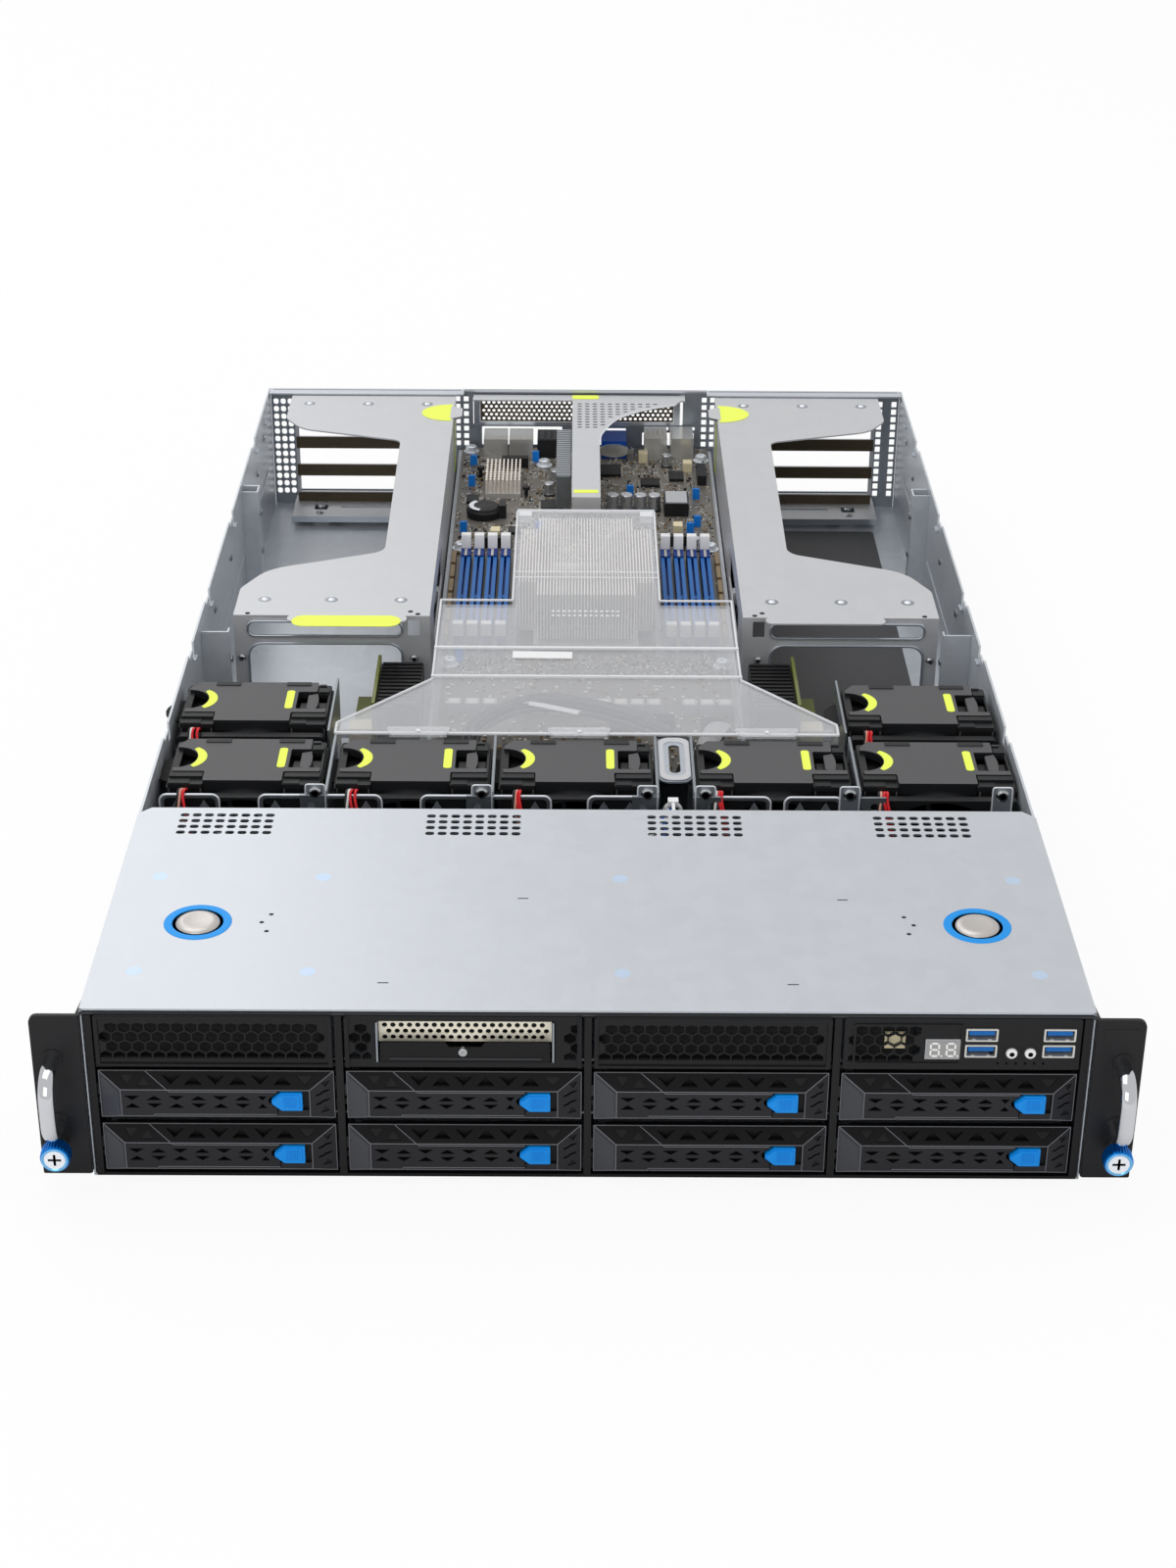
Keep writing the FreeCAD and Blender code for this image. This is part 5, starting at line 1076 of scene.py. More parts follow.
    def behind(self, drawn: Surface) -> None:
        """The steel tray with its pierced rails, the drive lying in it, and the clip and ears of the hinge."""
        for side in (-1, 1):
            x = ordered(side * 50.15, side * 51.65)
            pierced = [rect(around(y, 14.0), (-3.4, 3.2), 2.0) for y in (34.0, 66.0, 98.0, 130.0)]
            drawn.plate(rect((5.2, 168.0), (-11.2, 9.0)), x, Plane.SIDEWAYS, "tray_steel", pierced)
        drawn.plate(rect((-51.6, 51.6), (6.0, 168.0)), (-11.2, -10.0), Plane.LEVEL, "tray_steel",
                    [rect((-38.0, 38.0), (30.0, 150.0), 4.0)])
        drawn.block((-51.6, 51.6), (5.2, 6.4), (-11.2, 9.0), "tray_steel")
        drawn.plate(rect((-49.9, 49.9), (9.0, 156.0), 2.0), (-9.8, 8.2), Plane.LEVEL, "drive_grey")
        drawn.plate(rect((-44.0, 44.0), (16.0, 120.0), 3.0), (8.2, 8.45), Plane.LEVEL, "part_tin")
        drawn.plate(disc(0.0, 66.0, 30.0, 40), (8.4, 8.6), Plane.LEVEL, "drive_grey")
        drawn.block((-30.0, 30.0), (156.0, 162.0), (-7.0, 1.0), "moulded_black")
        for low, high in ((7.9, 9.7), (-9.7, -7.9)):
            drawn.block((-49.3, -42.3), (0.9, 5.2), (low, high), "bezel_black")
        drawn.turned([(0.0, -9.7), (1.0, -9.7), (1.0, 9.7), (0.0, 9.7)], (*self.hinge, 0.0), 2, "screw_steel", 12)
        drawn.block((-53.2, -51.4), (1.2, 3.8), (-1.2, 4.6), "panel_line")
        drawn.block((-52.4, -51.4), (0.6, 3.8), (-5.4, -2.6), "moulded_black")

    def latch(self) -> Surface:
        """The sliding arrow with fine ridges across its face."""
        drawn = Surface()
        (x0, x1), (z0, z1) = self.latch_x, self.latch_z
        outer = rounded([(x0, -1.0), (x0 + 4.2, z0), (x1, z0), (x1, z1), (x0 + 4.2, z1), (x0, 0.8)],
                        (1.0, 1.4, 0.6, 0.6, 1.4, 1.0))
        drawn.plate(outer, (-self.rise - 1.1, -self.rise + 1.2), Plane.UPRIGHT, "latch_blue")
        middle = np.array(((x0 + x1) / 2, (z0 + z1) / 2))
        inner = middle + (outer - middle) * (0.86, 0.80) + (-0.3, 0.0)
        drawn.plate(inner, (-self.rise - 1.6, -self.rise - 1.0), Plane.UPRIGHT, "latch_blue")
        ridge_x = np.arange(x0 + 5.4, x1 - 2.2, 0.9)
        low = stacked(ridge_x - 0.22, -self.rise - 1.9, z0 + 1.9)
        high = stacked(ridge_x + 0.22, -self.rise - 1.5, z1 - 1.9)
        drawn.boxes(low, high, "latch_blue")
        drawn.block((x0 + 5.0, x1 - 3.0), (-self.rise + 0.8, 1.2), (-3.0, 2.8), "latch_blue")
        return drawn


# ---- top row of the front ---------------------------------------------------------------------------------------
@dataclass
class TopRow:
    """The row over the trays: two honeycomb blanks, an open media bay, and the port panel with its two buttons."""

    columns: tuple[float, ...] = (-162.45, -54.15, 54.15, 162.45)
    half: float = 51.4
    z: Pair = (59.6, 85.2)
    y: Pair = (-1.6, 0.2)
    cell: float = 3.0
    pitch: Pair = (5.78, 5.0)
    bay: Pair = (-92.5, -14.2)
    display: tuple[Pair, Pair] = ((146.2, 162.2), (65.0, 75.4))
    ports: tuple[Pair, ...] = ((170.6, 77.6), (170.6, 69.4), (204.4, 77.6), (204.4, 69.4))
    buttons: tuple[Pair, ...] = ((184.1, 68.4), (192.2, 68.4))

    def cells(self, x: Pair, z: Pair) -> list[Array]:
        """Rows of hexagons that fill a field, cut straight at its top and bottom."""
        out = []
        for row in range(-1, 7):
            v = z[0] + self.pitch[1] * row + 0.9
            shift = self.pitch[0] / 2 * (row % 2)
            count = int((x[1] - x[0] - shift) / self.pitch[0]) + 1
            for n in range(count):
                cell = hexagon(x[0] + shift + self.pitch[0] * n, v, self.cell)
                cell[:, 1] = np.clip(cell[:, 1], z[0], z[1])
                if np.ptp(cell[:, 1]) > 1.4:
                    keep = np.linalg.norm(cell - np.roll(cell, 1, 0), axis=1) > 1e-6
                    out.append(cell[keep])
        return out

    def blank(self, drawn: Surface, x: float) -> None:
        """A honeycomb blank with a raised border."""
        field_x, field_z = around(x, 2 * self.half - 9.0), (self.z[0] + 4.0, self.z[1] - 3.4)
        drawn.plate(rect(around(x, 2 * self.half), self.z, 0.8), self.y, Plane.UPRIGHT, "panel_black",
                    self.cells(field_x, field_z), edge="panel_line")
        # A near-black sheet behind the honeycomb: painted shade seen through the cells.
        drawn.block(around(x, 2 * self.half - 4.0), (2.4, 3.0), (self.z[0] + 2.0, self.z[1] - 2.0), "black_and_painted_shade")
        for side in (-1, 1):
            drawn.block(around(x + side * (self.half - 0.9), 1.8), (self.y[0] - 0.7, self.y[0]), self.z, "panel_black")
        for z in (self.z[0] + 0.8, self.z[1] - 0.7):
            drawn.block(around(x, 2 * self.half - 3.6), (self.y[0] - 0.7, self.y[0]), around(z, 1.4), "panel_black")

    def build(self) -> None:
        """Makes the row, the rail over it and the two buttons."""
        drawn = Surface()
        self.blank(drawn, self.columns[0])
        self.blank(drawn, self.columns[2])
        self.media(drawn)
        self.port_panel(drawn)
        drawn.block((-219.4, 219.4), (0.2, 5.6), (85.5, 86.9), "moulded_black")
        drawn.block((-219.4, 219.4), (-0.6, 0.6), (85.4, 86.6), "panel_line")
        for x in (-216.5, *((a + b) / 2 for a, b in zip(self.columns, self.columns[1:])), 216.5):
            drawn.block(around(x, 3.2), (-0.9, 4.0), (0.8, 85.2), "panel_black")
        for x in (-218.9, 218.9):
            drawn.block(around(x, 0.5), (-1.2, 3.0), (1.2, 85.0), "edge_steel")
        drawn.block((-218.0, 218.0), (-0.6, 4.0), (0.6, 2.2), "panel_black")
        drawn.block((-218.0, 218.0), (2.0, 4.0), (57.4, 59.2), "panel_black")
        drawn.piece("front_row", "chassis", ["front_panel_row"], "black_steel", bevel=0.14)
        for name, (x, z) in zip(("power_button", "reset_button"), self.buttons):
            cap = Surface()
            profile = [(0.0, -3.1), (1.5, -3.15), (2.2, -2.9), (2.5, -2.3), (2.5, 6.0), (0.0, 6.0)]
            cap.turned(profile, (x, 0, z), 1, "white_plastic", 28)
            cap.turned([(0.75, -3.25), (1.15, -3.25), (1.15, -3.0), (0.75, -3.0), (0.75, -3.25)], (x, 0, z), 1,
                       "chip_black", 24)
            cap.piece(f"{name}_cap", name, [name], "white_plastic")

    def media(self, drawn: Surface) -> None:
        """The second bay: honeycomb ends round an opening, a bright pierced sheet and a black tray in it."""
        x, (z0, z1), (b0, b1) = self.columns[1], self.z, self.bay
        opening = rect((b0, b1), (z0 + 2.6, z1 - 2.0), 0.6)
        ends = self.cells((x - self.half + 4.2, b0 - 0.8), (z0 + 4.0, z1 - 3.4))
        ends += self.cells((b1 + 6.4, x + self.half - 2.6), (z0 + 4.0, z1 - 3.4))
        middle = (b0 + b1) / 2
        for cell in ends:
            outside = cell[:, 0] > middle
            cell[:, 0] = np.clip(cell[:, 0], x - self.half + 1.8, x + self.half - 1.8)
            cell[:, 0] = np.where(outside, np.maximum(cell[:, 0], b1 + 3.4), np.minimum(cell[:, 0], b0 - 1.6))
        ends = [cell for cell in ends if np.ptp(cell[:, 0]) > 2.0]
        ends = [cell[np.linalg.norm(cell - np.roll(cell, 1, 0), axis=1) > 1e-6] for cell in ends]
        # A near-black sheet behind the honeycomb ends: painted shade seen through the cells.
        drawn.block(around(x, 2 * self.half - 4.0), (8.0, 8.6), (z0 + 2.0, z1 - 2.0), "black_and_painted_shade")
        drawn.plate(rect(around(x, 2 * self.half), self.z, 0.8), self.y, Plane.UPRIGHT, "panel_black",
                    [opening, *ends], edge="panel_line")
        for side in (-1, 1):
            drawn.block(around(x + side * (self.half - 0.9), 1.8), (self.y[0] - 0.7, self.y[0]), self.z, "panel_black")
        for side, edge in ((-1, b0), (1, b1)):
            drawn.block(around(edge - side * 0.9, 0.8), (-2.2, 40.0), (z0 + 3.0, z1 - 2.4), "tray_steel")
        sheet_x = (b0 + 1.6, b1 - 1.6)
        holes = []
        for row, z in enumerate(np.arange(z1 - 12.6, z1 - 3.4, 3.1)):
            holes += [disc(u, z, 1.2, 12) for u in
                      np.arange(sheet_x[0] + 2.6 + 1.8 * (row % 2), sheet_x[1] - 2.0, 3.6)]
        drawn.plate(rect(sheet_x, (z1 - 14.8, z1 - 2.2)), (2.4, 3.0), Plane.UPRIGHT, "warm_silver", holes)
        # A darkened steel sheet behind the pierced sheet: painted shade seen through its holes.
        drawn.block(sheet_x, (6.0, 6.6), (z1 - 14.8, z1 - 2.6), "painted_shade_steel")
        tray = rounded([(b0 + 2.2, z0 + 3.0), (b1 - 2.2, z0 + 3.0), (b1 - 2.2, z1 - 12.8), (middle + 9, z1 - 12.8),
                        (middle + 7, z1 - 15.4), (middle - 7, z1 - 15.4), (middle - 9, z1 - 12.8),
                        (b0 + 2.2, z1 - 12.8)], (0.6, 0.6, 1.2, 1, 1, 1, 1, 1.2))
        drawn.plate(tray, (-1.8, -0.8), Plane.UPRIGHT, "black_and_painted_shade")
        drawn.block((b0 + 6.0, b1 - 6.0), (-2.1, -1.7), (z0 + 4.2, z0 + 5.0), "panel_line")
        drawn.block((b0 + 2.2, b1 - 2.2), (-0.8, 60.0), (z0 + 3.0, z0 + 4.0), "moulded_black")
        drawn.turned([(0.0, -2.0), (0.5, -2.5), (1.9, -2.4), (2.3, -1.8), (2.3, -1.0), (0.0, -1.0)],
                     (middle - 1.0, 0, z0 + 8.0), 1, "screw_steel", 24)
        # The bay's back wall in darkened steel: painted shade deep in the bay.
        drawn.block((b0 + 2.0, b1 - 2.0), (60.0, 62.0), (z0 + 3.0, z1 - 3.0), "painted_shade_steel")

    def port_panel(self, drawn: Surface) -> None:
        """Honeycomb at the left, a two-digit display, four ports, two buttons and a line of lamps."""
        x, (z0, z1) = self.columns[3], self.z
        holes = [cell for cell in self.cells((x - self.half + 4.6, x - self.half + 33.0), (z0 + 4.0, z1 - 3.4))
                 if (cell[:, 0] < self.display[0][0] - 0.8).all()]
        holes.append(rect(self.display[0], self.display[1], 0.6))
        holes += [rect(around(u, 14.2), around(v, 6.6), 0.4) for u, v in self.ports]
        holes += [disc(u, v, 2.7, 24) for u, v in self.buttons]
        holes += [disc(u, z0 + 3.2, 0.7, 8) for u in np.linspace(178.4, 198.4, 6)]
        holes.append(rect(around(175.4, 1.6), around(z0 + 7.4, 1.6), 0.3))
        drawn.plate(rect(around(x, 2 * self.half), self.z, 0.8), self.y, Plane.UPRIGHT, "panel_black", holes,
                    edge="panel_line")
        drawn.plate(rect((x - self.half + 4.0, self.display[0][0] + 16.2), (z0 + 2.6, z1 - 2.2), 1.0),
                    (self.y[0] - 0.45, self.y[0] - 0.05), Plane.UPRIGHT, "panel_black", [
            rect((x - self.half + 5.0, self.display[0][0] + 15.2), (z0 + 3.6, z1 - 3.2), 0.6)])
        for u, v in self.buttons:
            drawn.turned([(2.7, -1.9), (3.6, -1.9), (3.9, -1.5), (2.7, -1.5), (2.7, -1.9)], (u, 0, v), 1,
                         "moulded_black", 28)
        drawn.block((178.0, 199.0), (0.4, 1.2), (z0 + 2.2, z0 + 4.2), "display_red")
        for u, v in self.ports:
            self.port(drawn, u, v)
        self.digits(drawn)
        # A near-black sheet behind the honeycomb: painted shade seen through the cells.
        drawn.block((x - self.half + 3.0, x - 20.0), (2.6, 3.2), (z0 + 2.8, z1 - 2.8), "black_and_painted_shade")
        drawn.block(around(x - 29.0, 9.0), (1.2, 2.4), around(z0 + 13.0, 8.0), "cream_plastic")

    def port(self, drawn: Surface, x: float, z: float) -> None:
        """One rectangular port: a bright shell round a slot with a blue tongue; the slot's back is painted near black
        as shade.
        """
        drawn.plate(rect(around(x, 14.0), around(z, 6.4), 0.5), (-2.2, 10.0), Plane.UPRIGHT, "port_silver",
                    [rect(around(x, 12.4), around(z, 4.9), 0.3)])
        # The port's back is near black: painted shade in its slot.
        drawn.block(around(x, 12.2), (6.0, 9.8), around(z, 4.8), "black_and_painted_shade")
        drawn.block(around(x, 11.0), (-1.7, 8.0), (z - 0.2, z + 1.9), "socket_blue")
        for n in (-1, 1):
            drawn.block(around(x + 3.4 * n, 1.6), (-1.9, 4.0), (z - 2.5, z - 2.1), "port_silver")

    def digits(self, drawn: Surface) -> None:
        """The display: a light face with two figures of seven dull segments."""
        (x0, x1), (z0, z1) = self.display
        drawn.block((x0 + 0.2, x1 - 0.2), (-2.0, 3.0), (z0 + 0.2, z1 - 0.2), "display_grey")
        drawn.block((x0 + 0.7, x1 - 0.7), (-2.25, -1.9), (z0 + 0.7, z1 - 0.7), "display_face")
        high, wide = 6.4, 3.6
        for n in range(2):
            u, v = x0 + 4.3 + 7.0 * n, (z0 + z1) / 2
            across = [(u, v + s * high / 2) for s in (-1, 0, 1)]
            for cu, cv in across:
                bar = rounded([(cu - 1.5, cv), (cu - 1.0, cv - 0.5), (cu + 1.0, cv - 0.5), (cu + 1.5, cv),
                               (cu + 1.0, cv + 0.5), (cu - 1.0, cv + 0.5)], 0.05, 1)
                drawn.plate(bar, (-2.4, -2.2), Plane.UPRIGHT, "display_bar")
            for side in (-1, 1):
                for s in (-1, 1):
                    cu, cv = u + side * wide / 2, v + s * high / 4
                    bar = rounded([(cu, cv - 1.4), (cu + 0.45, cv - 0.9), (cu + 0.45, cv + 0.9), (cu, cv + 1.4),
                                   (cu - 0.45, cv + 0.9), (cu - 0.45, cv - 0.9)], 0.05, 1)
                    drawn.plate(bar, (-2.4, -2.2), Plane.UPRIGHT, "display_bar")
            drawn.plate(disc(u + 3.0, v - high / 2, 0.45, 10), (-2.4, -2.2), Plane.UPRIGHT, "display_bar")


# ---- ears, handles and thumb screws -----------------------------------------------------------------------------
@dataclass
class RackEars:
    """The two black ears, their chrome handles and the blue thumb screws."""

    screw_x: float = 232.55
    screw_z: float = 21.3
    front: float = -3.5
    thick: float = 2.0
    z: Pair = (3.6, 86.4)
    outer: float = 241.3
    inner: float = 219.9
    handle_z: Pair = (31.5, 64.6)
    label_x: Pair = (223.5, 239.1)
    label_z: Pair = (69.2, 81.9)
    reach: float = 21.9

    def build(self) -> None:
        """Makes the pieces of both sides."""
        ears, handles = Surface(), Surface()
        for side in (-1, 1):
            self.ear(ears, side)
            self.handle(handles, side)
            self.screw(side)
        ears.piece("ears", "chassis", ["rack_ears"], "black_steel", bevel=0.3)
        handles.piece("handles", "chassis", ["ear_handles"], "chrome_bar")

    def ear(self, drawn: Surface, side: int) -> None:
        """A flat ear with one round corner and a shallow label field, and the flange that runs back along the wall."""
        outline = rounded([(self.inner, self.z[0]), (self.outer, self.z[0]), (self.outer, self.z[1]),
                           (self.inner, self.z[1])], (0.6, 0.8, 3.6, 0.6), 6)
        holes = [disc(self.screw_x, self.screw_z, 3.1, 24)]
        if side < 0:
            outline, holes = mirror(outline), [mirror(hole) for hole in holes]
        drawn.plate(outline, (self.front, self.front + self.thick), Plane.UPRIGHT, "ear_black", holes)
        if side > 0:
            drawn.plate(rect(self.label_x, self.label_z, 1.4), (self.front - 0.12, self.front + 0.1), Plane.UPRIGHT,
                        "ear_black")
        wall = ordered(side * 219.6, side * 221.4)
        drawn.plate(rounded([(self.front + 0.4, self.z[0]), (30.0, self.z[0]), (30.0, self.z[1] - 6.0),
                             (self.front + 0.4, self.z[1])], (0.3, 3.0, 4.0, 0.3)), wall, Plane.SIDEWAYS, "ear_black")
        for y in (10.0, 22.0):
            for z in (16.0, 70.0):
                head = [(0.0, 222.0), (1.2, 222.0), (2.9, 221.5), (2.9, 221.0), (0.0, 221.0)]
                drawn.turned([(r, side * x) for r, x in head], (0, y, z), 0, "screw_steel", 20)

    def handle(self, drawn: Surface, side: int) -> None:
        """A bow of flat chromed bar with wide bends."""
        x, (z0, z1), bend = side * self.screw_x, self.handle_z, 11.0
        tip = self.front - self.reach + 2.2
        angle = np.linspace(0, np.pi / 2, 9)
        low = np.stack([tip + bend - bend * np.sin(angle), z0 + bend - bend * np.cos(angle)], 1)
        high = np.stack([tip + bend - bend * np.cos(angle), z1 - bend + bend * np.sin(angle)], 1)
        line = np.concatenate([[(self.front + 0.2, z0)], low, high, [(self.front + 0.2, z1)]])
        drawn.tube(stacked(x, *line.T), (2.1, 3.4), "chrome", 24, up=(1, 0, 0))
        for z in (z0, z1):
            drawn.turned([(0.0, self.front - 0.7), (4.3, self.front - 0.7), (4.6, self.front - 0.3),
                          (4.6, self.front - 0.05), (0.0, self.front - 0.05)], (x, 0, z), 1, "ear_black", 24)

    def screw(self, side: int) -> None:
        """A blue knurled collar round a bright cross-slotted head, its stem, and the thread behind the ear."""
        name = "left_rack_screw" if side < 0 else "right_rack_screw"
        drawn = Surface()
        x, z, tip, rear = side * self.screw_x, self.screw_z, -18.9, -10.0
        teeth = 30
        angle = np.linspace(0, 2 * np.pi, 4 * teeth, endpoint=False)
        wave = 0.18 * np.sign(np.sin(teeth * angle))
        stations = [(5.2, tip + 0.6, 0), (5.9, tip + 0.3, 0), (6.3, tip + 0.9, 0), (6.45, tip + 1.6, 1),
                    (6.5, rear - 2.2, 1), (6.3, rear - 1.4, 0), (5.6, rear - 0.9, 0), (5.6, rear, 0), (3.4, rear, 0)]
        ring = np.array([[(x + (r + k * w) * math.cos(t), y, z + (r + k * w) * math.sin(t))
                          for t, w in zip(angle, wave)] for r, y, k in stations])
        drawn.net(ring, "blue_anodised", smooth=False)
        # A light blue ring on the collar's front edge: a painted highlight.
        drawn.turned([(4.6, tip + 0.5), (5.3, tip + 0.1), (5.9, tip + 0.25), (5.9, tip + 0.7), (4.6, tip + 0.9),
                      (4.6, tip + 0.5)], (x, 0, z), 1, "painted_blue_highlight", 40)
        drawn.plate(disc(x, z, 4.7, 32), (tip + 0.35, tip + 3.0), Plane.UPRIGHT, "screw_face", [
            rounded([(x - 0.55, z - 2.9), (x + 0.55, z - 2.9), (x + 0.55, z - 0.55), (x + 2.9, z - 0.55),
                     (x + 2.9, z + 0.55), (x + 0.55, z + 0.55), (x + 0.55, z + 2.9), (x - 0.55, z + 2.9),
                     (x - 0.55, z + 0.55), (x - 2.9, z + 0.55), (x - 2.9, z - 0.55), (x - 0.55, z - 0.55)], 0.12, 1)])
        drawn.plate(disc(x, z, 4.5, 24), (tip + 2.6, tip + 3.2), Plane.UPRIGHT, "rear_steel")
        drawn.turned([(0.0, rear - 0.6), (3.6, rear - 0.6), (3.6, self.front - 0.35), (2.0, self.front - 0.3),
                      (2.0, -1.2), (2.5, -1.1), (2.5, 10.2), (1.9, 10.95), (0.0, 10.95)], (x, 0, z), 1,
                     "screw_steel", 28)
        drawn.piece(f"{name}_head", name, [name], "blue_anodised", bevel=0.08)


# ---- fans -------------------------------------------------------------------------------------------------------
@dataclass
class FanModule:
    """One fan: its housing with the grey lid, marks and latch, its turning rotor, and its leads."""

    number: int
    width: float = 79.4
    depth: float = 58.0
    top: float = 84.0
    bore: float = 36.5
    axis_z: float = 41.0
    window_x: Pair = (61.0, 77.0)
    window_y: Pair = (24.6, 45.0)
    hollow: Pair = (2.4, 35.4)
    hollow_radius: float = 11.4
    lid_front: float = 10.2
    step_x: Pair = (19.0, 59.0)
    sill: float = 72.0

    def build(self) -> None:
        """Makes the housing, the rotor and the leads."""
        box = Extent.of(f"fan_module_{self.number}")
        self.left, self.front = float(box.low[0]), float(box.low[1])
        self.floor = float(box.low[2])
        self.housing()
        self.rotor()

    def at(self, x: float, y: float) -> Pair:
        """A place measured from the left front corner of the module."""
        return self.left + x, self.front + y

    def housing(self) -> None:
        """The frame round the bore, the lid over it, and the clips, marks, latch and leads."""
        drawn = Surface()
        w, d, top = self.width, self.depth, self.top
        middle = (self.left + w / 2, self.axis_z)
        bore = disc(*middle, self.bore, 56)
        for y, high in (((0.0, 5.0), self.bore + self.axis_z + 1.2), ((d - 6.0, d), top - 5.0)):
            body = rounded([(self.left + 0.6, self.floor), (self.left + w - 0.6, self.floor),
                            (self.left + w - 0.6, high), (self.left + 0.6, high)], 3.0)
            drawn.plate(body, (self.front + y[0], self.front + y[1]), Plane.UPRIGHT, "fan_black", [bore])
        tunnel = [(self.bore, 4.0), (self.bore + 1.4, 4.0), (self.bore + 1.4, d - 5.0), (self.bore, d - 5.0),
                  (self.bore, 4.0)]
        drawn.turned([(r, self.front + y) for r, y in tunnel], (middle[0], 0, middle[1]), 1, "fan_black", 56)
        self.guard(drawn, middle)
        for x in (1.0, w - 1.0):
            drawn.block(around(self.left + x, 1.2), (self.front + 3, self.front + d - 3), (self.floor, self.sill),
                        "fan_black")
            drawn.block(around(self.left + x, 1.2), (self.front + self.lid_front, self.front + d - 3),
                        (self.sill, top - 5), "fan_black")
        drawn.block((self.left + 1, self.left + w - 1), (self.front + 3, self.front + d - 3),
                    (self.floor, self.floor + 1.2), "fan_black")
        self.lid(drawn)
        self.latch(drawn)
        self.marks(drawn)
        self.leads(drawn)
        drawn.piece(f"fan_{self.number}_housing", f"fan_module_{self.number}", [f"fan_module_{self.number}"],
                    "black_plastic", bevel=0.3)

    def guard(self, drawn: Surface, middle: Pair) -> None:
        """The bearing plate at the front and the stays that hold it in the bore."""
        y = self.front + 0.8
        drawn.turned([(0.0, y), (15.6, y), (16.0, y + 0.6), (16.0, y + 4.4), (0.0, y + 4.4)],
                     (middle[0], 0, middle[1]), 1, "fan_black", 32)
        for turn in np.linspace(0, 2 * np.pi, 5, endpoint=False) + 0.5:
            out = np.array((math.cos(turn), math.sin(turn)))
            side = np.array((-out[1], out[0]))
            centre = np.array(middle)
            corners = [centre + out * 14 - side * 1.5, centre + out * 37.0 - side * 1.1,
                       centre + out * 37.0 + side * 1.1, centre + out * 14 + side * 1.5]
            drawn.plate(np.array(corners), (y + 0.4, y + 3.6), Plane.UPRIGHT, "fan_black")

    def lid(self, drawn: Surface) -> None:
        """The grey lid, cut out by the finger hollow and the latch's well, with dark clips before and behind it."""
        w, d, top = self.width, self.depth, self.top
        (x0, x1), (y0, y1), (a, b) = self.window_x, self.window_y, self.step_x
        turn = np.linspace(np.pi / 2, -np.pi / 2, 15)
        hollow = [self.at(self.hollow[0] + self.hollow_radius * math.cos(t),
                          self.hollow[1] + self.hollow_radius * math.sin(t)) for t in turn]
        y, rear = self.lid_front, d - 1.5
        whole = rounded([self.at(1.2, y - 1.0), self.at(a, y - 1.0), self.at(a, y + 1.0), self.at(b, y + 1.0),
                         self.at(b, y - 1.0), self.at(w - 1.2, y - 1.0), self.at(w - 1.2, rear),
                         self.at(1.2, rear)], (1.0, 0.5, 0.5, 0.5, 0.5, 1.0, 2.0, 2.0))
        window = rect((self.left + x0, self.left + x1), (self.front + y0, self.front + y1), 1.2)
        cup = np.array([(max(u, self.left + 3.4), v) for u, v in hollow])
        drawn.plate(whole, (top - 5.0, top - 2.6), Plane.LEVEL, "fan_black", [window, cup[1:-1]])
        clip = y + 10.2
        corners = [self.at(2.6, clip), self.at(a, clip), self.at(a, y), self.at(b, y), self.at(b, clip),
                   self.at(w - 2.0, clip), self.at(w - 2.0, y0), self.at(x0, y0), self.at(x0, y1), self.at(71.0, y1),
                   self.at(71.0, rear), self.at(7.0, rear), self.at(2.6, 50.0)]
        grey = rounded([*corners, *hollow], [0.8] * len(corners) + [0.0] * len(hollow))
        drawn.plate(grey, (top - 2.7, top - 0.8), Plane.LEVEL, "lid_grey", edge="fan_black")
        for x in (16.0, 54.0):
            drawn.block((self.left + x, self.left + x + 13.0), (self.front + d - 5.6, self.front + d - 2.2),
                        (top - 0.9, top - 0.25), "fan_black")
            drawn.block((self.left + x, self.left + x + 13.0), (self.front + d - 5.9, self.front + d - 5.6),
                        (top - 0.9, top - 0.2), "panel_line")
        for x0, x1, step in ((1.6, 18.4, 12.4), (59.8, w - 1.6, 68.0)):
            near = self.front + y
            drawn.block((self.left + x0, self.left + x1), (near + 5.2, near + 9.8), (top - 2.7, top - 1.2), "fan_black")
            drawn.block((self.left + x0, self.left + step), (near - 0.4, near + 4.8), (top - 4.4, top - 2.2),
                        "fan_black")
            # A near-black field inside a grey frame on the module's front: painted shade in the frame's opening.
            drawn.block((self.left + x0 + 0.6, self.left + x1 - 0.6), (near - 0.9, near), (top - 13.0, top - 5.0),
                        "black_and_painted_shade")
            for x in (x0, x1 - 0.8):
                drawn.block((self.left + x, self.left + x + 0.8), (near - 1.4, near), (top - 13.6, top - 5.0),
                            "lid_grey")
            drawn.block((self.left + x0, self.left + x1), (near - 1.4, near), (top - 14.2, top - 13.4), "lid_grey")
        drawn.block((self.left + 19.2, self.left + 58.8), (self.front + y + 0.4, self.front + y + 1.6),
                    (top - 7.6, top - 2.8), "fan_black")
        # A near-black sheet across the front under the lid: painted shade.
        drawn.block((self.left + 1.8, self.left + w - 1.8), (self.front + y + 1.6, self.front + y + 2.4),
                    (self.sill, top - 5.0), "black_and_painted_shade")

    def latch(self, drawn: Surface) -> None:
        """The finger latch at the right: a well with a grey tongue in it; the well's floor is painted near black as
        shade.
        """
        (x0, x1), (y0, y1), top = self.window_x, self.window_y, self.top
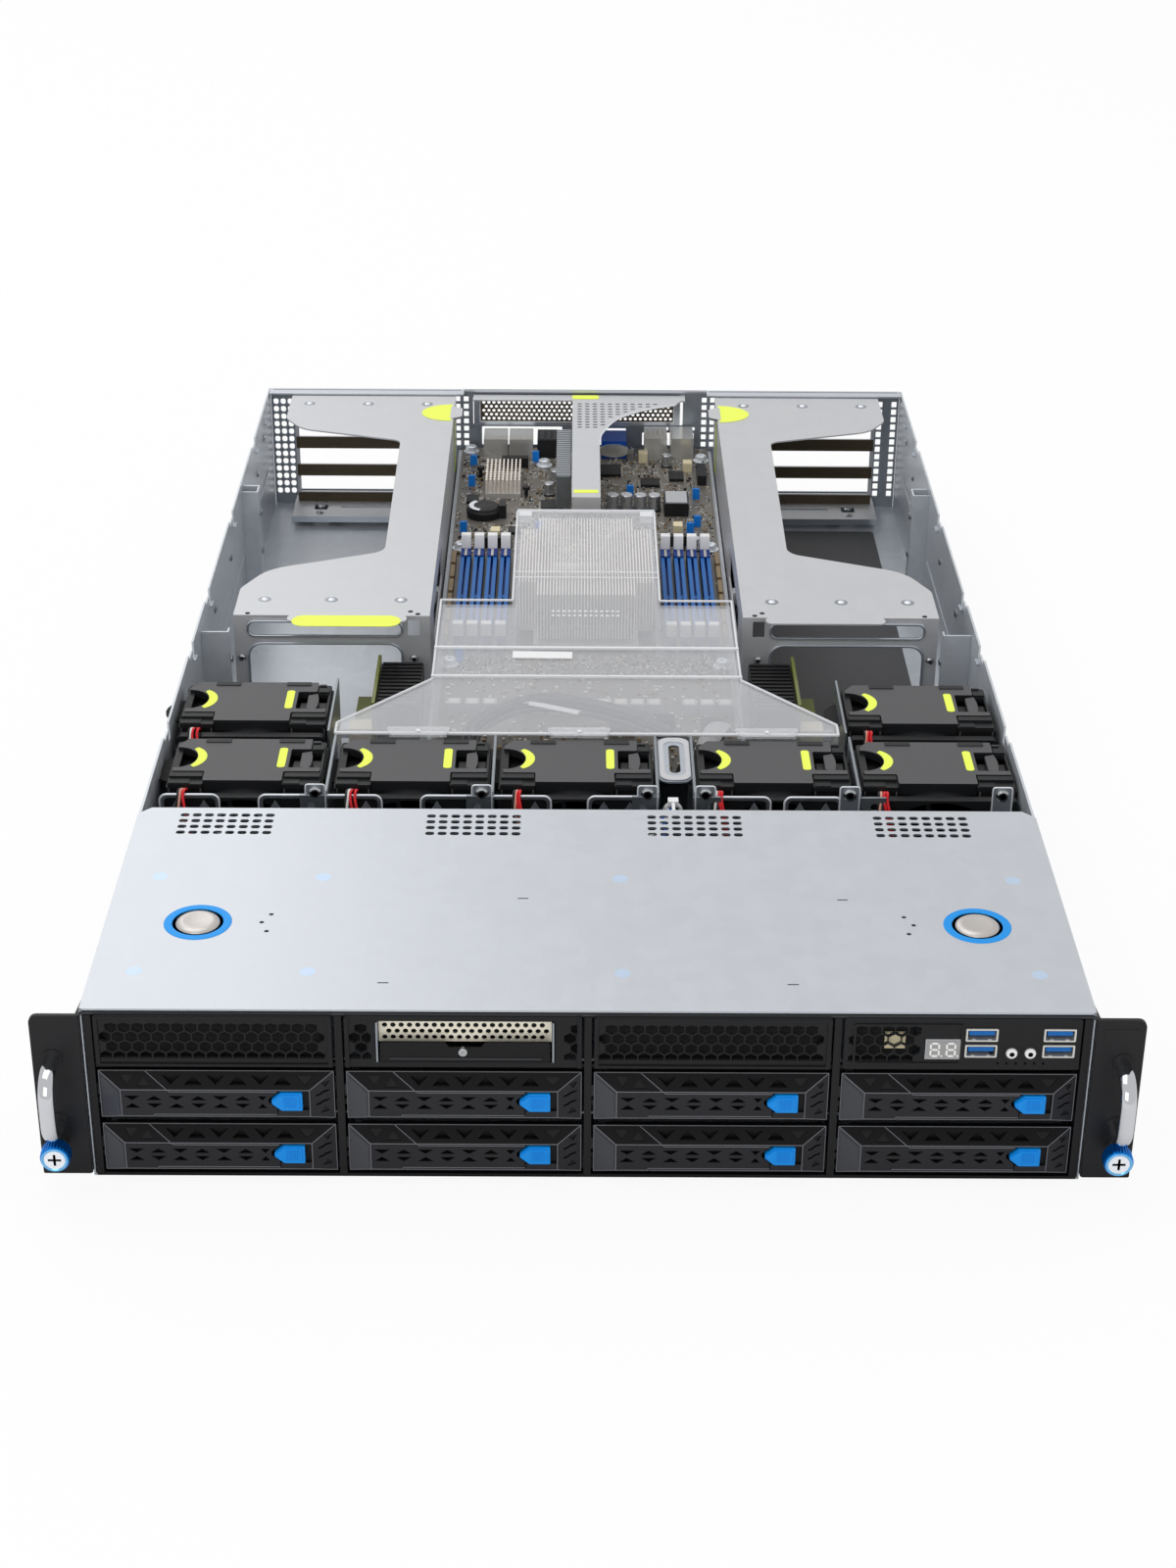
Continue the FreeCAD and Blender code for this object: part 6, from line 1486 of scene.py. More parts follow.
        # The well's floor is near black: painted shade.
        drawn.block((self.left + x0 - 1, self.left + x1 + 1), (self.front + y0 - 1, self.front + y1 + 1),
                    (top - 9.0, top - 8.0), "black_and_painted_shade")
        drawn.block((self.left + x0 + 1.6, self.left + x1 - 0.6), (self.front + y0 + 2.0, self.front + y1 - 6.0),
                    (top - 8.0, top - 4.6), "moulded_black")
        turn = np.linspace(-0.9, 0.9, 9)
        side = [self.at(x0 + 8.2 + 3.2 * math.cos(t), (y0 + y1) / 2 + 12.0 * math.sin(t)) for t in turn]
        drawn.plate(np.array([self.at(x0 + 5.6, y0 + 2.2), *side, self.at(x0 + 5.6, y1 - 2.6)]), (top - 3.4, top - 1.6),
                    Plane.LEVEL, "lid_grey")
        drawn.block((self.left + 71.6, self.left + self.width - 2.0), (self.front + y1 + 1.0, self.front + y1 + 6.0),
                    (top - 2.7, top - 1.4), "fan_black")
        drawn.block((self.left + 71.6, self.left + self.width - 4.0), (self.front + self.depth - 5.0,
                    self.front + self.depth - 3.4), (top - 2.7, top - 1.0), "panel_line")

    def marks(self, drawn: Surface) -> None:
        """The yellow crescent round the finger hollow, the hollow's floor painted near black as shade, and the yellow
        bar by the latch.
        """
        centre, turn = self.at(*self.hollow), np.linspace(-0.92, 0.92, 18)
        swell = 2.3 * np.maximum(np.cos(turn / 0.92 * np.pi / 2), 0.0) ** 0.4
        radius = self.hollow_radius + 2.4
        outer = np.stack([centre[0] + (radius + swell) * np.cos(turn), centre[1] + (radius + swell) * np.sin(turn)], 1)
        inner = np.stack([centre[0] + (radius - swell) * np.cos(turn), centre[1] + (radius - swell) * np.sin(turn)], 1)
        crescent = np.concatenate([outer[1:-1], inner[::-1][1:-1]])
        drawn.plate(crescent, (self.top - 0.9, self.top - 0.6), Plane.LEVEL, "mark_yellow")
        bar = rect((self.left + 55.0, self.left + 59.2), (self.front + 24.6, self.front + 46.2), 1.6)
        drawn.plate(bar, (self.top - 0.9, self.top - 0.6), Plane.LEVEL, "mark_yellow")
        # The hollow's floor is near black: painted shade.
        drawn.turned([(0.0, self.top - 9.0), (14.0, self.top - 9.0), (14.0, self.top - 8.0), (0.0, self.top - 8.0)],
                     (centre[0] + 2.0, centre[1], 0), 2, "black_and_painted_shade", 24)

    def leads(self, drawn: Surface) -> None:
        """Four thin leads that hang down in front at the left, and a short red one in the finger hollow."""
        colours = ("wire_black", "wire_pink" if self.number % 2 else "wire_white", "wire_red", "wire_red")
        rng = np.random.default_rng(SEED + self.number)
        for n, colour in enumerate(colours):
            side = n + rng.uniform(-0.7, 0.7)
            knots = [(*self.at(x, y), self.top - drop) for x, y, drop in (
                (9.0 + side * 0.6, 10.6, 7.4), (9.2 + side, 6.4, 4.2), (8.4 + side * 1.3, -1.6, 0.2),
                (8.0 + side * 1.3, -4.8, 2.6), (9.6 + side * 1.3 - 1.8 * (n < 2), -7.6 - 0.5 * n, 10.0),
                (12.0 + side, -10.0, 20.0))]
            drawn.tube(curve(knots, 22), 0.72, colour, 8, up=(1, 0.2, 0))
        centre = self.at(self.hollow[0] + self.hollow_radius - 1.4, self.hollow[1] - 4.0)
        drawn.tube(np.array([(centre[0] - 3.0, centre[1] - 3.0, self.top - 7.2), (*centre, self.top - 5.6),
                             (centre[0] - 0.6, centre[1] + 4.0, self.top - 6.6)]), 0.8, "wire_red", 8)

    def rotor(self) -> None:
        """A hub cup with five curved blades, on its own body."""
        name = f"fan_rotor_{self.number}"
        box = Extent.of(name)
        x, _, z = box.middle
        y0, y1 = box.span(1)
        hub, tip = 17.0, float(box.high[0] - box.low[0]) / 2
        drawn = Surface()
        drawn.turned([(0.0, y0), (hub - 2, y0), (hub, y0 + 1.5), (hub, y1), (0.0, y1)], (x, 0, z), 1, "fan_black", 36)
        share, along = np.linspace(0, 1, 9), np.linspace(0, 1, 9)
        radius = hub - 0.5 + (tip - hub + 0.5) * share
        for turn in np.linspace(0, 2 * np.pi, 5, endpoint=False):
            angle = turn + 0.95 * along[None] + 0.30 * (share[:, None] - share[:, None] ** 2) * 2
            y = y0 + 3.0 + (y1 - y0 - 5.0) * along[None] + 0 * radius[:, None]
            ring = np.stack([x + radius[:, None] * np.cos(angle), y, z + radius[:, None] * np.sin(angle)], -1)
            thick = np.stack([-np.sin(angle), 0 * angle, np.cos(angle)], -1) * 0.7
            section = np.concatenate([ring - thick, (ring + thick)[:, ::-1]], 1)
            drawn.net(section, "fan_black")
        drawn.piece(f"{name}_blades", name, [name], "black_plastic")


@dataclass
class FanWall:
    """Dressing of the fan wall: dividers, nut tabs, framed openings, the slotted clip, and the tied cable bundle."""

    dividers: tuple[float, ...] = (-130.7, -47.5, 35.4, 54.0, 136.6)
    tab_shift: float = 5.2
    shelves: tuple[Pair, ...] = ((-214.2, -184.4), (-164.6, -103.0), (-83.4, -18.2), (0.4, 29.6), (58.2, 92.0),
                                 (99.0, 128.0))

    def build(self) -> None:
        """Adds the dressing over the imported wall."""
        drawn = Surface()
        for x in self.dividers:
            side = 1 if 50 < x < 60 else -1
            self.tab(drawn, x + side * self.tab_shift)
            drawn.plate(rounded([(206.8, 66.0), (211.0, 66.0), (268.0, 79.0), (268.0, 84.6), (208.0, 84.6),
                                 (206.8, 82.0)], 0.8), (x - 0.75, x + 0.75), Plane.SIDEWAYS, "tray_steel")
        self.tab(drawn, 207.8)
        for x0, x1 in self.shelves:
            outer = rounded([(x0, 60.0), (x1, 60.0), (x1, 82.0), (x0, 82.0)], (0.5, 0.5, 3.6, 3.6), 6)
            hole = rounded([(x0 + 2.0, 62.0), (x1 - 2.0, 62.0), (x1 - 2.0, 80.2), (x0 + 2.0, 80.2)],
                           (0.5, 0.5, 2.4, 2.4), 6)
            drawn.plate(outer, (207.6, 209.2), Plane.UPRIGHT, "tray_steel", [hole], edge="edge_steel")
            self.highlight_bead(drawn, outer, 207.9, 0.55)
            for start, run in ((x0 + 2.0, 12.0), (x1 - 2.0, -12.0)):
                drawn.plate(wedge(start + run / 2, 69.0, abs(run) * 1.8, 18.0), (209.3, 209.9), Plane.UPRIGHT,
                            "rear_steel")
        clip = rounded([(37.0, 221.8), (52.6, 221.8), (52.6, 269.2), (37.0, 269.2)], 6.0, 6)
        slot = rounded([(42.0, 230.0), (47.6, 230.0), (47.6, 261.0), (42.0, 261.0)], 2.7, 6)
        rim = rounded([(39.4, 226.4), (50.2, 226.4), (50.2, 264.6), (39.4, 264.6)], 4.8, 6)
        drawn.plate(clip, (83.75, 84.35), Plane.LEVEL, "riser_steel", [rim], edge="edge_steel")
        drawn.plate(rim, (83.6, 84.05), Plane.LEVEL, "edge_steel", [slot])
        self.bundle(drawn)
        drawn.piece("fan_wall_fittings", "chassis", (), "galvanised_steel", bevel=0.15)

    def highlight_bead(self, drawn: Surface, outline: Array, y: float, radius: float) -> None:
        """A rolled edge round an upright sheet, drawn near white as a painted highlight."""
        ring = np.concatenate([outline, outline[:2]])
        drawn.tube(stacked(ring[:, 0], y, ring[:, 1]), radius, "screw_face", 8, up=(0, 1, 0))

    def tab(self, drawn: Surface, x: float) -> None:
        """A steel tab that carries a hexagonal nut."""
        outer = rounded([(x - 4.9, 69.0), (x + 4.9, 69.0), (x + 4.9, 88.8), (x - 4.9, 88.8)], (0.5, 0.5, 1.4, 1.4))
        drawn.plate(outer, (206.4, 207.4), Plane.UPRIGHT, "rear_steel", edge="edge_steel")
        self.highlight_bead(drawn, outer, 206.5, 0.4)
        drawn.turned([(1.5, 204.6), (2.4, 204.6), (3.4, 205.4), (3.4, 206.4), (1.5, 206.4), (1.5, 204.6)],
                     (x, 0, 84.4), 1, "screw_steel", 24)
        # A near-black disc in the nut's bore: painted shade.
        drawn.plate(disc(x, 84.4, 1.5, 16), (205.8, 206.3), Plane.UPRIGHT, "black_and_painted_shade")

    def bundle(self, drawn: Surface) -> None:
        """The cable bundle in the gap between two fans, with a white tie round it."""
        rng = np.random.default_rng(SEED)
        for n in range(9):
            angle = 2 * np.pi * n / 9
            dx, dz = 3.0 * math.cos(angle), 2.4 * math.sin(angle)
            loose = rng.uniform(-3.5, 3.5, 3)
            knots = [(44.5 + dx, 222.0, 62.0 + dz), (44.0 + dx, 214.0, 70.0 + dz), (43.0 + dx, 206.4, 74.6 + dz),
                     (40.4 + dx + loose[0], 199.0, 72.0 + dz), (34.0 + dx * 2 + loose[1], 192.0, 66.0 + dz),
                     (24.0 + dx * 3 + loose[2] * 2, 184.0 + n * 0.2, 60.0 + dz)]
            colour = ("wire_black", "wire_black", "wire_blue", "wire_white")[n % 4]
            drawn.tube(curve(knots, 24), 1.05, colour, 8)
        drawn.turned([(3.9, 204.6), (5.0, 204.6), (5.0, 207.6), (3.9, 207.6), (3.9, 204.6)], (43.0, 0, 74.6), 1,
                     "wire_white", 24)
        drawn.block((40.4, 45.6), (203.6, 208.2), (78.6, 81.6), "white_plastic")
        drawn.block((42.2, 43.8), (196.0, 204.0), (80.4, 81.0), "white_plastic")


# ---- risers -----------------------------------------------------------------------------------------------------
@dataclass
class RiserCage:
    """The dressing of one big riser cage: rivets, yellow and green marks, bright rims and the bars at the rear."""

    side: int
    top: float = 86.0
    inner: float = 89.2
    outer: float = 201.0
    front_rivets: tuple[float, ...] = (185.3, 146.9, 106.9)
    rear_rivets: tuple[float, ...] = (188.8, 148.6, 108.3)

    def x(self, distance: float) -> float:
        """A distance from the centre plane, on this side."""
        return self.side * distance

    def flat(self, points: Sequence[Pair]) -> list[Pair]:
        """Points with X given as a distance from the centre plane."""
        return [(self.x(u), v) for u, v in points]

    def build(self) -> None:
        """Makes the dressing as one piece that rides on the cage."""
        name = "left_riser_cage" if self.side < 0 else "right_riser_cage"
        drawn = Surface()
        rivet_places = [(u, 440.0) for u in self.front_rivets] + [(u, 771.0) for u in self.rear_rivets]
        for u, v in rivet_places:
            place = (self.x(u), v, self.top)
            drawn.turned([(3.9, -0.1), (3.9, 0.02), (3.0, 0.12), (2.1, 0.08), (2.1, -0.1), (3.9, -0.1)], place, 2,
                         "cut_edge", 28)
            drawn.turned([(0.0, 0.95), (1.0, 0.9), (1.7, 0.5), (2.0, 0.0), (2.0, -0.1), (0.0, -0.1)], place, 2,
                         "screw_face", 24)
        # Three near-black dots on the top sheet stand for holes: painted shade, with no opening.
        for u, v in ((96.0, 420.5), (193.0, 420.5), (100.4, 424.0)):
            drawn.plate(disc(self.x(u), v, 1.5, 12), (self.top, self.top + 0.12), Plane.LEVEL, "black_and_painted_shade")
        if self.side < 0:
            pill = rounded(self.flat([(167.0, 402.6), (105.2, 402.6), (105.2, 417.4), (167.0, 417.4)]), 7.2, 8)
            drawn.plate(pill, (self.top + 0.05, self.top + 0.4), Plane.LEVEL, "mark_yellow")
        self.rear_mark(drawn)
        self.bars(drawn)
        self.front_frame(drawn)
        drawn.piece(f"{name}_dressing", name, (), "galvanised_steel", bevel=0.12)

    def rear_mark(self, drawn: Surface) -> None:
        """The yellow half ellipse with its grey finger tab, and the green strip down the inner side."""
        turn = np.linspace(np.pi / 2, 3 * np.pi / 2, 20)
        half = np.stack([self.side * (self.inner + 1.4 - 20.5 * np.cos(turn)), 754.0 + 16.0 * np.sin(turn)], 1)
        drawn.plate(half, (self.top + 0.04, self.top + 0.34), Plane.LEVEL, "mark_yellow")
        tab = rounded(self.flat([(91.6, 741.5), (91.6, 766.5), (83.6, 762.0), (83.6, 746.0)]), (0.8, 0.8, 3.0, 3.0), 5)
        drawn.plate(tab, (self.top - 1.2, self.top + 0.5), Plane.LEVEL, "riser_steel", edge="edge_steel")
        drawn.block(ordered(self.x(self.inner - 0.5), self.x(self.inner - 0.15)), (747.0, 751.0),
                    (46.0, self.top - 1.0), "mark_green")

    def bars(self, drawn: Surface) -> None:
        """Bronze faces of the rear plate's bars, between its card slots, painted darker for the shade they lie in."""
        x = ordered(self.x(94.0), self.x(200.6))
        for z in ((8.6, 15.4), (28.1, 36.4), (48.4, 56.7), (69.0, 76.8)):
            drawn.block(x, (784.6, 785.2), z, "bronze_in_painted_shade")

    def front_frame(self, drawn: Surface) -> None:
        """Rolled rims round the two windows of the front frame, and three screws in it."""
        y = 416.8
        for u, v, radius in (((193.0, 105.0), (73.6, 82.6), 4.0), ((193.0, 105.0), (14.0, 69.0), 8.0)):
            x = ordered(self.x(u[0]), self.x(u[1]))
            line = rounded([(x[0], v[0]), (x[1], v[0]), (x[1], v[1]), (x[0], v[1])], radius, 6)
            line = np.concatenate([line, line[:2]])
            drawn.tube(stacked(line[:, 0], y, line[:, 1]), 0.8, "edge_steel", 8, up=(0, 1, 0))
        for u, v in ((98.4, 60.0), (98.4, 30.0), (197.0, 60.0)):
            drawn.turned([(0.0, y - 1.9), (1.3, y - 1.9), (2.3, y - 1.2), (2.3, y - 0.2), (0.0, y - 0.2)],
                         (self.x(u), 0, v), 1, "screw_steel", 20)


@dataclass
class CentreRiser:
    """The middle riser: its flared, slotted top, its card, and two bronze brackets pierced with round holes."""

    x: Pair = (-8.9, 9.4)
    y: Pair = (607.0, 786.0)
    top: float = 84.0
    sheet: float = 1.0
    flare: tuple[Pair, ...] = ((9.4, 704.0), (11.4, 722.0), (21.5, 749.0), (40.0, 767.0), (62.0, 778.0))
    brackets: tuple[Pair, ...] = ((-73.5, -2.0), (4.0, 62.0))
    bracket_z: Pair = (64.0, 80.4)

    def build(self) -> None:
        """Makes the riser as one piece."""
        drawn = Surface()
        (left, right), (front, rear), top = self.x, self.y, self.top
        sweep = curve([(*corner, top - 0.3) for corner in self.flare], 26)
        outer = np.concatenate([[(left, front), (right, front)], sweep[:, :2], [(66.0, rear), (left, rear)]])
        slots = [rect(around(u, 3.2), around(v, 2.0), 0.8, 2)
                 for u, v in lattice((left + 5.0, left + 57.0), (733.0, 779.0), 11, 10)]
        slots = [slot for slot in slots if inside(np.concatenate([slot + (0, -2.6), slot + (2.6, 0)]), outer).all()]
        level = (top - self.sheet, top)
        drawn.plate(outer, level, Plane.LEVEL, "riser_steel", slots, edge="edge_steel")
        drawn.block(self.x, (front - 1.0, front), (top - 10.0, top), "riser_steel")
        drawn.block((-77.4, 69.0), (rear, 797.8), level, "riser_steel")
        drawn.block((-5.6, -4.0), (612.0, 730.0), (62.0, top - self.sheet), "board_green")
        for x in (left + 0.4, right - 0.4):
            drawn.block(around(x, 0.8), (front, 700.0), (top - 4.0, top - self.sheet), "riser_steel")
        # A near-white line along the flared edge: a painted highlight.
        drawn.tube(sweep, 0.5, "screw_face", 8)
        drawn.block((-18.6, -10.0), (652.0, 738.0), (58.0, 80.0), "tray_steel")
        for y in np.arange(654.0, 736.0, 3.4):
            drawn.block((-19.2, -9.6), (y, y + 1.6), (59.0, 80.6), "drive_grey")
        drawn.plate(rect((-7.6, 8.0), (613.6, 618.4), 0.4), (top, top + 0.3), Plane.LEVEL, "mark_yellow")
        drawn.plate(rect((-9.0, 9.4), (788.6, 795.6), 1.6), (top, top + 0.35), Plane.LEVEL, "mark_yellow")
        drawn.plate(rect((-77.4, 66.0), (62.2, top)), (796.8, 797.8), Plane.UPRIGHT, "edge_steel",
                    [rect(x, self.bracket_z) for x in self.brackets])
        for x in self.brackets:
            self.bracket(drawn, x)
        drawn.piece("centre_riser_frame", "centre_riser", ["centre_riser"], "galvanised_steel")

    def bracket(self, drawn: Surface, x: Pair) -> None:
        """A bronze bracket with staggered round holes, in a bright rim."""
        low, high = self.bracket_z
        holes = [disc(u, v, 1.15, 10) for row, v in enumerate(np.arange(low + 2.6, high - 1.4, 2.9))
                 for u in np.arange(x[0] + 3.0 + 1.75 * (row % 2), x[1] - 2.4, 3.5)]
        # The bracket's bronze is painted darker for the shade it lies in.
        drawn.plate(rect((x[0] + 0.1, x[1] - 0.1), (low + 0.1, high - 0.1)), (797.0, 797.6), Plane.UPRIGHT,
                    "bronze_in_painted_shade", holes)
        drawn.plate(rect(x, (low, high)), (796.2, 796.8), Plane.UPRIGHT, "screw_face",
                    [rect((x[0] + 0.8, x[1] - 0.8), (low + 0.8, high - 0.8))])


# ---- cooler, memory and board -----------------------------------------------------------------------------------
@dataclass
class Cooler:
    """The processor's fin stack with its pierced top, spring screws and base."""

    half: float = 39.5
    y: Pair = (458.0, 576.0)
    z: Pair = (50.0, 82.0)
    fins: int = 44

    def build(self) -> None:
        """Makes the stack."""
        drawn = Surface()
        x = np.linspace(-self.half + 0.2, self.half - 0.2, self.fins)
        mid = np.abs(x) < 30.0
        for part, y0, y1 in ((mid, self.y[0], self.y[1]), (~mid, self.y[0] + 18.0, self.y[1] - 18.0)):
            low = stacked(x[part] - 0.36, y0, self.z[0] + 4.0)
            drawn.boxes(low, stacked(x[part] + 0.36, y1, self.z[1]), "fin_metal")
        drawn.block((-self.half, self.half), (self.y[0] + 18, self.y[1] - 18), (self.z[0] + 1.0, self.z[0] + 4.4),
                    "fin_block")
        drawn.block((-31.0, 31.0), (self.y[0] - 2.0, self.y[1] + 2.0), (self.z[0] - 1.8, self.z[0] + 1.2), "fin_block")
        drawn.block((-29.0, 29.0), (self.y[0] + 4.0, self.y[1] - 4.0), (46.1, self.z[0] - 1.8), "socket_metal")
        for x0 in (-24.5, 24.5):
            for y0 in (465.0, 569.0):
                drawn.turned([(0.0, 66.0), (1.2, 66.0), (1.2, 67.0), (2.6, 67.4), (3.2, 66.6), (3.2, 64.0), (2.2, 63.6),
                              (2.2, 50.4), (0.0, 50.4)], (x0, y0, 0), 2, "screw_steel", 20)
                turns = np.linspace(0, 7 * 2 * np.pi, 100)
                coil = np.stack([x0 + 3.0 * np.cos(turns), y0 + 3.0 * np.sin(turns),
                                 51.4 + 11.6 * turns / turns[-1]], 1)
                drawn.tube(coil, 0.4, "screw_steel", 6)
        drawn.piece("cooler", "chassis", ["cpu_heat_sink"], "fin_aluminium")


@dataclass
class Board:
    """The main board with its memory sockets, connectors, chips and small parts."""

    x: Pair = (-85.5, 85.5)
    y: Pair = (304.0, 794.0)
    top: float = 46.0
    deck_top: float = 43.4
    sockets_x: tuple[float, ...] = (50.3, 58.6, 66.9, 75.2)
    sockets_y: Pair = (457.0, 597.0)
    cell: Pair = (-66.5, 669.0)
    seed: int = SEED
    taken: list[tuple[float, float, float, float]] = field(default_factory=list)

    def build(self) -> None:
        """Makes the board as one piece."""
        drawn = Surface()
        drawn.plate(rect(self.x, self.y), (self.top - 1.6, self.top), Plane.LEVEL, "board_dark",
                    edge="board_brown")
        for x in (-80.0, 0.0, 80.0):
            for y in (312.0, 450.0, 600.0, 786.0):
                drawn.turned([(0.0, self.deck_top), (2.6, self.deck_top), (2.6, self.top - 1.6), (0.0, self.top - 1.6)],
                             (x, y, 0), 2, "gold", 6)
        for side in (-1, 1):
            for u in self.sockets_x:
                self.memory(drawn, side * u)
        self.rear_ports(drawn)
        self.named_parts(drawn)
        self.card_boards(drawn)
        self.small_parts(drawn)
        drawn.piece("board", "chassis", ["mainboard"], "circuit_board")

    def part(self, drawn: Surface, x: Pair, y: Pair, height: float, finish: str, foot: float = 0.0) -> None:
        """A block on the board, which keeps its place free of small parts."""
        drawn.block(x, y, (self.top + foot, self.top + height), finish)
        self.taken.append((x[0], x[1], y[0], y[1]))

    def memory(self, drawn: Surface, x: float) -> None:
        """A memory socket: two blue rails with a dark groove, and a white latch at each end."""
        y0, y1 = self.sockets_y
        self.taken.append((x - 3.8, x + 3.8, y0 - 4, y1 + 4))
        drawn.block((x - 3.1, x + 3.1), (y0 + 6, y1 - 6), (self.top, self.top + 3.6), "navy")
        for u in (-1.9, 1.9):
            drawn.block((x + u - 1.15, x + u + 1.15), (y0 + 7, y1 - 8.5), (self.top + 3.6, self.top + 8.4),
                        "socket_blue")
        drawn.block((x - 1.0, x + 1.0), (y0 + 8, y1 - 10), (self.top + 3.4, self.top + 4.0), "navy")
        drawn.block((x - 0.5, x + 0.5), (y0 + 60, y0 + 64), (self.top + 3.6, self.top + 8.0), "socket_blue")
        for y, turn in ((y0 + 3.5, -1), (y1 - 3.5, 1)):
            drawn.block((x - 3.1, x + 3.1), ordered(y + turn * 3.4, y - turn * 14.0),
                        (self.top, self.top + 9.2), "navy")
            latch = rounded([(y - turn * 3.6, self.top + 9.0), (y + turn * 2.6, self.top + 9.0),
                             (y + turn * 3.6, self.top + 17.8), (y - turn * 1.6, self.top + 17.8)], 0.7)
            latch = latch if turn > 0 else latch[::-1]
            drawn.plate(latch, (x - 3.0, x + 3.0), Plane.SIDEWAYS, "white_plastic")
            drawn.block((x - 0.8, x + 0.8), ordered(y - turn * 4.4, y - turn * 14.6),
                        (self.top + 9.0, self.top + 9.7), "part_tin")

    def rear_ports(self, drawn: Surface) -> None:
        """The connectors along the rear edge."""
        y = (772.0, 796.0)
        for x0, x1 in ((-70.0, -53.6), (-52.4, -36.0)):
            self.part(drawn, (x0, x1), (774.0, 796.0), 13.6, "port_silver")
            drawn.block((x0 + 2.0, x1 - 2.0), (790.0, 796.4), (self.top + 2.0, self.top + 12.0), "chip_black")
        self.part(drawn, (-33.0, -18.0), (774.0, 796.0), 13.0, "chip_black")
        for n in range(3):
            drawn.block((-31.0 + 4.4 * n, -28.4 + 4.4 * n), (775.0, 792.0), (self.top + 13.0, self.top + 13.5),
                        "panel_line")
        self.part(drawn, (11.3, 28.5), (774.0, 796.0), 12.6, "port_blue")
        drawn.plate(oval((19.9, self.top + 6.3), (10.6, 4.6), 24), (771.8, 774.2), Plane.UPRIGHT, "port_silver")
        for x0 in (8.2, 31.6):
            drawn.turned([(0.0, 770.6), (2.6, 770.6), (2.6, 774.0), (0.0, 774.0)], (x0, 0, self.top + 6.3), 1,
                         "screw_steel", 6)
        for x0, x1 in ((41.0, 56.6), (59.0, 74.7)):
            self.part(drawn, (x0, x1), y, 15.6, "port_silver")
            for z in (4.6, 11.4):
                drawn.block((x0 + 1.2, x1 - 1.2), (795.8, 796.4), (self.top + z - 2.4, self.top + z + 2.4),
                            "chip_black")

    def named_parts(self, drawn: Surface) -> None:
        """The battery, the finned chip, capacitors, chips, screws, jumpers and pin strips."""
        top = self.top
        drawn.turned([(0.0, top), (11.4, top), (11.8, top + 4.6), (10.6, top + 6.0), (0.0, top + 6.0)],
                     (*self.cell, 0), 2, "chip_black", 36)
        drawn.turned([(0.0, top + 6.0), (9.8, top + 6.0), (9.8, top + 6.5), (9.2, top + 6.9), (0.0, top + 6.9)],
                     (*self.cell, 0), 2, "chip_black", 36)
        turn = np.linspace(2.2, 4.4, 16)
        crescent = np.concatenate([
            np.stack([self.cell[0] + r * np.cos(t), self.cell[1] + r * np.sin(t)], 1)
            for r, t in ((9.9, turn), (6.9, turn[::-1]))])
        drawn.plate(crescent, (top + 6.9, top + 7.2), Plane.LEVEL, "screw_face")
        drawn.block((-56.5, -52.0), (663.0, 675.0), (top, top + 9.0), "chip_black")
        self.taken.append((-80.0, -51.0, 655.0, 683.0))
        self.part(drawn, (-66.8, -43.3), (700.0, 740.0), 3.0, "fin_block")
        grid = lattice((-66.0, -44.1), (700.6, 736.6), 9, 9)
        low = stacked(grid[:, 0] - 0.55, grid[:, 1], top + 3.0)
        high = stacked(grid[:, 0] + 0.55, grid[:, 1] + 2.9, top + 12.5)
        drawn.boxes(low, high, "fin_metal")
        for x0, y0 in ((-71.0, 738.0), (-39.4, 702.0)):
            drawn.turned([(0.0, top + 8.0), (2.4, top + 7.4), (2.6, top + 5.4), (1.3, top + 5.0), (1.3, top),
                          (0.0, top)], (x0, y0, 0), 2, "chip_black", 20)
        for x0 in (18.0, 27.2, 36.4, 45.6):
            self.can(drawn, x0, 680.0, 4.1, 11.0)
        for x0, y0 in ((56.0, 760.0), (-24.0, 706.0), (70.0, 612.0), (-20.0, 730.0)):
            self.can(drawn, x0, y0, 3.4, 8.6)
        self.part(drawn, (52.0, 68.0), (668.0, 690.0), 9.0, "chip_black")
        drawn.block((53.0, 67.0), (669.0, 689.0), (top + 9.0, top + 9.8), "display_grey")
        for x0, y0, wide, long in ((15.0, 748.0, 19.0, 19.0), (44.0, 726.0, 13.0, 13.0), (-22.0, 684.0, 15.0, 15.0),
                                   (62.0, 738.0, 10.0, 15.0), (-75.0, 694.0, 8.0, 12.0), (-10.0, 756.0, 9.0, 9.0),
                                   (-45.0, 640.0, 10.0, 10.0), (34.0, 634.0, 12.0, 9.0), (-6.0, 640.0, 9.0, 12.0)):
            self.chip(drawn, x0, y0, wide, long)
        for x0, y0 in ((-79.4, 438.0), (79.4, 437.0), (-79.8, 612.0), (79.8, 612.0), (-79.0, 786.0), (80.0, 770.0),
                       (-28.0, 760.0), (2.0, 700.0)):
            drawn.turned([(0.0, top + 0.1), (5.4, top + 0.1), (5.4, top + 0.8), (0.0, top + 0.8)], (x0, y0, 0), 2,
                         "screw_face", 28)
            drawn.turned([(0.0, top + 0.8), (3.9, top + 0.8), (3.9, top + 4.0), (3.2, top + 4.5), (1.6, top + 4.5),
                          (1.6, top + 3.0), (0.0, top + 3.0)], (x0, y0, 0), 2, "screw_face", 6)
        for x0, y0 in ((-76.5, 722.0), (-76.5, 760.0), (-34.0, 768.0), (-30.0, 640.0), (74.0, 700.0), (73.0, 652.0),
                       (-74.0, 444.0), (68.0, 640.0), (30.0, 705.0), (-79.0, 640.0)):
            self.part(drawn, around(x0, 4.6), around(y0, 2.8), 7.4, "jumper_blue")
            drawn.boxes([(x0 + u - 0.35, y0 - 0.35, top + 7.4) for u in (-1.2, 1.2)],
                        [(x0 + u + 0.35, y0 + 0.35, top + 8.6) for u in (-1.2, 1.2)], "gold")
        for side in (-1, 1):
            for y0 in np.arange(470.0, 600.0, 22.0):
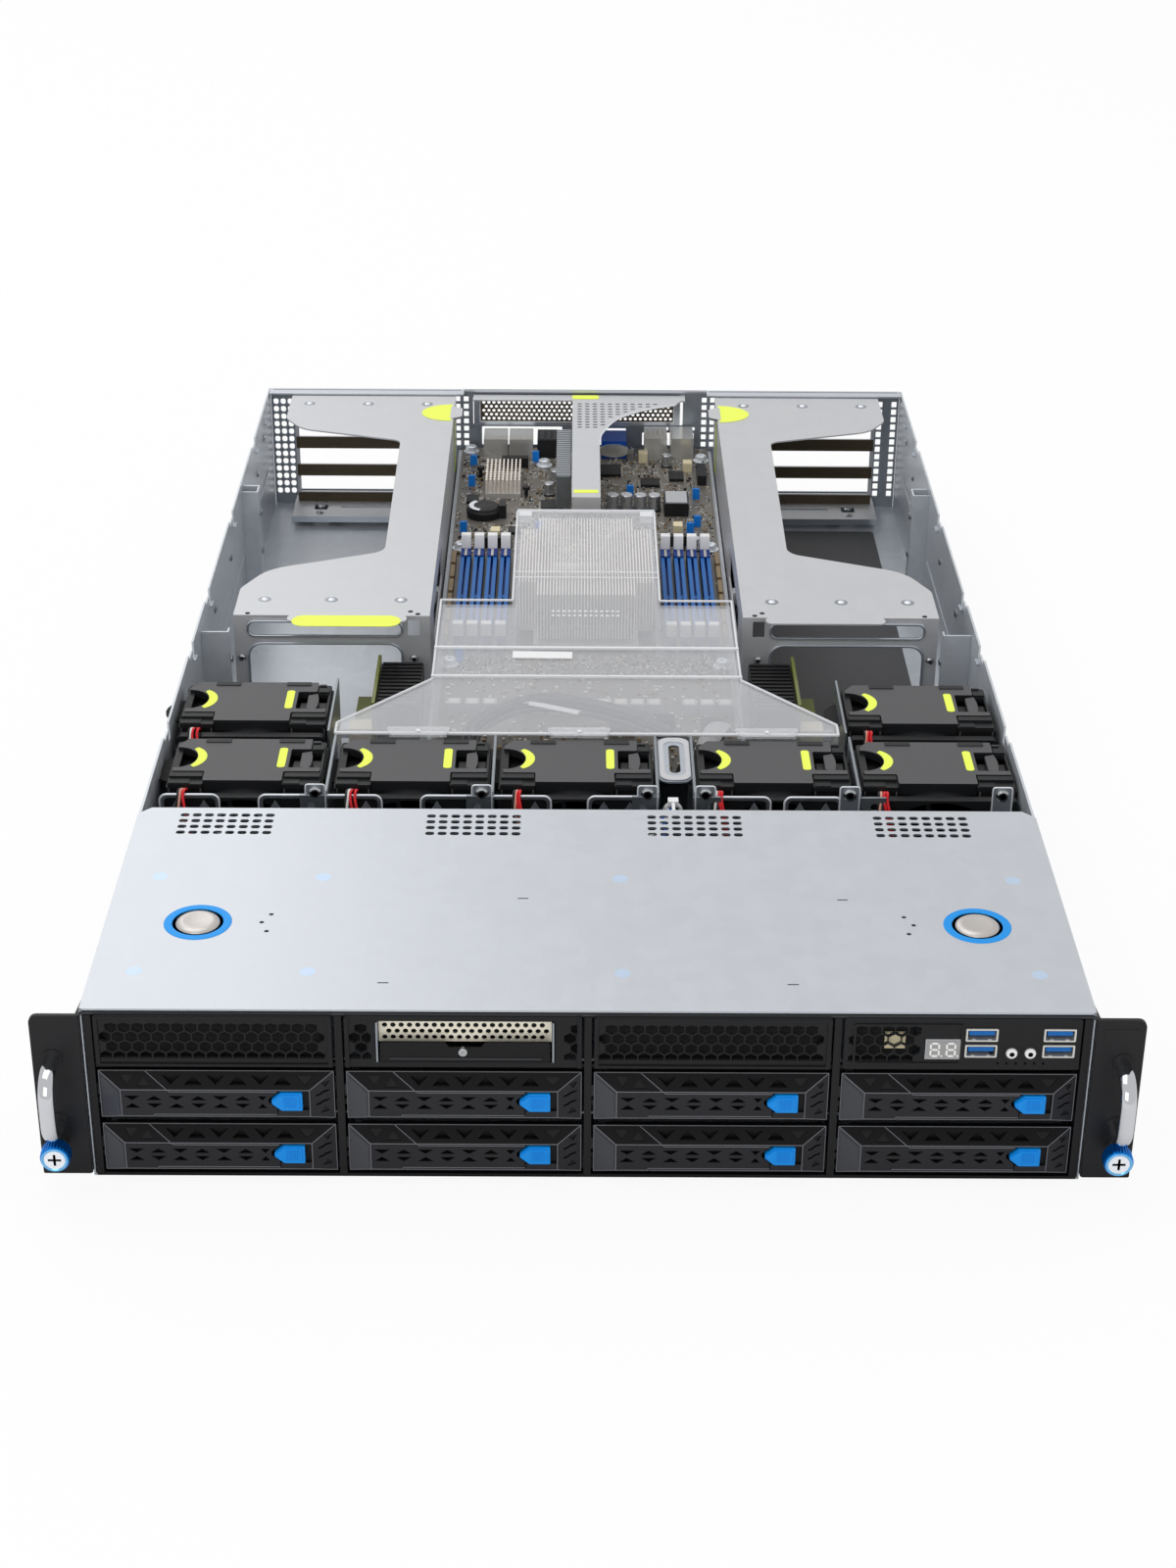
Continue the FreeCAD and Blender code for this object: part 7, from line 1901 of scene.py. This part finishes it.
                self.part(drawn, around(side * 83.0, 2.6), (y0, y0 + 18.0), 4.4, "part_tan")
        for x0, y0, wide, long in ((-27.0, 618.0, 7.0, 20.0), (79.0, 736.0, 6.0, 24.0), (26.0, 618.0, 18.0, 6.0),
                                   (-58.0, 616.0, 22.0, 5.6), (58.0, 620.0, 16.0, 6.0), (-48.0, 758.0, 18.0, 6.0)):
            self.part(drawn, around(x0, wide), around(y0, long), 7.0, "chip_black")
        for x0, y0 in ((60.0, 640.0), (-58.0, 630.0), (40.0, 770.0), (70.0, 752.0)):
            self.part(drawn, around(x0, 6.0), around(y0, 8.0), 6.5, "cream_plastic")

    def can(self, drawn: Surface, x: float, y: float, radius: float, height: float) -> None:
        """A capacitor can on a dark foot."""
        top = self.top
        drawn.turned([(0.0, top + height), (radius - 0.5, top + height), (radius, top + height - 0.5),
                      (radius, top + 1.6), (radius - 0.4, top + 1.2), (radius, top + 0.8), (radius, top), (0.0, top)],
                     (x, y, 0), 2, "cap_silver", 24)
        drawn.plate(rect(around(x, 2 * radius + 0.6), around(y, 2 * radius + 0.6), 1.0), (top, top + 1.0), Plane.LEVEL,
                    "chip_black")
        self.taken.append((x - radius, x + radius, y - radius, y + radius))

    def chip(self, drawn: Surface, x: float, y: float, wide: float, long: float) -> None:
        """A flat chip with a row of tinned leads on each side."""
        self.part(drawn, around(x, wide), around(y, long), 2.2, "chip_black", 0.4)
        lead = np.arange(y - long / 2 + 0.8, y + long / 2 - 0.6, 1.1)
        for side in (-1, 1):
            u = x + side * (wide / 2 + 0.7)
            low = stacked(u - 0.7, lead - 0.25, self.top)
            drawn.boxes(low, low + (1.4, 0.5, 0.7), "part_tin")
        drawn.plate(disc(x - wide / 2 + 1.6, y - long / 2 + 1.6, 0.6, 10), (self.top + 2.2, self.top + 2.3),
                    Plane.LEVEL, "panel_line")

    def card_boards(self, drawn: Surface) -> None:
        """The upright power boards beside the deck, each with a ribbed black socket and a cream one."""
        for side in (-1, 1):
            def span(near: float, far: float) -> Pair:
                return ordered(side * near, side * far)
            drawn.block(span(92.0, 115.6), (345.0, 401.0), (43.0, 64.0), "chip_black")
            for y in np.arange(347.4, 399.0, 4.6):
                drawn.block(span(92.6, 115.0), (y, y + 2.4), (64.0, 65.2), "moulded_black")
            drawn.block(span(116.0, 117.8), (342.0, 404.0), (38.0, 68.0), "board_green")
            drawn.block(span(118.2, 131.0), (346.0, 358.0), (40.0, 50.0), "cream_plastic")
            drawn.block(span(118.0, 130.0), (362.0, 404.0), (40.0, 41.6), "board_green")

    def small_parts(self, drawn: Surface) -> None:
        """Scatters chip resistors, capacitors and pads over the free board."""
        rng = np.random.default_rng(self.seed)
        count, pitch = 6400, 1.27
        place = rng.uniform((self.x[0] + 2, 420.0), (self.x[1] - 2, self.y[1] - 2), (count, 2))
        place = np.round(place / pitch) * pitch
        turned = rng.random(count) < 0.5
        long, wide = rng.uniform(1.0, 2.2, count), rng.uniform(0.5, 1.0, count)
        size = np.where(turned[:, None], np.stack([wide, long], 1), np.stack([long, wide], 1))
        free = np.ones(count, bool)
        blocked = np.array([*self.taken, (-42.0, 42.0, 452.0, 582.0)])
        for x0, x1, y0, y1 in blocked:
            free &= ~((place[:, 0] > x0 - 1.6) & (place[:, 0] < x1 + 1.6)
                      & (place[:, 1] > y0 - 1.6) & (place[:, 1] < y1 + 1.6))
        place, size = place[free], size[free]
        tall = rng.uniform(0.4, 1.4, len(place))
        kinds = rng.choice(5, len(place), p=(0.30, 0.25, 0.20, 0.15, 0.10))
        for kind, finish in enumerate(("part_tin", "part_tan", "chip_black", "display_grey", "board_brown")):
            pick = kinds == kind
            low = stacked(*(place[pick] - size[pick] / 2).T, self.top)
            high = stacked(*(place[pick] + size[pick] / 2).T, self.top + tall[pick])
            drawn.boxes(low, high, finish)
        column = rng.uniform((self.x[0] + 4, 424.0), (self.x[1] - 8, self.y[1] - 6), (90, 2))
        for x0, y0 in column:
            if not any(x0 - 4 < b1 and x0 + 12 > b0 and y0 - 3 < b3 and y0 + 4 > b2 for b0, b1, b2, b3 in blocked):
                row = np.arange(5) * 1.9
                low = stacked(x0 + row, y0, self.top)
                drawn.boxes(low, low + (1.0, 1.8, 0.8), "part_tin")


# ---- air duct and what lies under it ----------------------------------------------------------------------------
@dataclass
class AirDuct:
    """The clear duct's ribs, lips, rims and label, and the cables and connectors that show through it."""

    top: float = 84.0
    shoulder: float = 84.0
    mouth: float = 131.5
    channel: float = 42.6
    rear: float = 584.0
    ribs_y: Pair = (342.0, 379.0)
    lips_x: tuple[float, ...] = (-88.0, -4.0, 94.0)

    def build(self) -> None:
        """Makes the dressing of the duct and the parts under it."""
        drawn = Surface()
        z = self.top
        for y in self.ribs_y:
            drawn.block((-self.shoulder, self.shoulder), (y - 0.9, y + 0.9), (z - 0.1, z + 1.1), "duct_rib")
            for side in (-1, 1):
                drawn.block(around(side * (self.shoulder + 0.2), 1.0), (y - 0.9, y + 0.9), (56.0, z + 1.0), "duct_rib")
        for x in self.lips_x:
            lip = rounded([(x - 17.0, 279.0), (x - 14.5, 270.8), (x + 14.5, 270.8), (x + 17.0, 279.0)],
                          (1.5, 2.4, 2.4, 1.5))
            drawn.plate(lip, (z + 0.2, z + 1.1), Plane.LEVEL, "duct_clear", edge="duct_rib")
            drawn.plate(disc(x, 274.4, 1.2, 12), (z + 1.1, z + 1.5), Plane.LEVEL, "duct_rib")
        edge = [(-self.mouth, 274.0), (self.mouth, 274.0)]
        drawn.tube(np.array([(*p, z - 0.2) for p in edge]), 0.8, "duct_rib", 8)
        for side in (-1, 1):
            line = [(side * self.mouth, 274.0), (side * self.mouth, 286.0), (side * self.shoulder, 340.0),
                    (side * self.shoulder, 446.0), (side * self.channel, 446.0), (side * self.channel, self.rear - 1.5)]
            for start, end in zip(line, line[1:]):
                drawn.tube(np.array([(*start, z - 0.35), (*end, z - 0.35)]), 0.7, "duct_edge", 8)
        drawn.tube(np.array([(-self.channel, self.rear - 0.8, z - 0.4), (self.channel, self.rear - 0.8, z - 0.4)]), 1.3,
                   "duct_edge", 8)
        for side in (-1, 1):
            drawn.block(around(side * (self.channel - 5.0), 8.0), (self.rear - 10.0, self.rear - 2.0),
                        (z - 4.0, z + 0.3), "duct_edge")
        for y in (478.0, 486.0):
            drawn.block((-self.channel, self.channel), (y, y + 0.8), (z, z + 0.4), "duct_edge")
        bumps = np.array([(x, y, z) for y in (424.0, 430.0) for x in np.arange(-19.0, 20.0, 3.1)])
        bump = Surface()
        bump.turned([(0.0, 0.45), (0.7, 0.4), (1.0, 0.0), (1.0, -0.2), (0.0, -0.2)], (0, 0, 0), 2, "duct_rib", 8)
        drawn.scatter(bump, bumps)
        label = np.array([(-41.0, 366.5), (-8.0, 366.0), (-7.8, 374.6), (-40.8, 375.2)])
        drawn.plate(label, (z + 0.02, z + 0.2), Plane.LEVEL, "white_plastic")
        drawn.piece("duct_dressing", "air_duct", (), "clear_plastic")
        self.underneath()

    def underneath(self) -> None:
        """Cable arcs, a braided sleeve, a white strip and rows of grey connectors on the board."""
        drawn = Surface()
        board = Board.top
        for n in range(5):
            lift, out = 60.0 + 1.6 * (n % 3), 3.4 * n
            knots = [(-60.0 - out * 0.5, 304.0, board + 6.0), (-56.0 - out * 0.5, 326.0 + out * 0.4, lift),
                     (-30.0, 342.0 + out, lift + 4.0), (4.0, 334.0 + out, lift + 5.0), (34.0, 318.0 + out, lift + 3.0),
                     (56.0 + out * 0.4, 300.0, lift), (66.0 + out * 0.3, 284.0, lift - 4.0)]
            drawn.tube(curve(knots, 60), 1.5, "wire_black" if n % 2 else "sleeve_grey", 8)
        knots = [(74.0, 336.0, board + 8.0), (72.0, 320.0, 66.0), (66.0, 300.0, 68.0), (60.0, 284.0, 62.0)]
        drawn.tube(curve(knots, 40), (6.0, 2.2), "sleeve_silver", 12)
        knots = [(-34.0, 348.0, 66.0), (-20.0, 340.0, 67.0), (-4.0, 333.0, 67.0)]
        drawn.tube(curve(knots, 16), (2.6, 0.8), "white_plastic", 8)
        x = np.concatenate([np.linspace(-36.0, 38.0, 9), (-74.0, -64.0, -54.0, 58.0, 68.0, 78.0)])
        low = stacked(x - 3.9, 372.0, board)
        drawn.boxes(low, low + (7.8, 7.8, 7.0), "display_grey")
        drawn.boxes(low + (1.2, 1.2, 7.0), low + (6.6, 6.6, 7.2), "part_tin")
        for u, v, wide, long in ((-70.0, 330.0, 16.0, 22.0), (-40.0, 314.0, 22.0, 12.0), (20.0, 352.0, 14.0, 10.0),
                                 (70.0, 352.0, 12.0, 16.0), (0.0, 314.0, 16.0, 16.0), (44.0, 360.0, 10.0, 10.0)):
            drawn.block(around(u, wide), around(v, long), (board, board + 5.0), "chip_black")
        rng = np.random.default_rng(SEED + 1)
        spots = rng.uniform((-80.0, 306.0), (80.0, 452.0), (520, 2))
        size = rng.uniform(0.8, 2.4, (len(spots), 2))
        low = stacked(*(spots - size / 2).T, board)
        high = stacked(*(spots + size / 2).T, board + rng.uniform(0.5, 1.6, len(spots)))
        half = len(spots) // 2
        drawn.boxes(low[:half], high[:half], "part_tan")
        drawn.boxes(low[half:], high[half:], "part_tin")
        drawn.piece("board_cables", "chassis", (), "circuit_board")


# ---- rear wall and chassis --------------------------------------------------------------------------------------
@dataclass
class RearWall:
    """The rear sheet with its card windows, vents, port cut-outs and bright top flange."""

    half: float = 218.3
    y: Pair = (798.8, 800.0)
    z: Pair = (1.4, 86.8)
    window: tuple[Pair, Pair] = ((94.0, 200.6), (12.6, 80.0))
    bars: tuple[Pair, ...] = ((28.1, 36.4), (48.4, 56.7), (68.9, 76.8))

    def build(self) -> None:
        """Makes the wall."""
        drawn = Surface()
        holes = [rect((-78.0, 68.0), (61.4, 81.6), 0.8), rect((-77.0, 77.0), (3.0, 42.6), 0.8),
                 rect((-72.0, -16.0), (46.6, 60.0), 0.5), rect((10.0, 28.5), (46.6, 59.0), 0.5),
                 rect((40.0, 76.0), (46.6, 56.0), 0.5)]
        for side in (-1, 1):
            x = ordered(side * self.window[0][0], side * self.window[0][1])
            holes.append(rect(x, self.window[1], 1.0))
            columns = 3 if side < 0 else 2
            vents_x = ordered(side * 205.2, side * 215.0)
            radius = 1.3 if side < 0 else 0.3
            holes += [rect(around(u, 3.5), around(v, 4.0), radius)
                      for u, v in lattice(vents_x, (11.5, 77.5), columns, 13)]
            strip = ordered(side * 80.8, side * 90.6)
            holes += [rect(around(u, 3.4), around(v, 3.6), 0.3) for u, v in lattice(
                (strip[0] + 2.0, strip[1] - 2.0), (47.6, 80.0), 2, 7)]
        holes += [rect(around(u, 2.8), around(58.9, 2.4), 0.3) for u in np.arange(43.0, 76.0, 4.6)]
        drawn.plate(rect((-self.half, self.half), self.z), self.y, Plane.UPRIGHT, "rear_steel", holes,
                    edge="edge_steel")
        for x in ((-self.half, -84.0), (84.0, self.half)):
            drawn.block(x, (788.4, 799.6), (86.0, 86.9), "bright_steel")
            drawn.block(x, (788.2, 789.0), (86.7, 87.1), "edge_steel")
            drawn.block((x[0] + 2.0, x[1] - 2.0), (796.4, 797.2), (86.85, 87.15), "rear_steel")
        drawn.block((-84.0, 84.0), (797.9, 799.6), (85.4, 86.8), "bright_steel")
        drawn.piece("rear_sheet", "chassis", ["rear_wall"], "galvanised_steel", bevel=0.1)


@dataclass
class Chassis:
    """Dressing of the tray: the dark sheet in the right bay, shelves, rivets, and pressed ribs and lances on the walls.
    """

    wall: float = 218.3

    def build(self) -> None:
        """Makes the dressing."""
        drawn = Surface()
        drawn.plate(rect((92.0, 200.0), (420.0, 752.0), 3.0), (1.25, 1.7), Plane.LEVEL, "floor_sheet")
        for side in (-1, 1):
            x = ordered(side * 91.0, side * 203.0)
            shelf = rounded([(x[0], 757.0), (x[1], 757.0), (x[1], 797.0), (x[0], 797.0)], 1.0)
            slot = ordered(side * 98.0, side * 170.0)
            drawn.plate(shelf, (8.0, 9.0), Plane.LEVEL, "riser_steel", [
                rect(slot, (773.0, 775.4), 1.0), rect(around(side * 184.0, 9.0), (769.0, 779.0), 1.4)],
                edge="edge_steel")
            drawn.block(x, (756.4, 757.2), (4.6, 9.0), "edge_steel")
            for y in (763.0, 774.0, 788.0):
                drawn.turned([(0.0, 10.2), (1.6, 10.1), (2.6, 9.4), (2.6, 9.0), (0.0, 9.0)],
                             (side * 184.0, y, 0), 2, "screw_steel", 20)
            self.wall_details(drawn, side)
        drawn.piece("chassis_fittings", "chassis", (), "galvanised_steel", bevel=0.1)

    def wall_details(self, drawn: Surface, side: int) -> None:
        """Rivets, pressed ribs and lances on the inner face of one side wall."""
        inner = side * self.wall
        for y, z in ((300.0, 60.0), (352.0, 70.0), (470.0, 66.0), (548.0, 66.0), (622.0, 40.0), (622.0, 66.0),
                     (700.0, 62.0), (746.0, 70.0), (411.0, 62.0), (411.0, 30.0)):
            depth = {622.0: 10.5, 411.0: 16.0}.get(y, 0.0)
            face = inner - side * (depth + 0.05)
            head = [(0.0, face - side * 1.1), (1.4, face - side), (2.4, face - side * 0.5), (2.4, face),
                    (0.0, face)]
            drawn.turned(head, (0, y, z), 0, "screw_steel", 18)
        for y0, y1, z in ((430.0, 606.0, 40.0), (640.0, 760.0, 40.0), (226.0, 396.0, 52.0)):
            path = np.array([(inner - side * 0.1, y0, z), (inner - side * 0.1, y1, z)])
            drawn.tube(path, (0.5, 1.6), "inner_steel", 8)
        for y in (375.0, 449.0, 569.0, 698.0, 752.0):
            drawn.block(ordered(inner - side * 1.8, inner - side * 0.2), (y - 4.0, y + 4.0), (78.6, 79.4),
                        "edge_steel")


@dataclass
class PowerSupply:
    """The connector and the lamp of one power supply, dressed over its packed case."""

    side: int

    def build(self) -> None:
        """Makes the dark front end with its six gold contacts, and the green lamp at the rear."""
        name = "left_power_supply" if self.side < 0 else "right_power_supply"
        box = Extent.of(name)
        x0, x1 = box.span(0)
        drawn = Surface()
        drawn.block((x0 + 0.6, x1 - 0.6), (615.0, 615.9), (6.0, 39.0), "moulded_black")
        for n in range(6):
            drawn.block((x0 + 6.0 + 11.0 * n, x0 + 12.0 + 11.0 * n), (614.4, 615.0), (10.0, 18.0), "gold")
        drawn.turned([(0.0, 801.4), (1.3, 801.3), (1.5, 800.9), (0.0, 800.9)], (x1 - 9.0, 0, 35.0), 1, "mark_green", 16)
        drawn.piece(f"{name}_face", name, (), "galvanised_steel")


# ---- whole scene ------------------------------------------------------------------------------------------------
NODE_FINISHES = {
    "chassis_tray": ("inner_steel", 0.3), "rear_wall": ("rear_steel", 0.2), "drive_cage": ("tray_steel", 0.2),
    "fan_wall": ("tray_steel", 0.2), "air_duct": ("duct_clear", 0.4), "front_panel_row": ("panel_black", 0.2),
    "rack_ears": ("ear_black", 0.4), "ear_handles": ("chrome", 0.2), "mainboard": ("board_dark", 0.1),
    "cpu_heat_sink": ("fin_metal", 0.0),
    **{f"{side}_riser_cage": ("riser_steel", 0.35) for side in ("left", "right")},
    **{f"{side}_power_supply": ("tray_steel", 0.3) for side in ("left", "right")},
    **{f"{side}_rack_screw": ("blue_anodised", 0.2) for side in ("left", "right")},
    **{f"{name}_button": ("white_plastic", 0.2) for name in ("power", "reset")},
    **{f"fan_module_{n}": ("fan_black", 0.25) for n in range(1, 8)},
    **{f"fan_rotor_{n}": ("fan_black", 0.2) for n in range(1, 8)},
}


def dress_nodes() -> None:
    """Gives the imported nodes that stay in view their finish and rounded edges."""
    for node, (finish, width) in NODE_FINISHES.items():
        shown = frame["nodes"].get(node)
        if shown is None or shown.hide_render:
            continue
        shown.data.materials.clear()
        shown.data.materials.append(FINISHES[finish].material())
        if width:
            soften(shown, width, 2, weld=True)


def main() -> None:
    """Builds every sub-assembly, the room and the camera."""
    logging.basicConfig(level=logging.INFO, format="%(name)s: %(message)s")
    FrontCover().build()
    for number in range(1, 9):
        DriveTray(number).build()
    TopRow().build()
    RackEars().build()
    for number in range(1, 8):
        FanModule(number).build()
    FanWall().build()
    for side in (-1, 1):
        RiserCage(side).build()
    CentreRiser().build()
    Cooler().build()
    Board().build()
    AirDuct().build()
    RearWall().build()
    Chassis().build()
    for side in (-1, 1):
        PowerSupply(side).build()
    dress_nodes()
    Studio().build()
    Viewpoint().build()


if __name__ == "__main__":
    main()
